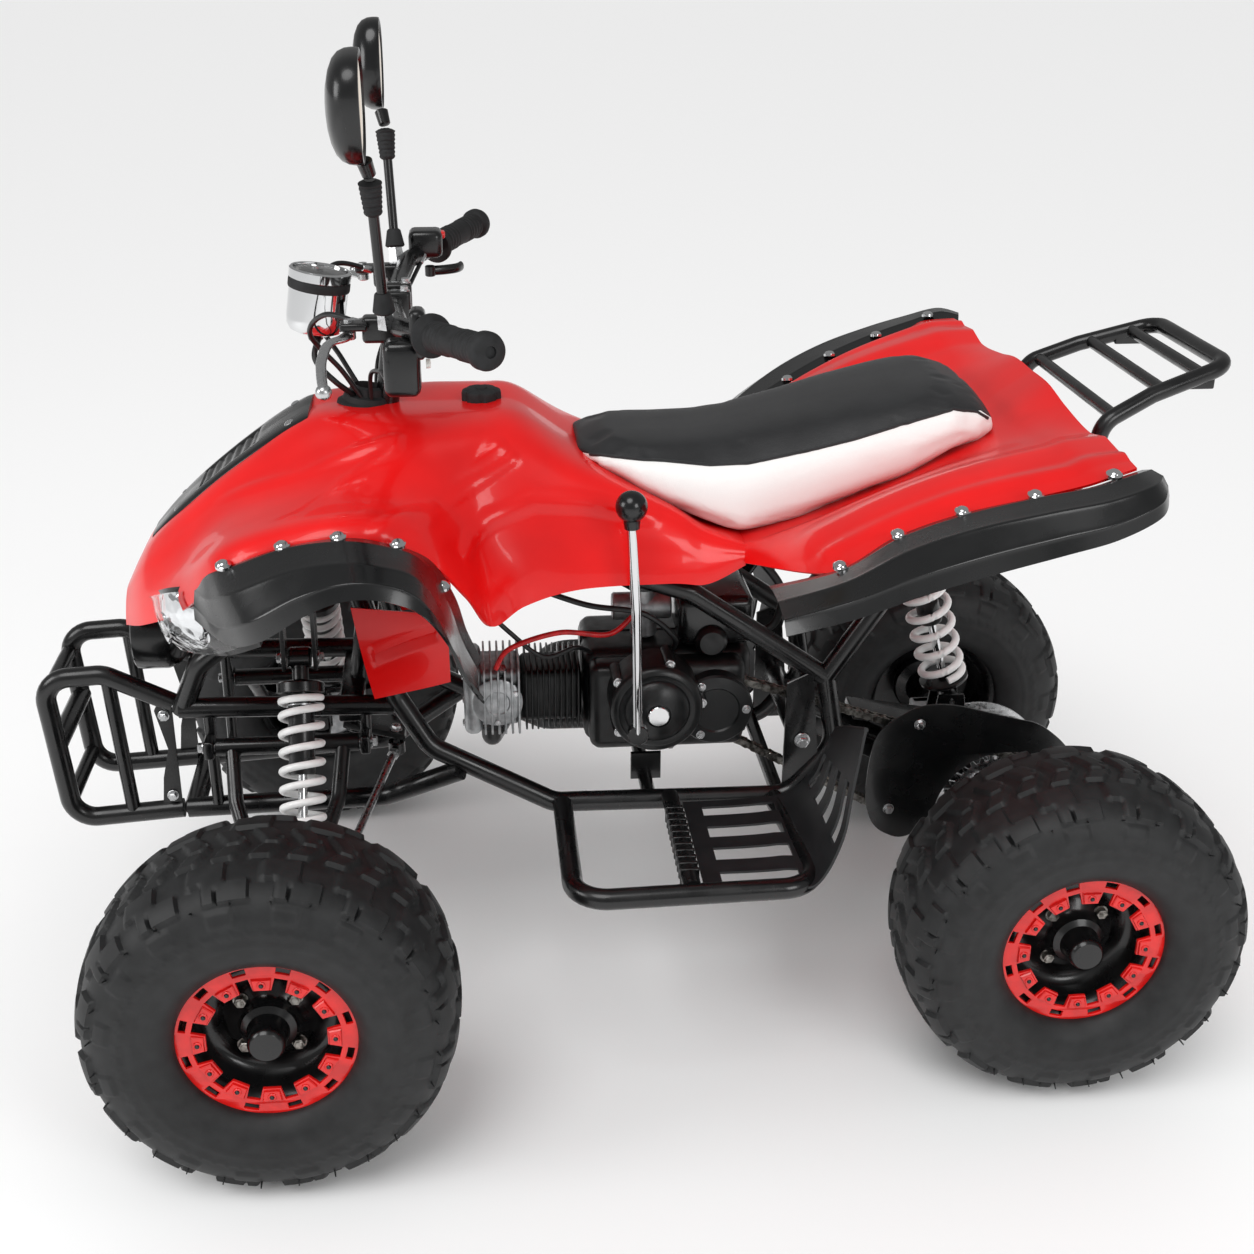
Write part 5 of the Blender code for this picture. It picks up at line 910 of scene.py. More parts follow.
def make_cover(settings):
    """The red shell over tank, nose and inner wings: splines through the stations, folded at the creases."""
    points = folded(panel_grid(COVER_ROWS, 190, 70), COVER_CREASES)
    piece = Piece("body_shell").add(sheet(points, 0.003), red_gloss_abs)
    column = np.array((0.2995, 0.0, 0.744))
    boot = mm(((34, -4), (33, 3), (28, 6), (26, 12), (21, 14), (20, 22), (15.2, 24), (15.2, -4)))
    piece.add(spin(boot, column, (-0.1436, 0, 0.9896), 40), soft_grip_rubber)
    piece.make("chassis", ["body_cover"], "red_plastic", crease=28)


def make_fender(settings):
    """The red rear deck and wings: splines through the stations, folded at two creases a side."""
    points = panel_grid(FENDER_ROWS, 110, 64)
    creases = mm((
        (((-200, 215, 645), (-320, 235, 710), (-435, 250, 745), (-498, 245, 753)), 40, 6),
        (((-200, 262, 642), (-320, 285, 706), (-435, 312, 744), (-495, 300, 754)), 16, 3.5),
    ))
    piece = Piece("rear_deck").add(sheet(folded(points, creases), 0.003), red_gloss_abs)
    piece.make("chassis", ["rear_fender"], "red_plastic", crease=28)


FRONT_FLARE = mm((
    (
        (478, 190, 612), (468, 204, 626), (436, 243, 644), (376, 262, 668), (318, 268, 678),
        (276, 266, 672), (229, 259, 650), (203, 254, 606), (190, 250, 560), (176, 246, 526),
    ),
    (
        (479, 200, 610), (466, 226, 624), (434, 262, 646), (374, 284, 674), (316, 294, 684),
        (274, 294, 678), (236, 288, 660), (210, 282, 612), (196, 276, 562), (180, 272, 524),
    ),
    (
        (480, 214, 602), (458, 262, 612), (424, 304, 636), (366, 324, 664), (314, 336, 676),
        (272, 338, 672), (238, 332, 656), (213, 322, 612), (198, 312, 560), (180, 304, 520),
    ),
    (
        (480, 228, 590), (446, 290, 592), (408, 338, 616), (356, 354, 648), (312, 362, 664),
        (270, 362, 662), (236, 356, 644), (212, 344, 602), (196, 330, 550), (178, 320, 514),
    ),
    (
        (479, 236, 578), (438, 296, 574), (398, 342, 596), (350, 360, 630), (308, 368, 648),
        (268, 368, 646), (232, 360, 626), (206, 346, 586), (190, 330, 540), (174, 318, 508),
    ),
))
REAR_FLARE = mm((
    (
        (-139, 246, 600), (-203, 292, 636), (-261, 298, 673), (-322, 314, 702), (-391, 332, 724),
        (-445, 345, 738), (-480, 346, 750), (-504, 334, 752),
    ),
    (
        (-139, 262, 603), (-202, 312, 642), (-260, 320, 680), (-322, 336, 709), (-391, 354, 732),
        (-445, 366, 746), (-484, 366, 758), (-508, 348, 757),
    ),
    (
        (-139, 300, 604), (-200, 350, 645), (-258, 366, 683), (-322, 382, 711), (-391, 396, 731),
        (-446, 404, 744), (-490, 398, 756), (-513, 366, 756),
    ),
    (
        (-139, 336, 598), (-200, 380, 636), (-258, 400, 668), (-324, 414, 694), (-394, 422, 714),
        (-448, 426, 728), (-494, 414, 744), (-516, 374, 748),
    ),
    (
        (-140, 346, 584), (-202, 386, 618), (-260, 405, 648), (-326, 418, 674), (-396, 426, 696),
        (-450, 428, 712), (-496, 416, 730), (-518, 376, 738),
    ),
))
FLARE_SCREWS = mm({
    "front": ((440, 258, 648), (376, 276, 674), (318, 284, 685), (258, 280, 674), (214, 270, 622)),
    "rear": ((-203, 304, 644), (-261, 310, 680), (-322, 326, 709), (-391, 344, 731), (-466, 356, 755)),
})


def tightened(rows, keep=0.82):
    """The rows with a helper row close to each side of every inner one, so that a spline bends sharply."""
    rows = np.asarray(rows, float)
    spread = [rows[:1]]
    for before, row, after in zip(rows, rows[1:], rows[2:]):
        spread.append(np.stack((before + (row - before) * keep, row, after + (row - after) * keep)))
    return np.concatenate(spread + [rows[-1:]])


def make_flares(settings):
    """The black edges of the four wings, each with its chromed screws."""
    for word, side in SIDES:
        for end, rows in (("front", FRONT_FLARE), ("rear", REAR_FLARE)):
            lines = spline(tightened(rows), 56)
            surface = np.swapaxes(spline(np.swapaxes(lines, 0, 1), 90), 0, 1)
            piece = Piece(f"{end}_wing_edge_{word}")
            piece.add(mirrored(sheet(surface, 0.0032), side), black_gloss_abs)
            for spot in FLARE_SCREWS[end]:
                seat = np.array(spot) * (1, side, 1)
                up = unit(np.array((0.0, 0.25 * side, 1.0)))
                head = mm(((8.5, -2), (8.5, 1.2), (7.2, 1.8), (6.2, 3.6), (4.2, 5), (1.5, 5.6)))
                piece.add(spin(head, seat, up, 24), bright_chrome)
            piece.make("chassis", [f"{end}_flare_{word}"], "black_plastic", crease=40)


def fixing_screw(seat, axis):
    """A pan head: a turned profile 12 mm across that closes up over 3.4 mm."""
    return spin(mm(((6, -2), (6, 1), (4.4, 2.6), (1.2, 3.4))), seat, axis, 20)


def make_nose(settings):
    """The black centre panel of the nose with its two louvred openings, and its fixing screws."""
    rows = []
    for x, z, half in (
        (0.552, 0.597, 0.03), (0.53, 0.621, 0.038), (0.5, 0.649, 0.047), (0.455, 0.685, 0.05),
        (0.41, 0.717, 0.053), (0.375, 0.738, 0.054), (0.362, 0.743, 0.053),
    ):
        section = (
            (0, z), (half * 0.5, z + 0.0004), (half * 0.8, z - 0.0006), (half * 0.93, z - 0.003),
            (half, z - 0.008),
        )
        rows.append((x, section))
    points = panel_grid(rows, 90, 40)
    x, y = points[..., 0], np.abs(points[..., 1])
    dish = smooth((0.034 - np.abs(y)) / 0.004) * smooth((0.036 - np.abs(x - 0.458)) / 0.004)
    bars = 0.5 + 0.5 * np.cos((x - 0.458) * 2 * math.pi / 0.012)
    points = points + np.array((0, 0, 1.0)) * (-0.0045 * dish * (0.35 + 0.65 * bars))[..., None]
    piece = Piece("nose_grille").add(sheet(points, 0.0035), black_gloss_abs)
    for spot in ((0.385, 0.04, 0.735), (0.52, 0.03, 0.632)):
        for side in (1, -1):
            seat = np.array(spot) * (1, side, 1)
            piece.add(fixing_screw(seat, (0.5, 0, 0.87)), bright_chrome)
    piece.make("chassis", ["nose_panel"], "black_plastic")


# Seat


SEAT_LINES = mm({
    "x": (58, 50, 35, -10, -40, -90, -130, -200, -260, -320, -370, -405, -424, -431),
    "half": (52, 68, 84, 106, 114, 122, 127, 132, 135, 134, 129, 118, 104, 90),
    "low": (698, 693, 685, 660, 644, 622.5, 605.8, 624, 646.5, 669, 696.5, 711, 718.8, 723),
    "high": (708, 711, 712, 709.5, 709, 711, 716.8, 733, 749, 763.2, 772.2, 761, 748, 732),
    "seam": (696, 698, 700, 698, 697, 693, 695, 711, 727, 744, 756.5, 750, 737, 728),
})


def seat_section(x):
    """Half width, floor, crown and seam heights of the seat at x."""
    places = np.array(SEAT_LINES["x"])[::-1]
    return [
        np.interp(x, places, np.array(SEAT_LINES[key])[::-1]) for key in ("half", "low", "high", "seam")
    ]


def seat_form():
    """A closed form: at each x, y = half width x cos(a)^0.62, and z as sin(a)^0.8 up, sin(a)^0.45 down."""
    x = np.concatenate(
        (np.linspace(0.058, 0.035, 8), np.linspace(0.03, -0.4, 56), np.linspace(-0.404, -0.431, 10))
    )
    half, low, high, _ = seat_section(x)
    turn = np.linspace(0, 2 * math.pi, 64, endpoint=False)[None, :]
    c, s = np.cos(turn), np.sin(turn)
    y = half[:, None] * np.sign(c) * np.abs(c) ** 0.62
    middle = (low + (high - low) * 0.42)[:, None]
    up = (high[:, None] - middle) * np.abs(s) ** 0.8
    down = (middle - low[:, None]) * np.abs(s) ** 0.45
    z = np.where(s > 0, middle + up, middle - down)
    tuck = np.where(s < 0, 1 - 0.05 * np.abs(s), 1)
    points = np.stack((np.broadcast_to(x[:, None], y.shape), y * tuck, z), -1)
    return grid(points, wrap_columns=True, caps=True)


def fill_seat(piece, settings):
    """Puffs the cover up as cloth under inner pressure, and keeps each point within 5 mm of its start."""
    bpy.context.view_layer.objects.active = piece
    remesh = piece.modifiers.new("remesh", "REMESH")
    remesh.mode = "VOXEL"
    remesh.voxel_size = 0.005
    apply_modifiers(piece)
    mesh = piece.data
    start = read_points(mesh)
    cloth = piece.modifiers.new("cloth", "CLOTH")
    cloth.settings.use_pressure = True
    cloth.settings.uniform_pressure_force = settings.pressure
    cloth.settings.effector_weights.gravity = 0.0
    cloth.settings.tension_stiffness = 22.0
    cloth.settings.compression_stiffness = 22.0
    cloth.point_cache.frame_start, cloth.point_cache.frame_end = 1, 20
    scene = bpy.context.scene
    for number in range(1, 21):
        scene.frame_set(number)
    moved_points = read_points(piece.evaluated_get(bpy.context.evaluated_depsgraph_get()).data)
    piece.modifiers.clear()
    scene.frame_set(1)
    change = moved_points - start
    length = np.linalg.norm(change, axis=1, keepdims=True)
    change *= np.minimum(1.0, 0.005 / np.maximum(length, 1e-9))
    final = start + change
    floor = seat_section(final[:, 0])[1]
    final[:, 2] = np.maximum(final[:, 2], floor - 0.0005)
    mesh.vertices.foreach_set("co", final.ravel())
    mesh.update()


def read_points(mesh):
    """The mesh's points as an array of rows."""
    points = np.empty(len(mesh.vertices) * 3)
    mesh.vertices.foreach_get("co", points)
    return points.reshape(-1, 3)


def apply_modifiers(piece):
    """The object's mesh as its modifiers leave it."""
    graph = bpy.context.evaluated_depsgraph_get()
    mesh = bpy.data.meshes.new_from_object(piece.evaluated_get(graph))
    old = piece.data
    piece.modifiers.clear()
    piece.data = mesh
    mesh.name = piece.name
    bpy.data.meshes.remove(old)


def make_seat(settings):
    """The saddle: a black top and white sides in one cover, with a piped seam between them."""
    piece = Piece("seat_cover").add(seat_form(), black_vinyl).make("seat", ["seat"], "seat_vinyl")
    fill_seat(piece, settings)
    smoothing = piece.modifiers.new("smooth", "SUBSURF")
    smoothing.levels = smoothing.render_levels = 1
    apply_modifiers(piece)
    mesh = piece.data
    mesh.materials.clear()
    mesh.materials.append(finish_for(seat_vinyl))
    points = read_points(mesh)
    over = mesh.attributes.new("over_seam", "FLOAT", "POINT")
    over.data.foreach_set("value", (points[:, 2] - seat_section(points[:, 0])[3]).astype(np.float32))
    mesh.polygons.foreach_set("material_index", np.zeros(len(mesh.polygons), np.int32))
    mesh.shade_smooth()
    mesh.update()
    lines = Piece("seat_piping")
    bm = bmesh.new()
    bm.from_mesh(mesh)
    tree = BVHTree.FromBMesh(bm)
    bm.free()
    for side in (1, -1):
        x = np.linspace(0.046, -0.418, 150)
        half, _, _, seam = seat_section(x)
        line = np.stack((x, side * half * 0.99, seam), -1)
        for _ in range(8):
            line[:, 2] = seam
            line = np.array([tree.find_nearest(Vector(p))[0] for p in line])
        lines.add(tube(spline(line, 300), 0.0021, 8), black_vinyl)
    lines.make("seat", slot="seat_vinyl")


# Frame and tubework


def frame_lines():
    """The frame's bent tubes on the left side, as corner points."""
    rear_node = (-0.242, 0.1, 0.418)
    return (
        ((0.54, 0.068, 0.256), (0.3, 0.078, 0.266), (0.205, 0.112, 0.316)),
        ((0.535, 0.085, 0.401), (0.282, 0.085, 0.395)),
        (
            (0.533, 0.082, 0.395), (0.505, 0.095, 0.461), (0.348, 0.112, 0.587), (0.28, 0.05, 0.655),
            (0.288, 0.014, 0.653),
        ),
        (
            (0.325, 0.106, 0.593), (0.28, 0.09, 0.411), (0.24, 0.104, 0.346), (0.091, 0.112, 0.266),
            (0.051, 0.112, 0.266),
        ),
        ((0.071, 0.112, 0.266), (-0.2, 0.112, 0.262), (-0.258, 0.106, 0.328), rear_node),
        ((0.282, 0.016, 0.655), (0.12, 0.085, 0.596), (-0.073, 0.1, 0.536), rear_node),
        (rear_node, (-0.32, 0.096, 0.536), (-0.43, 0.092, 0.641), (-0.5, 0.092, 0.649)),
    )


FRAME_CROSSES = (
    (0.531, 0.085, 0.401, TUBE_R), (0.533, 0.07, 0.257, TUBE_R), (0.292, 0.085, 0.395, 0.009),
    (-0.027, 0.112, 0.264, 0.009), (-0.188, 0.112, 0.263, 0.009), (-0.386, 0.0935, 0.599, 0.009),
    (-0.488, 0.092, 0.648, 0.009),
)


def mirror_point(point, side):
    """The point, or its mirror image where the side is -1."""
    return np.asarray(point, float) * (1, side, 1)


def make_frame(settings):
    """The welded frame of round tube, its cross tubes, arm lugs, shock towers and swing brackets."""
    piece = Piece("frame_tubes", black_powder_coat)
    for side in (1, -1):
        for corners in frame_lines():
            path = rounded([mirror_point(p, side) for p in corners], 0.045, 8)
            piece.add(tube(path, TUBE_R, 20))
        for along in (-1, 1):
            x = FRONT_X + along * 0.0925
            low = (x, 0.076, 0.266) if along > 0 else (x, 0.08, 0.349)
            piece.add(rod(mirror_point((x, 0.081, 0.399), side), mirror_point(low, side), 0.007, None, 14))
            lug = mirror_point((x, 0.098, 0.35326), side)
            piece.add(block(lug - (0.006, 0.0125, 0.012), lug + (0.006, 0.0125, 0.012), 0.003))
            web = mirror_point((x, 0.084, 0.35326), side)
            piece.add(block(web - (0.005, 0.009, 0.007), web + (0.005, 0.009, 0.007), 0.001))
            hexagon_bolt(piece, lug + (along * 0.0065, 0, 0), (along, 0, 0), 0.011)
            tower = ((0.102, 0.573), (0.128, 0.573), (0.1302, 0.464), (0.106, 0.464))
            outline = np.array(tower) * (side, 1)
            piece.add(cross_plate(outline, 0.005, 0.385 + along * 0.018, 0.001))
            bolt = mirror_point((0.385 + along * 0.0205, 0.118, 0.47626), side)
            hexagon_bolt(piece, bolt, (along, 0, 0), 0.01)
        bracket = ((-0.241, 0.262), (-0.193, 0.262), (-0.193, 0.416), (-0.225, 0.431))
        piece.add(side_plate(bracket, 0.006, side * 0.108, 0.001))
        hexagon_bolt(piece, (-0.215, side * 0.1115, 0.33826), (0, side, 0), 0.014)
        tab = ((-0.008, 0.266), (-0.046, 0.266), (-0.046, 0.303), (-0.008, 0.303))
        piece.add(side_plate(tab, 0.006, side * 0.06, 0.001))
        ear = block((-0.391, side * 0.018 - 0.0025, 0.584), (-0.343, side * 0.018 + 0.0025, 0.61), 0.002)
        piece.add(ear)
    for x, y, z, radius in FRAME_CROSSES:
        piece.add(rod((x, -y, z), (x, y, z), radius))
    piece.add(rod((-0.215, -0.111, 0.33826), (-0.215, 0.111, 0.33826), 0.0075))
    piece.add(rod((-0.355, -0.026, 0.59626), (-0.355, 0.026, 0.59626), 0.0042, None, 14), zinc_plate)
    for low, high in (
        ((0.3303, 0, 0.3674), (0.3274, 0, 0.3872)), ((0.2917, 0, 0.6295), (0.2853, 0, 0.6731)),
    ):
        low, high = np.array(low), np.array(high)
        axis = unit(high - low)
        length = np.linalg.norm(high - low)
        piece.add(
            spin(
                (
                    (0.015, 0), (0.0215, 0), (0.022, 0.0005), (0.022, length - 0.0005), (0.0215, length),
                    (0.015, length), (0.0146, length / 2),
                ),
                low, axis, 32,
            )
        )
    piece.add(block((0.3188, -0.085, 0.3733), (0.3488, 0.085, 0.3973), 0.003))
    piece.make("chassis", ["frame"], "black_paint")


def make_bumper(settings):
    """The front bumper: two hoops of tube, three rungs and a gusset plate each side."""
    piece = Piece("bumper_tubes", black_powder_coat)
    hoop = (
        (0.546, 0.068, 0.256), (0.678, 0.07, 0.248), (0.694, 0.07, 0.437), (0.622, 0.07, 0.441),
        (0.5448, 0.07, 0.401),
    )
    for side in (1, -1):
        piece.add(tube(rounded([mirror_point(p, side) for p in hoop], 0.03, 10), 0.0118, 20))
        piece.add(
            rod(
                mirror_point((0.606, 0.07, 0.251), side), mirror_point((0.618, 0.07, 0.439), side), 0.0085,
                None, 16,
            )
        )
        gusset = (
            (0.547, 0.262), (0.57, 0.262), (0.566, 0.3), (0.556, 0.34), (0.568, 0.392), (0.562, 0.404),
            (0.547, 0.396),
        )
        piece.add(side_plate(gusset, 0.004, side * 0.07, 0.0008))
        for z in (0.2765, 0.3855):
            hexagon_bolt(piece, (0.557, side * 0.0722, z), (0, side, 0), 0.01)
    for x, z, radius in ((0.6855, 0.351, 0.0118), (0.68, 0.273, 0.009), (0.6915, 0.415, 0.009)):
        piece.add(rod((x, -0.07, z), (x, 0.07, z), radius))
    piece.make("chassis", ["front_bumper"], "black_paint")


def make_rack(settings):
    """The rear carrier: a hoop rising behind the seat, three cross tubes and a pair of strap tabs."""
    piece = Piece("rack_tubes", black_powder_coat)
    half = (
        (-0.468, 0.113, 0.648), (-0.516, 0.115, 0.65), (-0.53, 0.137, 0.698), (-0.538, 0.137, 0.743),
        (-0.598, 0.122, 0.77), (-0.692, 0.105, 0.799),
    )
    corners = list(half) + [mirror_point(p, -1) for p in half[::-1]]
    piece.add(tube(rounded(corners, 0.028, 10), 0.0098, 18))
    for x, y, z in ((-0.552, 0.133, 0.749), (-0.612, 0.119, 0.774), (-0.66, 0.11, 0.789)):
        piece.add(rod((x, -y, z), (x, y, z), 0.0075, None, 16))
    for side in (1, -1):
        low, high = (-0.676, side * 0.108 - 0.003, 0.772), (-0.64, side * 0.108 + 0.003, 0.79)
        piece.add(block(low, high, 0.002))
    piece.make("chassis", ["rear_rack"], "black_paint")


def bowed(rows, count, across):
    """A smooth surface through rows of points."""
    lines = spline(np.array(rows), count)
    return np.swapaxes(spline(np.swapaxes(lines, 0, 1), across), 0, 1)


def slotted(points, thickness, holes):
    """A panel with slots: quads whose middles lie in a slot's share of rows and columns are out."""
    rows, columns = points.shape[:2]
    across, along = np.gradient(points, axis=0), np.gradient(points, axis=1)
    back = points - unit(np.cross(across, along)) * thickness
    r = (np.arange(rows - 1) + 0.5) / (rows - 1)
    c = (np.arange(columns - 1) + 0.5) / (columns - 1)
    keep = np.ones((rows - 1, columns - 1), bool)
    for r_low, r_high, c_low, c_high in holes:
        keep &= ~(((r > r_low) & (r < r_high))[:, None] & ((c > c_low) & (c < c_high))[None, :])
    index = np.arange(rows * columns).reshape(rows, columns)
    corners = np.stack((index[:-1, :-1], index[:-1, 1:], index[1:, 1:], index[1:, :-1]), -1)
    front = corners[keep]
    ends = np.concatenate([front[:, [k, (k + 1) % 4]] for k in range(4)])
    key = ends[:, 0] * rows * columns + ends[:, 1]
    other = ends[:, 1] * rows * columns + ends[:, 0]
    border = ends[~np.isin(key, other)]
    count = rows * columns
    walls = np.stack((border[:, 1], border[:, 0], border[:, 0] + count, border[:, 1] + count), -1)
    return np.concatenate(
        (points.reshape(-1, 3), back.reshape(-1, 3))
    ), [front, front[:, ::-1] + count, walls]


def make_foot_bars(settings):
    """Each side's foot loop: a bent rail, a knurled peg with raised rings, and a slotted heel guard."""
    for word, side in SIDES:
        piece = Piece(f"foot_loop_{word}", black_powder_coat)
        rail = ((0.082, 0.125, 0.269), (0.082, 0.34, 0.269), (-0.195, 0.34, 0.273), (-0.18, 0.125, 0.265))
        piece.add(tube(rounded([mirror_point(p, side) for p in rail], 0.04, 10), 0.0121, 20))
        peg, end = mirror_point((-0.05, 0.125, 0.27526), side), mirror_point((-0.05, 0.336, 0.27526), side)
        piece.add(rod(peg, end, 0.0105))
        for y in np.linspace(0.17, 0.31, 11):
            piece.add(
                block(
                    mirror_point((-0.061, y, 0.27526), side) - (0, 0.003, 0.0112),
                    mirror_point((-0.039, y, 0.27526), side) + (0, 0.003, 0.0112), 0.002,
                )
            )
        rows = []
        for share in np.linspace(0, 1, 8):
            y_mid = 0.24
            if share < 0.62:
                s = share / 0.62
                x, z = -0.064 - 0.138 * s, 0.2713 + 0.01 * s**4
                rows.append(((x, 0.14, z), (x, y_mid, z), (x, 0.338 + 0.007 * s, z)))
            else:
                s = (share - 0.62) / 0.38
                rows.append((
                    (-0.214 - 0.03 * s, 0.145 + 0.023 * s, 0.288 + 0.093 * s),
                    (-0.212 - 0.028 * s, y_mid, 0.288 + 0.131 * s),
                    (-0.21 - 0.024 * s, 0.345 - 0.002 * s, 0.288 + 0.181 * s),
                ))
        points = bowed(rows, 120, 96) * (1, side, 1)
        holes = []
        for k in range(4):
            holes.append((0.1, 0.5, 0.1 + 0.225 * k, 0.21 + 0.225 * k))
            holes.append((0.68, 0.86, 0.1 + 0.225 * k, 0.21 + 0.225 * k))
        piece.add(slotted(points, 0.003 * side, holes), grained_polypropylene)
        piece.add(tube(spline(points[-1, ::6], 60), 0.0028, 10), grained_polypropylene)
        piece.make("chassis", [f"foot_bar_{word}"], "black_paint", crease=45)


# Lamps


def make_lamps(settings):
    """The twin headlights under the nose and the round lamp between them."""
    for word, side in SIDES:
        corners = np.array((
            ((548, 116, 560), (520, 168, 586), (471, 202, 602), (430, 220, 616)),
            ((549, 100, 545), (528, 166, 556), (482, 208, 572), (432, 222, 590)),
            ((548, 88, 518), (526, 150, 522), (478, 196, 536), (430, 214, 556)),
            ((540, 82, 496), (514, 134, 497), (468, 176, 508), (426, 200, 528)),
        )) / 1000
        lens = bowed(corners, 24, 40)
        middle = lens.mean((0, 1))
        piece = Piece(f"headlamp_{word}")
        bezel = middle + (lens - middle) * 1.04 + np.array((-0.006, -0.003, 0.0))
        piece.add(mirrored(sheet(bezel, 0.018), side), black_gloss_abs)
        shell = middle + (lens - middle) * 0.9 + np.array((-0.001, -0.001, 0.0))
        piece.add(mirrored(sheet(shell, 0.003), side), lamp_reflector)
        glass = middle + (lens - middle) * 0.93 + np.array((0.003, 0.002, 0.0))
        piece.add(mirrored(sheet(glass, 0.0016), side), clear_polycarbonate)
        for spot in (0.35, 0.7):
            seat = shell[12, int(spot * 39)] * (1, side, 1)
            axis = unit(np.array((1.0, 0.45 * side, -0.1)))
            piece.add(
                spin(mm(((4, 0), (18, 0.5), (19, 3), (17, 3), (11, -1), (4, -3))), seat, axis, 32),
                bright_chrome,
            )
        piece.make("chassis", [f"headlight_{word}"], "lamp_lens")
    centre = np.array((0.54, 0.0, 0.467))
    piece = Piece("round_lamp_shell")
    piece.add(
        spin(
            mm(
                (
                    (14, -12), (30, -8), (43, 2), (47.5, 14), (47.5, 46), (46.5, 50), (44, 52), (42.5, 49),
                    (42.5, 30), (15, 20),
                )
            ),
            centre, (1, 0, 0), 56,
        ),
        black_gloss_abs,
    )
    piece.add(
        spin(
            mm(
                (
                    (42.5, 46), (42.5, 48.5), (38, 51.5), (25, 54.5), (10, 56), (4, 56.2), (4, 54.5),
                    (25, 53), (40, 46),
                )
            ),
            centre, (1, 0, 0), 56,
        ),
        clear_polycarbonate,
    )
    piece.add(
        spin(mm(((41.5, 45), (36, 34), (24, 26), (10, 23), (10, 21), (40, 29))), centre, (1, 0, 0), 56),
        lamp_reflector,
    )
    piece.add(rod((0.561, 0, 0.467), (0.578, 0, 0.467), 0.006, 0.0045, 16, 0.002), white_nylon)
    piece.make("chassis", ["round_lamp"], "black_plastic")


# Front suspension and steering


def coil(start, end, radius, wire, curls, closing=0.8):
    """A compression spring: a helix of constant radius whose pitch closes up at both ends."""
    start, end = np.asarray(start, float), np.asarray(end, float)
    axis = end - start
    length = np.linalg.norm(axis)
    a, b, c = facing(axis)
    share = np.linspace(0, 1, int(curls * 28))
    turn = share * curls * 2 * math.pi
    ends = closing / curls
    shape = np.interp(share, (0, ends, 1 - ends, 1), (0, 0.045, 0.955, 1))
    height = (shape * (length - 2 * wire) + wire)[:, None]
    path = start + radius * (np.cos(turn)[:, None] * a + np.sin(turn)[:, None] * b) + height * c
    return tube(path, wire, 12)


def lower_on(top, low, distance):
    """The point this far down a shock from its top."""
    top, low = np.asarray(top, float), np.asarray(low, float)
    return top + unit(low - top) * distance


def make_shock(prefix, bodies, nodes, top, low, spring_r, wire, eye_axis):
    """One coil-over unit: damper tube with its seat, piston rod with the lower seat, and the spring."""
    top, low = np.asarray(top, float), np.asarray(low, float)
    length = float(np.linalg.norm(low - top))
    axis = unit(low - top)
    upper = Piece(f"{prefix}_damper")
    across = unit(np.asarray(eye_axis, float))
    upper.add(
        spin(
            mm(((5.2, -12.5), (10.5, -12.5), (12.5, -10.5), (12.5, 10.5), (10.5, 12.5), (5.2, 12.5))), top,
            across, 28,
        ),
        black_powder_coat,
    )
    seat = spring_r + wire + 0.0004
    profile = (
        (0.004, 0.008), (0.0095, 0.01), (0.0095, 0.026), (seat - 0.002, 0.029), (seat, 0.031),
        (seat, 0.0415), (seat - 0.0015, 0.0425), (0.015, 0.0425), (0.015, length * 0.58),
        (0.014, length * 0.59), (0.004, length * 0.59),
    )
    upper.add(spin(profile, top, axis, 36), black_powder_coat)
    for k in range(3):
        upper.add(
            spin(
                (
                    (0.015, 0.046 + k * 0.004), (0.017, 0.047 + k * 0.004), (0.017, 0.0485 + k * 0.004),
                    (0.015, 0.0495 + k * 0.004),
                ),
                top, axis, 28,
            ),
            zinc_plate,
        )
    upper.make(bodies[0], [nodes[0]], "black_paint")
    lower = Piece(f"{prefix}_piston")
    back = -axis
    lower.add(
        spin(mm(((5.6, -12), (10, -12), (11.8, -10), (11.8, 10), (10, 12), (5.6, 12))), low, across, 28),
        black_powder_coat,
    )
    lower.add(
        spin(
            (
                (0.004, 0.008), (0.0085, 0.01), (0.0085, 0.02), (seat - 0.002, 0.0235), (seat, 0.0255),
                (seat, 0.0285), (seat - 0.0015, 0.0295), (0.008, 0.0295), (0.008, 0.036), (0.004, 0.036),
            ),
            low, back, 36,
        ),
        black_powder_coat,
    )
    lower.add(
        spin(
            ((0.003, 0.02), (0.0055, 0.022), (0.0055, length * 0.45), (0.003, length * 0.45)), low, back,
            20,
        ),
        bright_chrome,
    )
    lower.make(bodies[1], [nodes[1]], "zinc_steel")
    spring = Piece(f"{prefix}_coil")
    first, final = lower_on(top, low, 0.0428), lower_on(top, low, length - 0.03)
    spring.add(coil(first, final, spring_r - 0.0008, wire + 0.0008, 8), white_spring_enamel)
    piece = spring.make(None, [nodes[2]], "white_paint")
    tuple(first)
    tuple(final)
    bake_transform(piece)


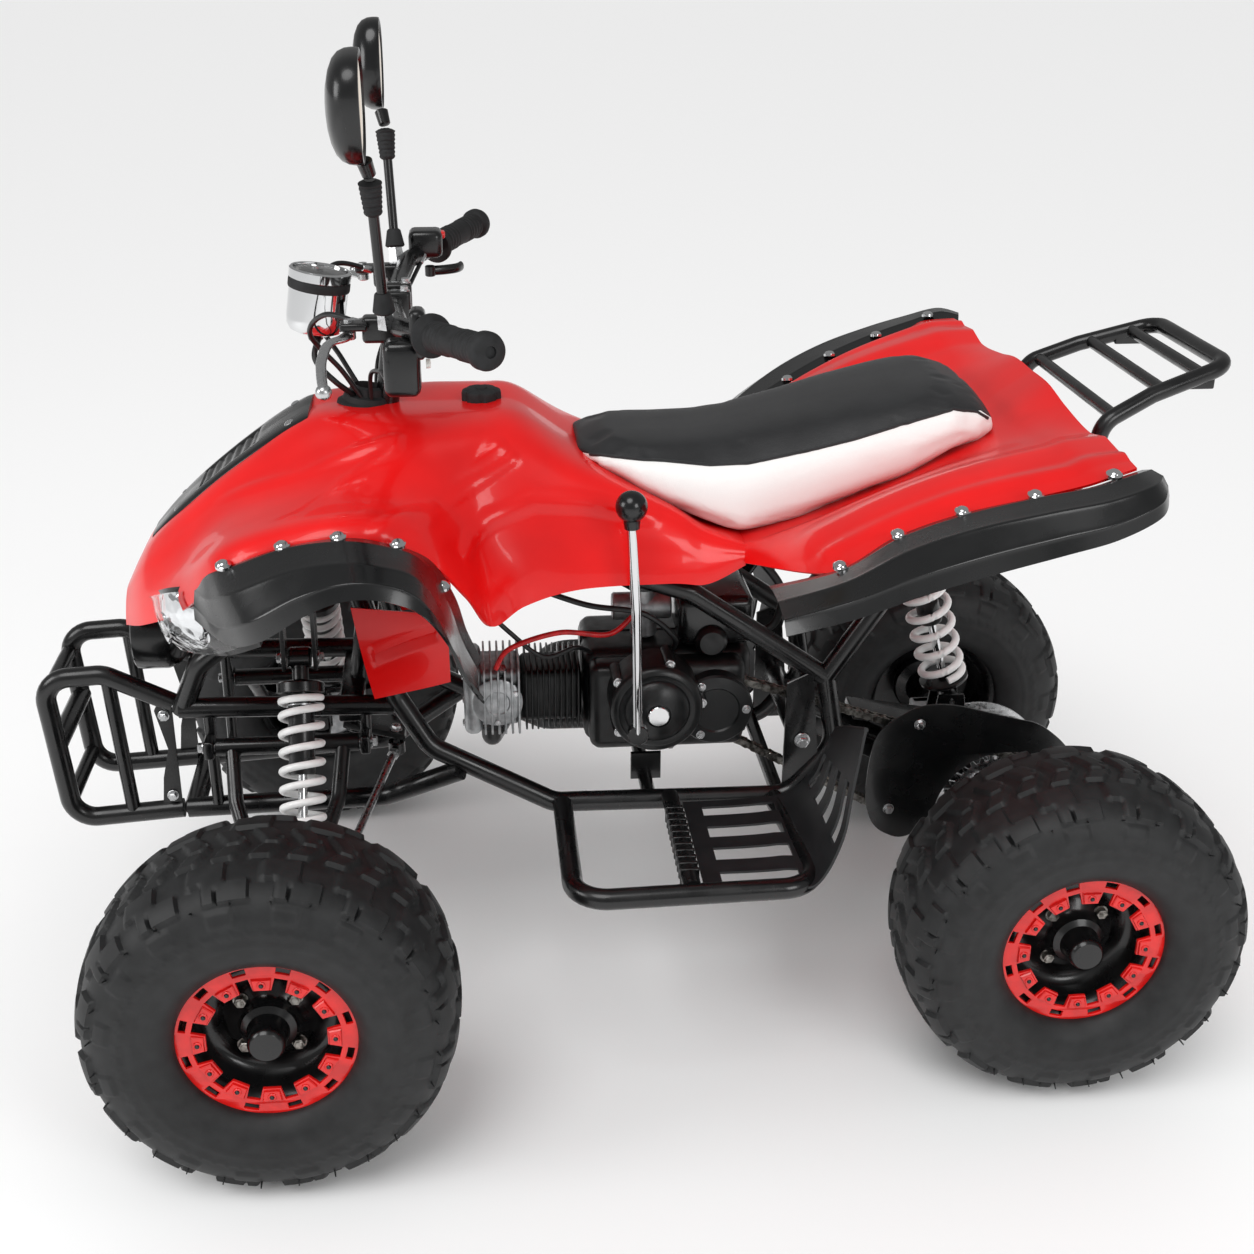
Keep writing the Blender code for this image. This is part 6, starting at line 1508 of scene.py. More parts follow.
def make_suspension(settings):
    """The front arms, knuckles, tie rods and coil-over units."""
    for word, side in SIDES:
        def at(x, y, z, side=side):
            return np.array((x, y * side, z))

        arm = Piece(f"arm_{word}", black_powder_coat)
        arm.add(rod(at(0.325, 0.098, 0.35326), at(0.495, 0.098, 0.35326), 0.011, None, 24, 0.001))
        arm.add(rod(at(0.311, 0.098, 0.35326), at(0.509, 0.098, 0.35326), 0.0058, None, 16), zinc_plate)
        for along in (-1, 1):
            leg = (
                at(FRONT_X + along * 0.066, 0.098, 0.35326), at(FRONT_X + along * 0.06, 0.146, 0.30326),
                at(FRONT_X + along * 0.006, 0.292, AXLE_Z),
            )
            arm.add(tube(rounded(leg, 0.04, 8), 0.009, 18))
            ear = np.array(((0.226, 0.2293), (0.247, 0.2293), (0.248, 0.2873), (0.227, 0.2873))) * (side, 1)
            arm.add(cross_plate(ear, 0.004, 0.385 + along * 0.0165, 0.0008))
            hexagon_bolt(
                arm, at(0.385 + along * 0.0188, 0.238, 0.27926), (along, 0, 0), 0.008, washer=False,
            )
        arm.add(
            rod(at(FRONT_X, 0.3, AXLE_Z - 0.028), at(FRONT_X, 0.3, AXLE_Z + 0.028), 0.013, None, 24, 0.001)
        )
        arm.add(rod(at(0.364, 0.238, 0.2393), at(0.44, 0.238, 0.2393), 0.009, None, 16))
        arm.make(f"a_arm_{word}", [f"a_arm_{word}"], "black_paint")
        knuckle = Piece(f"yoke_{word}", black_powder_coat)
        knuckle.add(
            rod(at(FRONT_X, 0.3, AXLE_Z - 0.038), at(FRONT_X, 0.3, AXLE_Z + 0.038), 0.0065, None, 16),
            zinc_plate,
        )
        hexagon_bolt(knuckle, at(FRONT_X, 0.3, AXLE_Z - 0.0375), (0, 0, -1), 0.012, washer=False)
        knuckle.add(
            side_block(
                (FRONT_X - 0.014, 0.319, AXLE_Z - 0.038), (FRONT_X + 0.014, 0.326, AXLE_Z + 0.038), side,
                0.002,
            )
        )
        for up in (-1, 1):
            z = sorted((AXLE_Z + up * 0.029, AXLE_Z + up * 0.038))
            knuckle.add(
                side_block((FRONT_X - 0.0125, 0.288, z[0]), (FRONT_X + 0.0125, 0.324, z[1]), side, 0.002)
            )
        knuckle.add(rod(at(FRONT_X, 0.322, AXLE_Z), at(FRONT_X, 0.364, AXLE_Z), 0.016, None, 28, 0.001))
        knuckle.add(rod(at(FRONT_X, 0.322, AXLE_Z), at(FRONT_X, 0.406, AXLE_Z), 0.01, None, 24), zinc_plate)
        knuckle.add(side_block((0.35, 0.291, AXLE_Z + 0.031), (0.42, 0.309, AXLE_Z + 0.0385), side, 0.002))
        knuckle.add(
            spin(
                mm(((12, 0), (60, 1), (64, 4), (64, 20), (60, 24), (12, 26))), at(FRONT_X, 0.336, AXLE_Z),
                (0, side, 0), 48,
            ),
            sand_cast_aluminium,
        )
        knuckle.make(f"knuckle_{word}", [f"knuckle_{word}"], "black_paint")
        outer, inner = at(0.36, 0.3, 0.24976), at(0.285, 0.022, 0.30454)
        run = unit(inner - outer)
        tie = Piece(f"track_rod_{word}", zinc_plate)
        tie.add(rod(outer + run * 0.006, inner - run * 0.006, 0.005, None, 18))
        for spot, way, low, high in ((outer, run, 0.0094, 0.0078), (inner, -run, 0.0078, 0.0088)):
            tie.add(
                spin(
                    (
                        (0.007, -low), (0.0095, -low), (0.0105, -low + 0.001), (0.0105, high - 0.001),
                        (0.0095, high), (0.007, high), (0.006, 0),
                    ),
                    spot, (0, 0, 1), 28,
                ),
                black_powder_coat,
            )
            tie.add(
                spin(mm(((4.5, -7), (6.6, -4), (7.4, 0), (6.6, 4), (4.5, 7))), spot, (0, 0, 1), 24),
                bright_chrome,
            )
            first, second, _ = facing(way)
            tie.add(slab(ring(0.008, 6), 0.007, spot + way * 0.0145, first, second, 0.0008))
        tie.add(rod(inner - (0, 0, 0.006), inner + (0, 0, 0.0086), 0.0042, None, 14))
        tie.make(f"tie_rod_{word}", [f"tie_rod_{word}"], "zinc_steel")
        make_shock(
            f"front_{word}", (f"front_shock_body_{word}", f"front_shock_rod_{word}"),
            (f"front_shock_body_{word}", f"front_shock_rod_{word}", f"front_spring_{word}"),
            at(0.385, 0.118, 0.47626), at(0.385, 0.238, 0.27926), 0.0235, 0.0036, (1, 0, 0),
        )


# Rear drive


PITCH_R = 0.0127 / (2 * math.sin(math.pi / 36))
AXLE = np.array((REAR_X, 0.0, AXLE_Z))


def chain_loop():
    """The closed middle line of the chain: two arcs about the sprockets joined by their outer tangents."""
    rear = np.array((REAR_X, AXLE_Z))
    front = np.array((-0.11, 0.37326))
    gap = front - rear
    distance = np.linalg.norm(gap)
    heading = math.atan2(gap[1], gap[0])
    lean = math.acos((PITCH_R - 0.0346) / distance)
    high, low = heading + lean, heading - lean
    back = np.linspace(high, low + 2 * math.pi, 60)
    ahead = np.linspace(low, high, 30)
    loop = [rear + PITCH_R * np.array((math.cos(a), math.sin(a))) for a in back]
    loop += [front + 0.0346 * np.array((math.cos(a), math.sin(a))) for a in ahead]
    return np.array(loop)


def make_chain(settings):
    """A roller chain: waisted side plates in pairs, inner and outer by turns, over a roller at each pitch."""
    loop = chain_loop()
    closed = np.concatenate((loop, loop[:1]))
    length = arc_lengths(closed)
    links = int(round(length[-1] / 0.0127 / 2)) * 2
    at = np.linspace(0, length[-1], links, endpoint=False)
    pins = np.stack((np.interp(at, length, closed[:, 0]), np.interp(at, length, closed[:, 1])), -1)
    piece = Piece("roller_chain")
    turn = np.linspace(0, 2 * math.pi, 16, endpoint=False)
    for k in range(links):
        a, b = pins[k], pins[(k + 1) % links]
        along = unit(b - a)
        up = np.array((-along[1], along[0]))
        half = np.linalg.norm(b - a) / 2
        x = np.cos(turn) * 0.0052 + np.sign(np.cos(turn)) * half * (np.abs(np.cos(turn)) > 0.05)
        z = np.sin(turn) * np.where(np.abs(np.cos(turn)) > 0.3, 0.0054, 0.0042)
        middle = (a + b) / 2
        outline = middle + x[:, None] * along + z[:, None] * up
        offset = 0.004 if k % 2 else 0.0056
        for y in (0.056 - offset, 0.056 + offset):
            piece.add(side_plate(outline, 0.0014, y, 0.0003), oiled_steel)
        start = np.array((a[0], 0.05, a[1]))
        piece.add(rod(start, start + (0, 0.012, 0), 0.004, None, 10), oiled_steel)
    piece.make("swing_arm", ["drive_chain"], "zinc_steel")


def make_drive(settings):
    """The swing arm with its chain guard and caliper, the axle with hubs and brake disc, and the sprocket."""
    arm = Piece("swing_arm_bars", black_powder_coat)
    for side in (1, -1):
        start, end = np.array((-0.215, side * 0.03, 0.33826)), np.array(
            (REAR_X + 0.02, side * 0.03, AXLE_Z + 0.006)
        )
        arm.add(beam(start, end, 0.0195, 0.0255, 0.003))
    arm.add(
        spin(
            mm(((9, 0), (14.5, 0), (15, 1), (15, 151), (14.5, 152), (9, 152))), (-0.215, -0.076, 0.33826),
            ACROSS, 32,
        )
    )
    arm.add(spin(mm(((20, -40), (29, -40), (30, -38), (30, 38), (29, 40), (20, 40))), AXLE, ACROSS, 48))
    arm.add(beam((-0.43, 0, 0.3), (-0.3, 0, 0.324), 0.05, 0.01, 0.002))
    for side in (1, -1):
        ear = ((-0.454, 0.296), (-0.406, 0.296), (-0.412, 0.346), (-0.446, 0.346))
        arm.add(side_plate(ear, 0.0045, side * 0.0175, 0.0008))
    arm.add(rod((-0.43, -0.022, 0.33626), (-0.43, 0.022, 0.33626), 0.0038, None, 14), zinc_plate)
    guard = np.array((
        (0.105, 0.169), (-0.005, 0.137), (-0.039, 0.129), (-0.075, 0.099), (-0.091, 0.072), (-0.078, 0.047),
        (-0.06, 0.068), (-0.034, 0.084), (0.000, 0.091), (0.04, 0.082), (0.068, 0.06), (0.086, 0.03),
        (0.091, -0.004), (0.128, -0.034), (0.168, -0.014), (0.182, 0.026), (0.18, 0.08), (0.172, 0.13),
    )) + (REAR_X, AXLE_Z)
    dense = np.concatenate(
        [np.linspace(a, b, 8, endpoint=False) for a, b in zip(guard, np.roll(guard, -1, 0))]
    )
    kernel = np.ones(7) / 7
    soft = np.stack(
        [
            np.convolve(
                np.concatenate((dense[-3:, k], dense[:, k], dense[:3, k])), kernel, "valid",
            ) for k in (0, 1)
        ],
        -1,
    )
    flat = from_curve([soft], 0.003, 0.0006)
    upright = np.array(((1, 0, 0, 0), (0, 0, -1, 0.077), (0, 1, 0, 0), (0, 0, 0, 1)))
    arm.add(moved(flat, upright), black_gloss_abs)
    for x, z in ((0.118, 0.135), (0.15, 0.015)):
        hexagon_bolt(arm, (REAR_X + x, 0.0786, AXLE_Z + z), ACROSS, 0.01)
    caliper = np.array((-0.426, -0.056, 0.281))
    arm.add(
        block(caliper - (0.024, 0.022, 0.016), caliper + (0.024, -0.004, 0.016), 0.004),
        sand_cast_aluminium,
    )
    arm.add(
        block(caliper - (0.024, -0.004, 0.016), caliper + (0.024, 0.02, 0.016), 0.004), sand_cast_aluminium,
    )
    arm.add(
        block(caliper - (0.024, 0.022, -0.008), caliper + (0.024, 0.02, 0.016), 0.003), sand_cast_aluminium,
    )
    for x in (-0.014, 0.014):
        hexagon_bolt(arm, caliper + (x, -0.022, 0), (0, -1, 0), 0.01)
    arm.make("swing_arm", ["swing_arm"], "black_paint")
    axle = Piece("axle_shaft")
    axle.add(rod(AXLE - (0, 0.326, 0), AXLE + (0, 0.326, 0), 0.015, None, 32, 0.001), zinc_plate)
    for side in (1, -1):
        hub = AXLE + (0, side * 0.236, 0)
        axle.add(
            spin(
                mm(((15, 0), (26, 0), (28, 3), (28, 66), (42, 70), (44, 73), (44, 80), (15, 80))), hub,
                (0, side, 0), 40,
            ),
            black_powder_coat,
        )
    disc = [ring(0.095, 96)]
    for k in range(18):
        middle = ring(0.08 if k % 2 else 0.066, 1, k * math.pi / 9)[0]
        disc.append(middle + ring(0.0046, 12)[::-1])
    for k in range(6):
        disc.append(ring(0.047, 1, k * math.pi / 3)[0] + ring(0.011, 20)[::-1])
    disc.append(ring(0.016, 32)[::-1])
    axle.add(moved(from_curve(disc, 0.0042, 0.0005), place_on(ACROSS, AXLE - (0, 0.056, 0))), zinc_plate)
    axle.make("rear_axle", ["rear_axle"], "zinc_steel")
    teeth = []
    for k in range(36):
        for share, radius in ((-0.34, -0.0048), (-0.12, 0.004), (0.12, 0.004), (0.34, -0.0048)):
            teeth.append(ring(PITCH_R + radius, 1, (k + share) * math.pi / 18)[0])
    outlines = [np.array(teeth), ring(0.0165, 32)[::-1]]
    for k in range(6):
        outlines.append(ring(0.046, 1, k * math.pi / 3)[0] + ring(0.012, 20)[::-1])
    sprocket = Piece("toothed_wheel")
    sprocket.add(
        moved(from_curve(outlines, 0.0046, 0.0005), place_on(ACROSS, AXLE + (0, 0.056, 0))), zinc_plate,
    )
    for k in range(6):
        spot = ring(0.03, 1, (k + 0.5) * math.pi / 3)[0]
        a, b, _ = facing(ACROSS)
        hexagon_bolt(sprocket, AXLE + (0, 0.0584, 0) + a * spot[0] + b * spot[1], ACROSS, 0.009)
    sprocket.make("rear_axle", ["rear_sprocket"], "zinc_steel")
    make_shock(
        "rear", ("rear_shock_body", "rear_shock_rod"), ("rear_shock_body", "rear_shock_rod", "rear_spring"),
        (-0.355, 0, 0.59626), (-0.43, 0, 0.33626), 0.0268, 0.0042, ACROSS,
    )


# Steering and controls


def make_grips(settings):
    """Rubber grips: an inner collar, rows of ribs as r = 15.2 + 1.1 |sin| mm, and a domed end with a ring."""
    for word, side in SIDES:
        root = np.array((0.215, 0.244 * side, 0.882))
        end = np.array((0.162, 0.346 * side, 0.891))
        axis = unit(end - root)
        length = float(np.linalg.norm(end - root))
        profile = [
            (0.0112, -0.004), (0.0205, -0.004), (0.0225, -0.002), (0.0225, 0.0015), (0.02, 0.0035),
            (0.0165, 0.005),
        ]
        heights = np.linspace(0.007, length - 0.01, 74)
        wave = np.abs(np.sin((heights - 0.007) / 0.0075 * math.pi))
        middle = (heights > length * 0.36) & (heights < length * 0.62)
        profile += [
            (0.015 + (0.0002 if flat else 0.001 * w), h) for h, w, flat in zip(heights, wave, middle)
        ]
        profile += [
            (0.0175, length - 0.008), (0.019, length - 0.005), (0.019, length + 0.002),
            (0.0175, length + 0.006), (0.014, length + 0.0085), (0.006, length + 0.009),
            (0.0058, length + 0.006), (0.001, length + 0.006),
        ]
        piece = Piece(f"ribbed_grip_{word}")
        piece.add(spin(profile, root, axis, 40), soft_grip_rubber)
        piece.make("steering", [f"grip_{word}"], "grip_rubber")


def make_bars(settings):
    """The bar, its risers, clamps, switch boxes, brake perches, mirror stems and the meter's bracket."""
    piece = Piece("bar_and_controls", black_powder_coat)
    corners = []
    for side in (1, -1):
        root, end = np.array((0.215, 0.244 * side, 0.882)), np.array((0.162, 0.346 * side, 0.891))
        along = unit(end - root)
        half = [end - along * 0.006, root - along * 0.075, np.array((0.26, 0.06 * side, 0.86626))]
        corners += half if side > 0 else half[::-1]
    piece.add(tube(rounded(corners, 0.05, 10), 0.011, 20))
    for side in (1, -1):
        clamp = np.array((0.26, side * 0.022, 0.86))
        piece.add(block(clamp - (0.019, 0.0095, 0.0135), clamp + (0.019, 0.0095, 0.021), 0.004))
        for x in (-0.012, 0.012):
            hexagon_bolt(piece, clamp + (x, 0, 0.0206), (0, 0, 1), 0.0085)
        perch = np.array((0.278, 0.14 * side, 0.866))
        piece.add(block(perch - (0.03, 0.012, 0.014), perch + (0.012, 0.012, 0.014), 0.005))
        piece.add(
            block((0.283, side * 0.152 - 0.012, 0.868), (0.3125, side * 0.152 + 0.012, 0.8765), 0.003)
        )
        piece.add(
            rod((0.303, side * 0.152, 0.8756), (0.303, side * 0.152, 0.879), 0.0055, None, 6), zinc_plate,
        )
        foot, neck = np.array((0.264, 0.18 * side, 0.896)), np.array((0.27, 0.2075 * side, 1.03))
        low = np.array((0.262, 0.176 * side, 0.876))
        run = unit(neck - foot)
        piece.add(rod(low, foot, 0.0105, 0.0085, 6), zinc_plate)
        piece.add(rod(foot - run * 0.004, foot + run * 0.018, 0.012, 0.0085, 24, 0.002), soft_grip_rubber)
        piece.add(rod(foot, neck, 0.0056, None, 18))
        boot = [(0.005, 0.0)] + [
            (0.0082 + 0.0012 * abs(math.sin(k * 0.9)) + 0.00012 * k, 0.002 + 0.0014 * k) for k in range(24)
        ] + [(0.008, 0.0365)]
        piece.add(spin(boot, neck - run * 0.0375, run, 24), soft_grip_rubber)
    left = block((0.228, 0.196, 0.814), (0.266, 0.232, 0.872), 0.009)
    piece.add(left, black_gloss_abs)
    piece.add(block((0.221, 0.199, 0.852), (0.238, 0.229, 0.904), 0.007), black_gloss_abs)
    for y, z, finish in (
        (0.206, 0.862, red_enamel), (0.22, 0.862, amber_lens), (0.213, 0.846, white_nylon),
    ):
        piece.add(
            spin(mm(((1, 0), (5, 0), (5, 3.5), (4.2, 4.6), (1, 5))), (0.2225, y, z), (-1, 0, 0), 20),
            finish,
        )
    piece.add(block((0.206, -0.237, 0.8735), (0.248, -0.195, 0.9075), 0.008), black_gloss_abs)
    piece.add(block((0.2025, -0.229, 0.895), (0.212, -0.212, 0.904), 0.003), red_enamel)
    piece.add(beam((0.27, 0.0, 0.848), (0.336, 0.0, 0.832), 0.026, 0.005, 0.001))
    piece.make("steering", ["handlebar"], "black_paint")


def make_meter(settings):
    """The round meter: a chromed cup with a rubber band, a bezel, a face under domed glass and a hand."""
    centre = np.array((0.347, 0.0, 0.866))
    axis = unit(np.array((-0.16, 0.0, 1.0)))
    down = centre - axis * 0.036
    cup = mm(
        (
            (4, 0), (22, 0), (29, 3), (32.5, 9), (33.5, 18), (33.5, 60), (35, 62), (35, 71.5), (33.5, 73),
            (31, 72.8), (30.5, 69), (4, 68),
        )
    )
    piece = Piece("meter_cup").add(spin(cup, down, axis, 64), bright_chrome)
    piece.add(
        spin(mm(((33, 50), (34.5, 50.5), (35, 52), (35, 59), (34.5, 60.5), (33, 61))), down, axis, 64),
        soft_grip_rubber,
    )
    piece.add(spin(mm(((1, 68.4), (30, 68.6), (30, 69), (1, 69.2))), down, axis, 48), hose_rubber)
    face = down + axis * 0.0694
    a, b, _ = facing(axis)
    for k in range(25):
        angle = math.radians(-45 + k * 11.25)
        out = a * math.cos(angle) + b * math.sin(angle)
        along = np.cross(axis, out)
        reach = 0.0055 if k % 4 == 0 else 0.0032
        piece.add(
            beam(face + out * (0.0275 - reach), face + out * 0.0275, 0.0008, 0.0004, 0.0001, along),
            white_nylon,
        )
    piece.add(
        beam(face + axis * 0.001, face + axis * 0.001 + a * 0.021 + b * 0.008, 0.0014, 0.0006, 0.0002, b),
        red_enamel,
    )
    piece.add(
        spin(mm(((0.6, 0), (3.6, 0), (3.6, 1.6), (2.8, 2.2), (0.6, 2.2))), face, axis, 20), hose_rubber,
    )
    piece.add(
        spin(mm(((1, 72.2), (18, 71.9), (30, 70.6), (30, 69.8), (18, 71.1), (1, 71.4))), down, axis, 48),
        clear_polycarbonate,
    )
    piece.add(rod(down, down - axis * 0.01, 0.009, 0.006, 20, 0.001), soft_grip_rubber)
    piece.make("steering", ["speedometer"], "chrome")


def make_mirrors(settings):
    """Mirrors: an oval shell, its rim, the tinted glass facing the rider and the ball neck under it."""
    for word, side in SIDES:
        base = np.array((0.27, 0.208 * side, 1.0335))
        centre = base + (0.017, 0.03 * side, 0.068)
        tilt = math.radians(14) * side
        up = np.array((0.0, math.sin(tilt), math.cos(tilt)))
        out = np.array((0.0, math.cos(tilt), -math.sin(tilt)))
        front = np.array((1.0, 0.0, 0.0))
        turn = np.linspace(0, 2 * math.pi, 72, endpoint=False)
        power = 0.78
        oval_y = 0.0475 * np.sign(np.cos(turn)) * np.abs(np.cos(turn)) ** power
        oval_z = 0.053 * np.sign(np.sin(turn)) * np.abs(np.sin(turn)) ** power
        oval_y = oval_y * (1 - 0.18 * (oval_z < 0) * (oval_z / 0.053) ** 2)

        def ovals(steps):
            rings = [
                centre + front * bulge + (oval_y * share)[:, None] * out + (oval_z * share)[:, None] * up
                for share, bulge in steps
            ]
            return grid(np.stack(rings), wrap_columns=True, caps=True)

        piece = Piece(f"mirror_head_{word}")
        shell = mm((
            (
                900, -12.5,
            ), (955, -15.5), (990, -15), (1000, -12), (1000, -7), (985, -1), (930, 5.5), (820, 10.8),
            (640, 15), (420, 17.6), (200, 18.8), (40, 19.1),
        ))
        piece.add(ovals(shell), black_gloss_abs)
        glass = mm(((895, -12.8), (895, -13.6), (600, -14.3), (300, -14.7), (30, -14.8)))
        piece.add(ovals(glass), mirror_glass)
        neck = base + (0.004, 0.008 * side, 0.016)
        piece.add(rod(base + (0, 0, 0.0005), neck, 0.0072, 0.0082, 20, 0.001), black_powder_coat)
        piece.make(f"mirror_{word}", [f"mirror_{word}"], "black_plastic")


def make_levers(settings):
    """Brake levers with ball ends, and the throttle's thumb paddle."""
    for word, side in SIDES:
        pivot = np.array((0.303, 0.152 * side, 0.8625))
        places = mm(
            (
                (303, 147.5, 862.5), (309, 164, 861.5), (323, 182, 860), (328, 215, 852), (327, 242, 846),
                (324, 272, 842), (321, 294, 840.8),
            )
        )
        path = spline(np.array(places) * (1, side, 1), 60)
        width = np.interp(
            np.linspace(0, 1, 60), (0, 0.15, 0.35, 0.8, 1), (0.0062, 0.0066, 0.005, 0.0046, 0.0042),
        )
        piece = Piece(f"lever_blade_{word}", zinc_plate)
        piece.add(oval_tube(path, width * 1.15, width * 0.62))
        end = (0.321, 0.298 * side, 0.8408)
        piece.add(ball(0.0082, end, ACROSS, 14, 20))
        piece.add(rod(pivot - (0, 0, 0.0045), pivot + (0, 0, 0.004), 0.007, None, 24, 0.001))
        piece.make(f"brake_lever_{word}", [f"brake_lever_{word}"], "black_paint")
    low, high = (np.array(corner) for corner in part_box("thumb_throttle"))
    piece = Piece("thumb_paddle")
    middle = (low + high) / 2
    places = ((0.2215, -0.219), (0.206, -0.223), (0.19, -0.233), (0.184, -0.246))
    path = spline([(x, y, middle[2]) for x, y in places], 24)
    width = np.interp(np.linspace(0, 1, 24), (0, 0.3, 0.7, 1), (0.006, 0.0042, 0.0046, 0.005))
    piece.add(oval_tube(path, width * 0.8, 0.0062), black_gloss_abs)
    piece.add(
        rod(
            (0.2228, -0.2175, low[2] + 0.0004), (0.2228, -0.2175, high[2] - 0.0004), 0.0066, None, 24,
            0.001,
        ),
        black_gloss_abs,
    )
    piece.make("throttle", ["thumb_throttle"], "black_plastic")


def make_stem(settings):
    """The steering stem with its bottom plate and the two pegs that carry the tie rods."""
    piece = Piece("stem_and_plate")
    low, high = np.array((0.335, 0, 0.331)), np.array((0.26, 0, 0.848))
    axis = unit(high - low)
    piece.add(rod(low - axis * 0.009, high, 0.0138, None, 28, 0.001), black_powder_coat)
    across = ACROSS
    outline = np.array(((0.016, 0.016), (0.016, -0.016), (-0.062, -0.036), (-0.062, 0.036)))
    first = np.cross(across, axis)
    plate = low + axis * 0.0012
    piece.add(slab(outline, 0.0078, plate, first, across, 0.0015), black_powder_coat)
    for side in (1, -1):
        peg = plate + first * -0.05 + across * 0.022 * side
        piece.add(
            spin(mm(((2, -4.8), (7, -4.6), (7.4, -3.8), (7.4, 4), (2, 4))), peg, axis, 20), zinc_plate,
        )
        hexagon_bolt(piece, peg + axis * 0.0038, axis, 0.011)
    piece.make("steering", ["steering_stem"], "black_paint")


def make_cap(settings):
    """The fuel cap: a knob with six finger hollows and a breather on top."""
    low, high = (np.array(corner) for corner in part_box("fuel_cap"))
    centre = np.array(((low[0] + high[0]) / 2, 0.0, low[2]))
    tall = high[2] - low[2]
    turn = np.linspace(0, 2 * math.pi, 144, endpoint=False)
    lobe = 1 - 0.13 * np.clip(np.cos(turn * 6) * -1, 0, 1) ** 1.5
    rings = []
    for radius, height, depth in (
        (0.008, 0.0, 0), (0.0225, 0.0, 0), (0.023, 0.0012, 0.3), (0.023, 0.003, 1),
        (0.0232, tall * 0.62, 1), (0.0222, tall * 0.78, 1), (0.019, tall * 0.87, 0.8),
        (0.012, tall * 0.9, 0.2), (0.007, tall * 0.91, 0), (0.0066, tall * 0.99, 0), (0.001, tall, 0),
    ):
        shape = radius * (1 + (lobe - 1) * depth)
        rings.append(
            np.stack((shape * np.cos(turn), shape * np.sin(turn), np.full(144, height)), -1) + centre
        )
    piece = Piece("tank_cap").add(grid(np.stack(rings), wrap_columns=True, caps=True), soft_grip_rubber)
    piece.make("fuel_cap", ["fuel_cap"], "black_plastic")


def make_gear_lever(settings):
    """The tall gear lever: a flattened foot, a chromed rod with two bends and a black ball."""
    piece = Piece("gear_stick")
    path = rounded(
        [(-0.006, 0.161, 0.381), (-0.004, 0.17, 0.441), (0.0, 0.188, 0.551), (0.006, 0.188, 0.652)], 0.05,
        8,
    )
    piece.add(tube(path, 0.0058, 18), bright_chrome)
    piece.add(
        spin(
            mm(((7.8, -6), (11.5, -6), (12.5, -4.8), (12.5, 4.8), (11.5, 6), (7.8, 6))),
            (-0.006, 0.161, 0.38126), ACROSS, 32,
        ),
        black_powder_coat,
    )
    piece.add(ball(0.0178, (0.0063, 0.188, 0.6755), UP, 24, 36), black_gloss_abs)
    piece.add(
        spin(mm(((5.8, -8), (8.5, -8), (9.5, 0), (9, 4))), (0.0058, 0.188, 0.658), (0.03, 0, 1), 24),
        black_gloss_abs,
    )
    piece.make("gear_lever", ["gear_lever"], "black_paint")


# Engine


def circle_places(x, z, radius, angles):
    """Places (x, z) on a circle at angles in degrees."""
    turn = np.radians(angles)
    return zip(x + radius * np.cos(turn), z + radius * np.sin(turn))


def fin(centre_x, half_y, half_z, thickness, z0):
    """One cooling fin: y and z are a half size times cos and sin, each raised to the power 0.32."""
    turn = np.linspace(0, 2 * math.pi, 48, endpoint=False)
    y = half_y * np.sign(np.cos(turn)) * np.abs(np.cos(turn)) ** 0.32
    z = half_z * np.sign(np.sin(turn)) * np.abs(np.sin(turn)) ** 0.32
    return slab(np.stack((y, z), -1), thickness, (centre_x, 0, z0), ACROSS, (0, 0, 1), 0.0006)


def make_cylinder(settings):
    """The lying cylinder: a black finned barrel, and an aluminium head with its fins, covers and studs."""
    piece = Piece("barrel_and_head", sand_cast_aluminium)
    z0 = 0.37226
    piece.add(block((0.0512, -0.034, z0 - 0.034), (0.128, 0.034, z0 + 0.034), 0.008), black_engine_enamel)
    for k in range(10):
        piece.add(fin(0.056 + k * 0.0072, 0.0455, 0.0455, 0.0022, z0), black_engine_enamel)
    piece.add(block((0.126, -0.036, z0 - 0.038), (0.19, 0.036, z0 + 0.038), 0.01))
    for k in range(6):
        piece.add(fin(0.13 + k * 0.0085, 0.05, 0.049, 0.0026, z0))
    piece.add(block((0.176, -0.046, z0 - 0.045), (0.1985, 0.046, z0 + 0.045), 0.009))
    piece.add(
        spin(
            mm(((2, 0), (30, 0), (31.5, 1.2), (31.5, 4.6), (29, 6.2), (16, 7.2), (14.5, 6), (2, 6))),
            (0.157, 0.041, z0), ACROSS, 56,
        )
    )
    for x, z in circle_places(0.157, z0, 0.026, (30, 150, 270)):
        hexagon_bolt(piece, (x, 0.0465, z), ACROSS, 0.0072, washer=False)
    for y in (-0.032, 0.032):
        for z in (-0.032, 0.032):
            hexagon_bolt(piece, (0.1965, y, z0 + z), (1, 0, 0), 0.008, washer=False)
    piece.add(rod((0.15, 0.03, z0 + 0.03), (0.15, 0.046, z0 + 0.048), 0.006, 0.005, 6), zinc_plate)
    piece.make("chassis", ["cylinder"], "cast_aluminium")


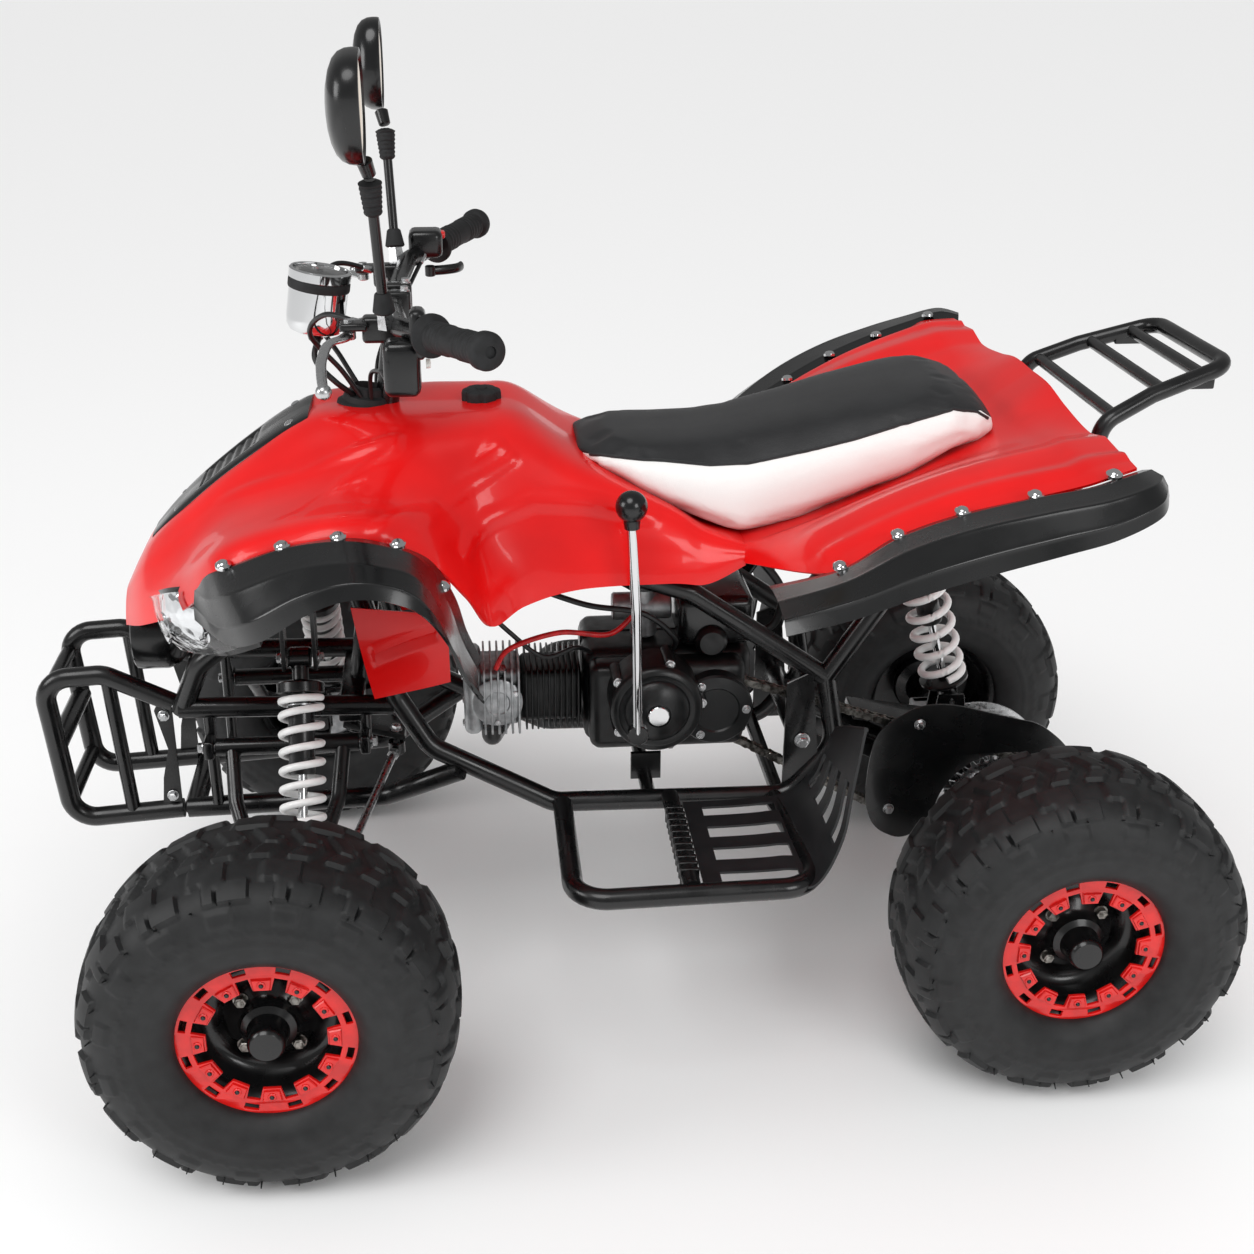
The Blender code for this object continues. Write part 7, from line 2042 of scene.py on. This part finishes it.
def make_engine(settings):
    """The crankcase with magneto cover, sprocket cover, starter, carburettor and intake box."""
    piece = Piece("crankcase", black_engine_enamel)
    piece.add(block((-0.162, -0.09, 0.305), (0.0485, 0.0385, 0.433), 0.016))
    piece.add(block((-0.164, -0.029, 0.3034), (0.0492, -0.025, 0.4345), 0.0018))
    piece.add(block((-0.15, 0.03, 0.312), (0.044, 0.072, 0.428), 0.014))
    disc = np.array((-0.033, 0.0, 0.39326))
    cover = [
        (0.004, 0.066), (0.054, 0.066), (0.056, 0.068), (0.056, 0.118), (0.0552, 0.1225), (0.052, 0.1262),
        (0.047, 0.1278), (0.0455, 0.1266), (0.04, 0.1262), (0.0388, 0.129),
    ]
    cover += [
        (0.036, 0.1318), (0.029, 0.1362), (0.019, 0.1404), (0.015, 0.1412), (0.014, 0.139), (0.004, 0.139),
    ]
    piece.add(spin(cover, disc, ACROSS, 72))
    piece.add(
        spin(
            mm(((1, 138), (12, 138), (12.6, 139), (12.6, 142.5), (11.8, 143.5), (1, 143.5))), disc, ACROSS,
            36,
        ),
        bright_chrome,
    )
    for x, z in circle_places(disc[0], disc[2], 0.056, (35, 107, 179, 251, 323)):
        lug = np.array((x, 0.0, z))
        piece.add(rod(lug + (0, 0.068, 0), lug + (0, 0.112, 0), 0.0075, 0.0068, 20, 0.001))
        hexagon_bolt(piece, lug + (0, 0.1115, 0), ACROSS, 0.0085)
    piece.add(
        spin(
            mm(((3, 68), (45, 68), (46.2, 69.5), (46.2, 88), (44, 91), (30, 92.5), (28, 90.5), (3, 90.5))),
            (-0.11, 0, 0.37326), ACROSS, 60,
        )
    )
    for x, z in circle_places(-0.11, 0.37326, 0.0375, (60, 180, 300)):
        hexagon_bolt(piece, (x, 0.091, z), ACROSS, 0.0078)
    piece.add(
        spin(
            mm(((3, 0), (19.5, 0), (20.5, 1.5), (20.5, 62), (19, 66), (15, 70), (3, 70))),
            (-0.108, -0.012, 0.448), ACROSS, 40,
        )
    )
    piece.add(rod((-0.006, 0.14, 0.38126), (-0.006, 0.1535, 0.38126), 0.0062, None, 20, 0.0006), zinc_plate)
    carb = np.array((-0.03, -0.01, 0.474))
    piece.add(rod(carb - (0.034, 0, 0), carb + (0.04, 0, 0), 0.0175, None, 32, 0.002), sand_cast_aluminium)
    piece.add(rod(carb - (0, 0, 0.038), carb + (0, 0, 0.03), 0.017, 0.015, 32, 0.002), sand_cast_aluminium)
    piece.add(rod(carb + (0, 0, 0.024), carb + (0, 0, 0.0315), 0.0172, None, 24, 0.002), black_gloss_abs)
    piece.add(block((-0.162, -0.06, 0.44), (-0.068, 0.048, 0.504), 0.012), black_gloss_abs)
    piece.make("chassis", ["engine_case"], "engine_black")


def make_exhaust(settings):
    """The exhaust: a black pipe from the head, along the right side, to a silencer with a chromed shield."""
    piece = Piece("pipe_and_silencer")
    path = rounded(
        [
            (0.165, -0.018, 0.308), (0.165, -0.02, 0.2905), (0.145, -0.085, 0.2905), (0.06, -0.155, 0.3),
            (-0.12, -0.164, 0.36), (-0.205, -0.164, 0.49), (-0.275, -0.164, 0.505),
        ],
        0.04, 10,
    )
    piece.add(tube(path, 0.0125, 20), black_powder_coat)
    start, end = np.array((-0.262, -0.164, 0.504)), np.array((-0.486, -0.164, 0.547))
    length = float(np.linalg.norm(end - start))
    can = (
        (0.01, 0), (0.014, 0.0), (0.028, 0.016), (0.0315, 0.02), (0.033, 0.022), (0.033, 0.026),
        (0.0315, 0.028), (0.0318, length - 0.034), (0.0335, length - 0.032), (0.0335, length - 0.026),
        (0.0315, length - 0.022), (0.024, length - 0.006), (0.013, length - 0.002), (0.013, length + 0.012),
        (0.0105, length + 0.012), (0.01, length - 0.02),
    )
    piece.add(spin(can, start, end - start, 56), black_powder_coat)
    c = unit(end - start)
    turn = np.radians(np.linspace(-52, 52, 22))
    heights = np.linspace(0.045, length - 0.045, 60)
    out = np.array((0.0, -1.0, 0.0))
    up = np.cross(c, out)
    radius = 0.0338 - 0.0006 * (np.abs(np.sin(heights / 0.01 * math.pi)) < 0.25)
    shield = start + heights[:, None, None] * c + radius[:, None, None] * (
        np.cos(turn)[None, :, None] * out + np.sin(turn)[None, :, None] * up
    )
    piece.add(sheet(shield, 0.001), bright_chrome)
    piece.make("chassis", ["exhaust"], "black_paint")


# Hoses, cables and small parts


def make_cables(settings):
    """Control cables from the bars, hoses and leads round the engine, each a spline of constant section."""
    runs = (
        (
            "steering", hose_rubber, 0.003,
            mm(((292, 140, 872), (330, 110, 875), (352, 62, 842), (322, 30, 792), (300, 18, 752))),
        ),
        (
            "steering", hose_rubber, 0.003,
            mm(((292, -140, 872), (335, -110, 885), (362, -58, 850), (326, -28, 792), (302, -16, 752))),
        ),
        (
            "steering", hose_rubber, 0.0026,
            mm(((232, 200, 830), (262, 158, 812), (276, 90, 806), (290, 34, 788), (292, 20, 750))),
        ),
        (
            "steering", hose_rubber, 0.0026,
            mm(((228, -200, 880), (252, -150, 842), (268, -90, 820), (284, -34, 790), (288, -22, 750))),
        ),
        (
            "steering", hose_rubber, 0.0034,
            mm(((346, 0, 828), (352, 26, 806), (330, 32, 780), (304, 6, 752))),
        ),
        (
            "chassis", red_cable, 0.0034,
            mm(((158, 47, 420), (140, 60, 452), (80, 58, 470), (20, 50, 462), (-10, 40, 480))),
        ),
        ("chassis", hose_rubber, 0.004, mm(((-20, 6, 500), (10, 30, 525), (60, 40, 535), (110, 36, 560)))),
        (
            "chassis", hose_rubber, 0.0036,
            mm(((-50, 50, 430), (-60, 72, 462), (-20, 78, 500), (50, 72, 512), (130, 60, 540))),
        ),
        (
            "chassis", hose_rubber, 0.005,
            mm(((-150, 40, 450), (-185, 52, 470), (-190, 60, 520), (-160, 50, 560))),
        ),
        (
            "chassis", hose_rubber, 0.003,
            mm(
                (
                    (40, 30, 430), (60, 55, 448), (100, 60, 440), (140, 52, 470), (190, 40, 520),
                    (230, 20, 560),
                )
            ),
        ),
    )
    for number, (body, finish, radius, points) in enumerate(runs):
        path = spline(np.array(points), 90)
        piece = Piece(f"cable_{number + 1}").add(tube(path, radius, 12), finish)
        if body == "steering":
            piece.add(
                rod(
                    path[0], path[0] + (path[4] - path[0]) * 2.0, radius * 1.5, radius * 1.3, 16,
                    radius * 0.2,
                ),
                zinc_plate,
            )
        piece.make(body, slot="black_plastic")


def make_cowls(settings):
    """The red side panels over u and v: y falls with the square of v, and a ridge is pressed across."""
    for word, side in SIDES:
        low, high = (np.array(corner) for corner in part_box(f"side_cowl_{word}"))
        if side < 0:
            low[1], high[1] = -high[1], -low[1]
        u, v = np.meshgrid(np.linspace(0, 1, 60), np.linspace(0, 1, 60), indexing="ij")
        x = high[0] - u * (high[0] - low[0])
        x = x - 0.02 * v * (1 - u)
        z = high[2] - v * (high[2] - low[2])
        z = z - 0.013 * u * (1 - v) + 0.018 * u * v
        y = high[1] - 0.004 - 0.03 * (v - 0.35) ** 2 - 0.016 * np.clip(u - 0.6, 0, 1) ** 2
        ridge = np.clip(1 - np.abs(v - 0.55 + 0.35 * u) / 0.14, 0, 1)
        y = y - 0.0055 * ridge * smooth((0.42 - np.abs(u - 0.5)) / 0.05)
        piece = Piece(f"red_cowl_{word}").add(
            mirrored(sheet(np.stack((x, y, z), -1), 0.004), side), red_gloss_abs,
        )
        for spot in (8, 51):
            place = np.array((x[spot, 8], y[spot, 8], z[spot, 8])) * (1, side, 1)
            piece.add(fixing_screw(place, (0, side, 0.2)), bright_chrome)
        piece.make("chassis", [f"side_cowl_{word}"], "red_plastic", crease=28)


# Stage


def make_stage(settings):
    """A pale floor, a white surround, a broad sun, two soft lamps and the camera."""
    floor = bpy.data.meshes.new("floor")
    reach = 60.0
    corners = [(-reach, -reach, 0), (reach, -reach, 0), (reach, reach, 0), (-reach, reach, 0)]
    floor.from_pydata(corners, [], [(0, 1, 2, 3)])
    ground = bpy.data.objects.new("floor", floor)
    bpy.context.scene.collection.objects.link(ground)
    floor.materials.append(base_finish("pale floor", "F7F7F7", 0.6)[0])
    for name, place, aim, size, power in (
        ("sun", (1.2, 2.0, 4.0), (0, 0, 0), None, settings.sun),
        ("side lamp", (-1.6, 2.8, 1.9), (0, 0, 0.4), 1.2, settings.lamp_power),
        ("front lamp", (2.8, 0.9, 1.7), (0, 0, 0.4), 1.2, settings.lamp_power),
    ):
        light = bpy.data.lights.new(name, "AREA" if size else "SUN")
        if size:
            light.size = size
        else:
            light.angle = 0.6
        light.energy = power
        lamp = bpy.data.objects.new(name, light)
        lamp.location = place
        lamp.rotation_euler = (Vector(place) - Vector(aim)).to_track_quat("Z", "Y").to_euler()
        bpy.context.scene.collection.objects.link(lamp)
    world = bpy.data.worlds.new("white surround")
    bpy.context.scene.world = world
    world.use_nodes = True
    tree = world.node_tree
    paths = add_node(tree, "ShaderNodeLightPath").outputs
    soft = tree.nodes["Background"]
    soft.inputs["Color"].default_value = linear("FFFFFF")
    soft.inputs["Strength"].default_value = settings.surround
    dim = add_node(tree, "ShaderNodeBackground", None, Color=linear("FFFFFF"), Strength=settings.reflected)
    white = add_node(tree, "ShaderNodeBackground", None, Color=linear("FAFAFA"), Strength=1.0)
    glossy = add_node(
        tree, "ShaderNodeMixShader", None,
        in0=paths["Is Glossy Ray"], in1=soft.outputs[0], in2=dim.outputs[0],
    )
    seen = add_node(
        tree, "ShaderNodeMixShader", None,
        in0=paths["Is Camera Ray"], in1=glossy.outputs[0], in2=white.outputs[0],
    )
    tree.links.new(seen.outputs[0], tree.nodes["World Output"].inputs["Surface"])
    camera = bpy.data.cameras.new("camera")
    camera.lens = 47.14
    camera.sensor_width = 36.0
    viewer = bpy.data.objects.new("camera", camera)
    yaw, pitch, roll = (math.radians(angle) for angle in (5.753, 23.608, 0.369))
    ahead = np.array((-math.sin(yaw) * math.cos(pitch), -math.cos(yaw) * math.cos(pitch), -math.sin(pitch)))
    right = unit(np.cross(ahead, UP))
    above = np.cross(right, ahead)
    turned = np.eye(4)
    turned[:3, 0] = math.cos(roll) * right + math.sin(roll) * above
    turned[:3, 1] = math.cos(roll) * above - math.sin(roll) * right
    turned[:3, 2] = -ahead
    turned[:3, 3] = (0.1811, 1.8808, 1.2752)
    viewer.matrix_world = Matrix(turned)
    bpy.context.scene.collection.objects.link(viewer)
    bpy.context.scene.camera = viewer
    bpy.context.scene.view_settings.view_transform = "Standard"


# Settings, operators and panel


class QUADBIKE_PG_settings(bpy.types.PropertyGroup):
    """Sizes and strengths that the operators use."""

    pitches: IntProperty(
        name="Tread pitches", description="Repeats of the tread round a tyre", default=16, min=8, max=30,
    )
    block_height: FloatProperty(
        name="Block height", description="Depth of the tread blocks", default=0.0046,
        subtype="DISTANCE", unit="LENGTH",
    )
    pressure: FloatProperty(
        name="Seat filling", description="Pressure inside the seat cover", default=4.0, min=0.0,
    )
    sun: FloatProperty(name="Sun", description="Strength of the broad sun", default=1.1, min=0.0)
    lamp_power: FloatProperty(
        name="Lamps", description="Power of each soft lamp in watts", default=22.0, min=0.0,
    )
    surround: FloatProperty(
        name="Surround", description="Light from the white surround", default=0.7, min=0.0,
    )
    reflected: FloatProperty(
        name="Reflected", description="The surround as glossy paint sees it", default=0.3, min=0.0,
    )


class Builder:
    """What every operator here shares: it calls its own makers, and an error in one stops the script."""

    bl_options = {"REGISTER", "UNDO"}
    makers = ()

    def execute(self, context):
        for maker in self.makers:
            maker(context.scene.quad_bike)
        return {"FINISHED"}


class QUADBIKE_OT_wheels(Builder, bpy.types.Operator):
    """Make the four tyres with their tread, and the rims with their red rings"""

    bl_idname = "quad_bike.wheels"
    bl_label = "Wheels"
    makers = (make_tyres, make_rims)


class QUADBIKE_OT_body(Builder, bpy.types.Operator):
    """Make the red panels, the black wing edges and the nose grille"""

    bl_idname = "quad_bike.body"
    bl_label = "Body panels"
    makers = (make_cover, make_fender, make_flares, make_nose)


class QUADBIKE_OT_seat(Builder, bpy.types.Operator):
    """Make the padded seat with its piping"""

    bl_idname = "quad_bike.seat"
    bl_label = "Seat"
    makers = (make_seat,)


class QUADBIKE_OT_tubework(Builder, bpy.types.Operator):
    """Make the frame, bumper, rack and foot loops"""

    bl_idname = "quad_bike.tubework"
    bl_label = "Tubework"
    makers = (make_frame, make_bumper, make_rack, make_foot_bars)


class QUADBIKE_OT_lamps(Builder, bpy.types.Operator):
    """Make the headlights and the round lamp"""

    bl_idname = "quad_bike.lamps"
    bl_label = "Lamps"
    makers = (make_lamps,)


class QUADBIKE_OT_suspension(Builder, bpy.types.Operator):
    """Make the front arms, knuckles, tie rods and coil-over units"""

    bl_idname = "quad_bike.suspension"
    bl_label = "Front suspension"
    makers = (make_suspension,)


class QUADBIKE_OT_drive(Builder, bpy.types.Operator):
    """Make the swing arm, rear axle, brake disc, sprocket and chain"""

    bl_idname = "quad_bike.drive"
    bl_label = "Rear drive"
    makers = (make_drive, make_chain)


class QUADBIKE_OT_steering(Builder, bpy.types.Operator):
    """Make the stem, bars, grips, levers, mirrors and meter"""

    bl_idname = "quad_bike.steering"
    bl_label = "Steering and controls"
    makers = (make_stem, make_bars, make_grips, make_levers, make_mirrors, make_meter)


class QUADBIKE_OT_engine(Builder, bpy.types.Operator):
    """Make the crankcase, cylinder, exhaust and gear lever"""

    bl_idname = "quad_bike.engine"
    bl_label = "Engine"
    makers = (make_engine, make_cylinder, make_exhaust, make_gear_lever)


class QUADBIKE_OT_details(Builder, bpy.types.Operator):
    """Make the tank cap, side cowls, cables and hoses"""

    bl_idname = "quad_bike.details"
    bl_label = "Cap, cowls and cables"
    makers = (make_cap, make_cowls, make_cables)


class QUADBIKE_OT_stage(Builder, bpy.types.Operator):
    """Make the floor, lamps and camera"""

    bl_idname = "quad_bike.stage"
    bl_label = "Stage"
    makers = (make_stage,)


OPERATORS = (
    QUADBIKE_OT_wheels, QUADBIKE_OT_body, QUADBIKE_OT_seat, QUADBIKE_OT_tubework, QUADBIKE_OT_lamps,
    QUADBIKE_OT_suspension, QUADBIKE_OT_drive, QUADBIKE_OT_steering, QUADBIKE_OT_engine, QUADBIKE_OT_details,
    QUADBIKE_OT_stage,
)


class QUADBIKE_PT_panel(bpy.types.Panel):
    """The sidebar panel with the settings and one button for each step."""

    bl_label = "Mini Quad Bike"
    bl_idname = "QUADBIKE_PT_panel"
    bl_space_type = "VIEW_3D"
    bl_region_type = "UI"
    bl_category = "Quad Bike"

    def draw(self, context):
        for key in QUADBIKE_PG_settings.__annotations__:
            self.layout.prop(context.scene.quad_bike, key)
        for operator in OPERATORS:
            self.layout.operator(operator.bl_idname)


CLASSES = (QUADBIKE_PG_settings, *OPERATORS, QUADBIKE_PT_panel)


def register():
    for item in CLASSES:
        bpy.utils.register_class(item)
    bpy.types.Scene.quad_bike = PointerProperty(type=QUADBIKE_PG_settings)


def unregister():
    del bpy.types.Scene.quad_bike
    for item in reversed(CLASSES):
        bpy.utils.unregister_class(item)


def main():
    register()
    for operator in OPERATORS:
        getattr(bpy.ops.quad_bike, operator.bl_idname.split(".")[1])()


if __name__ == "__main__":
    main()
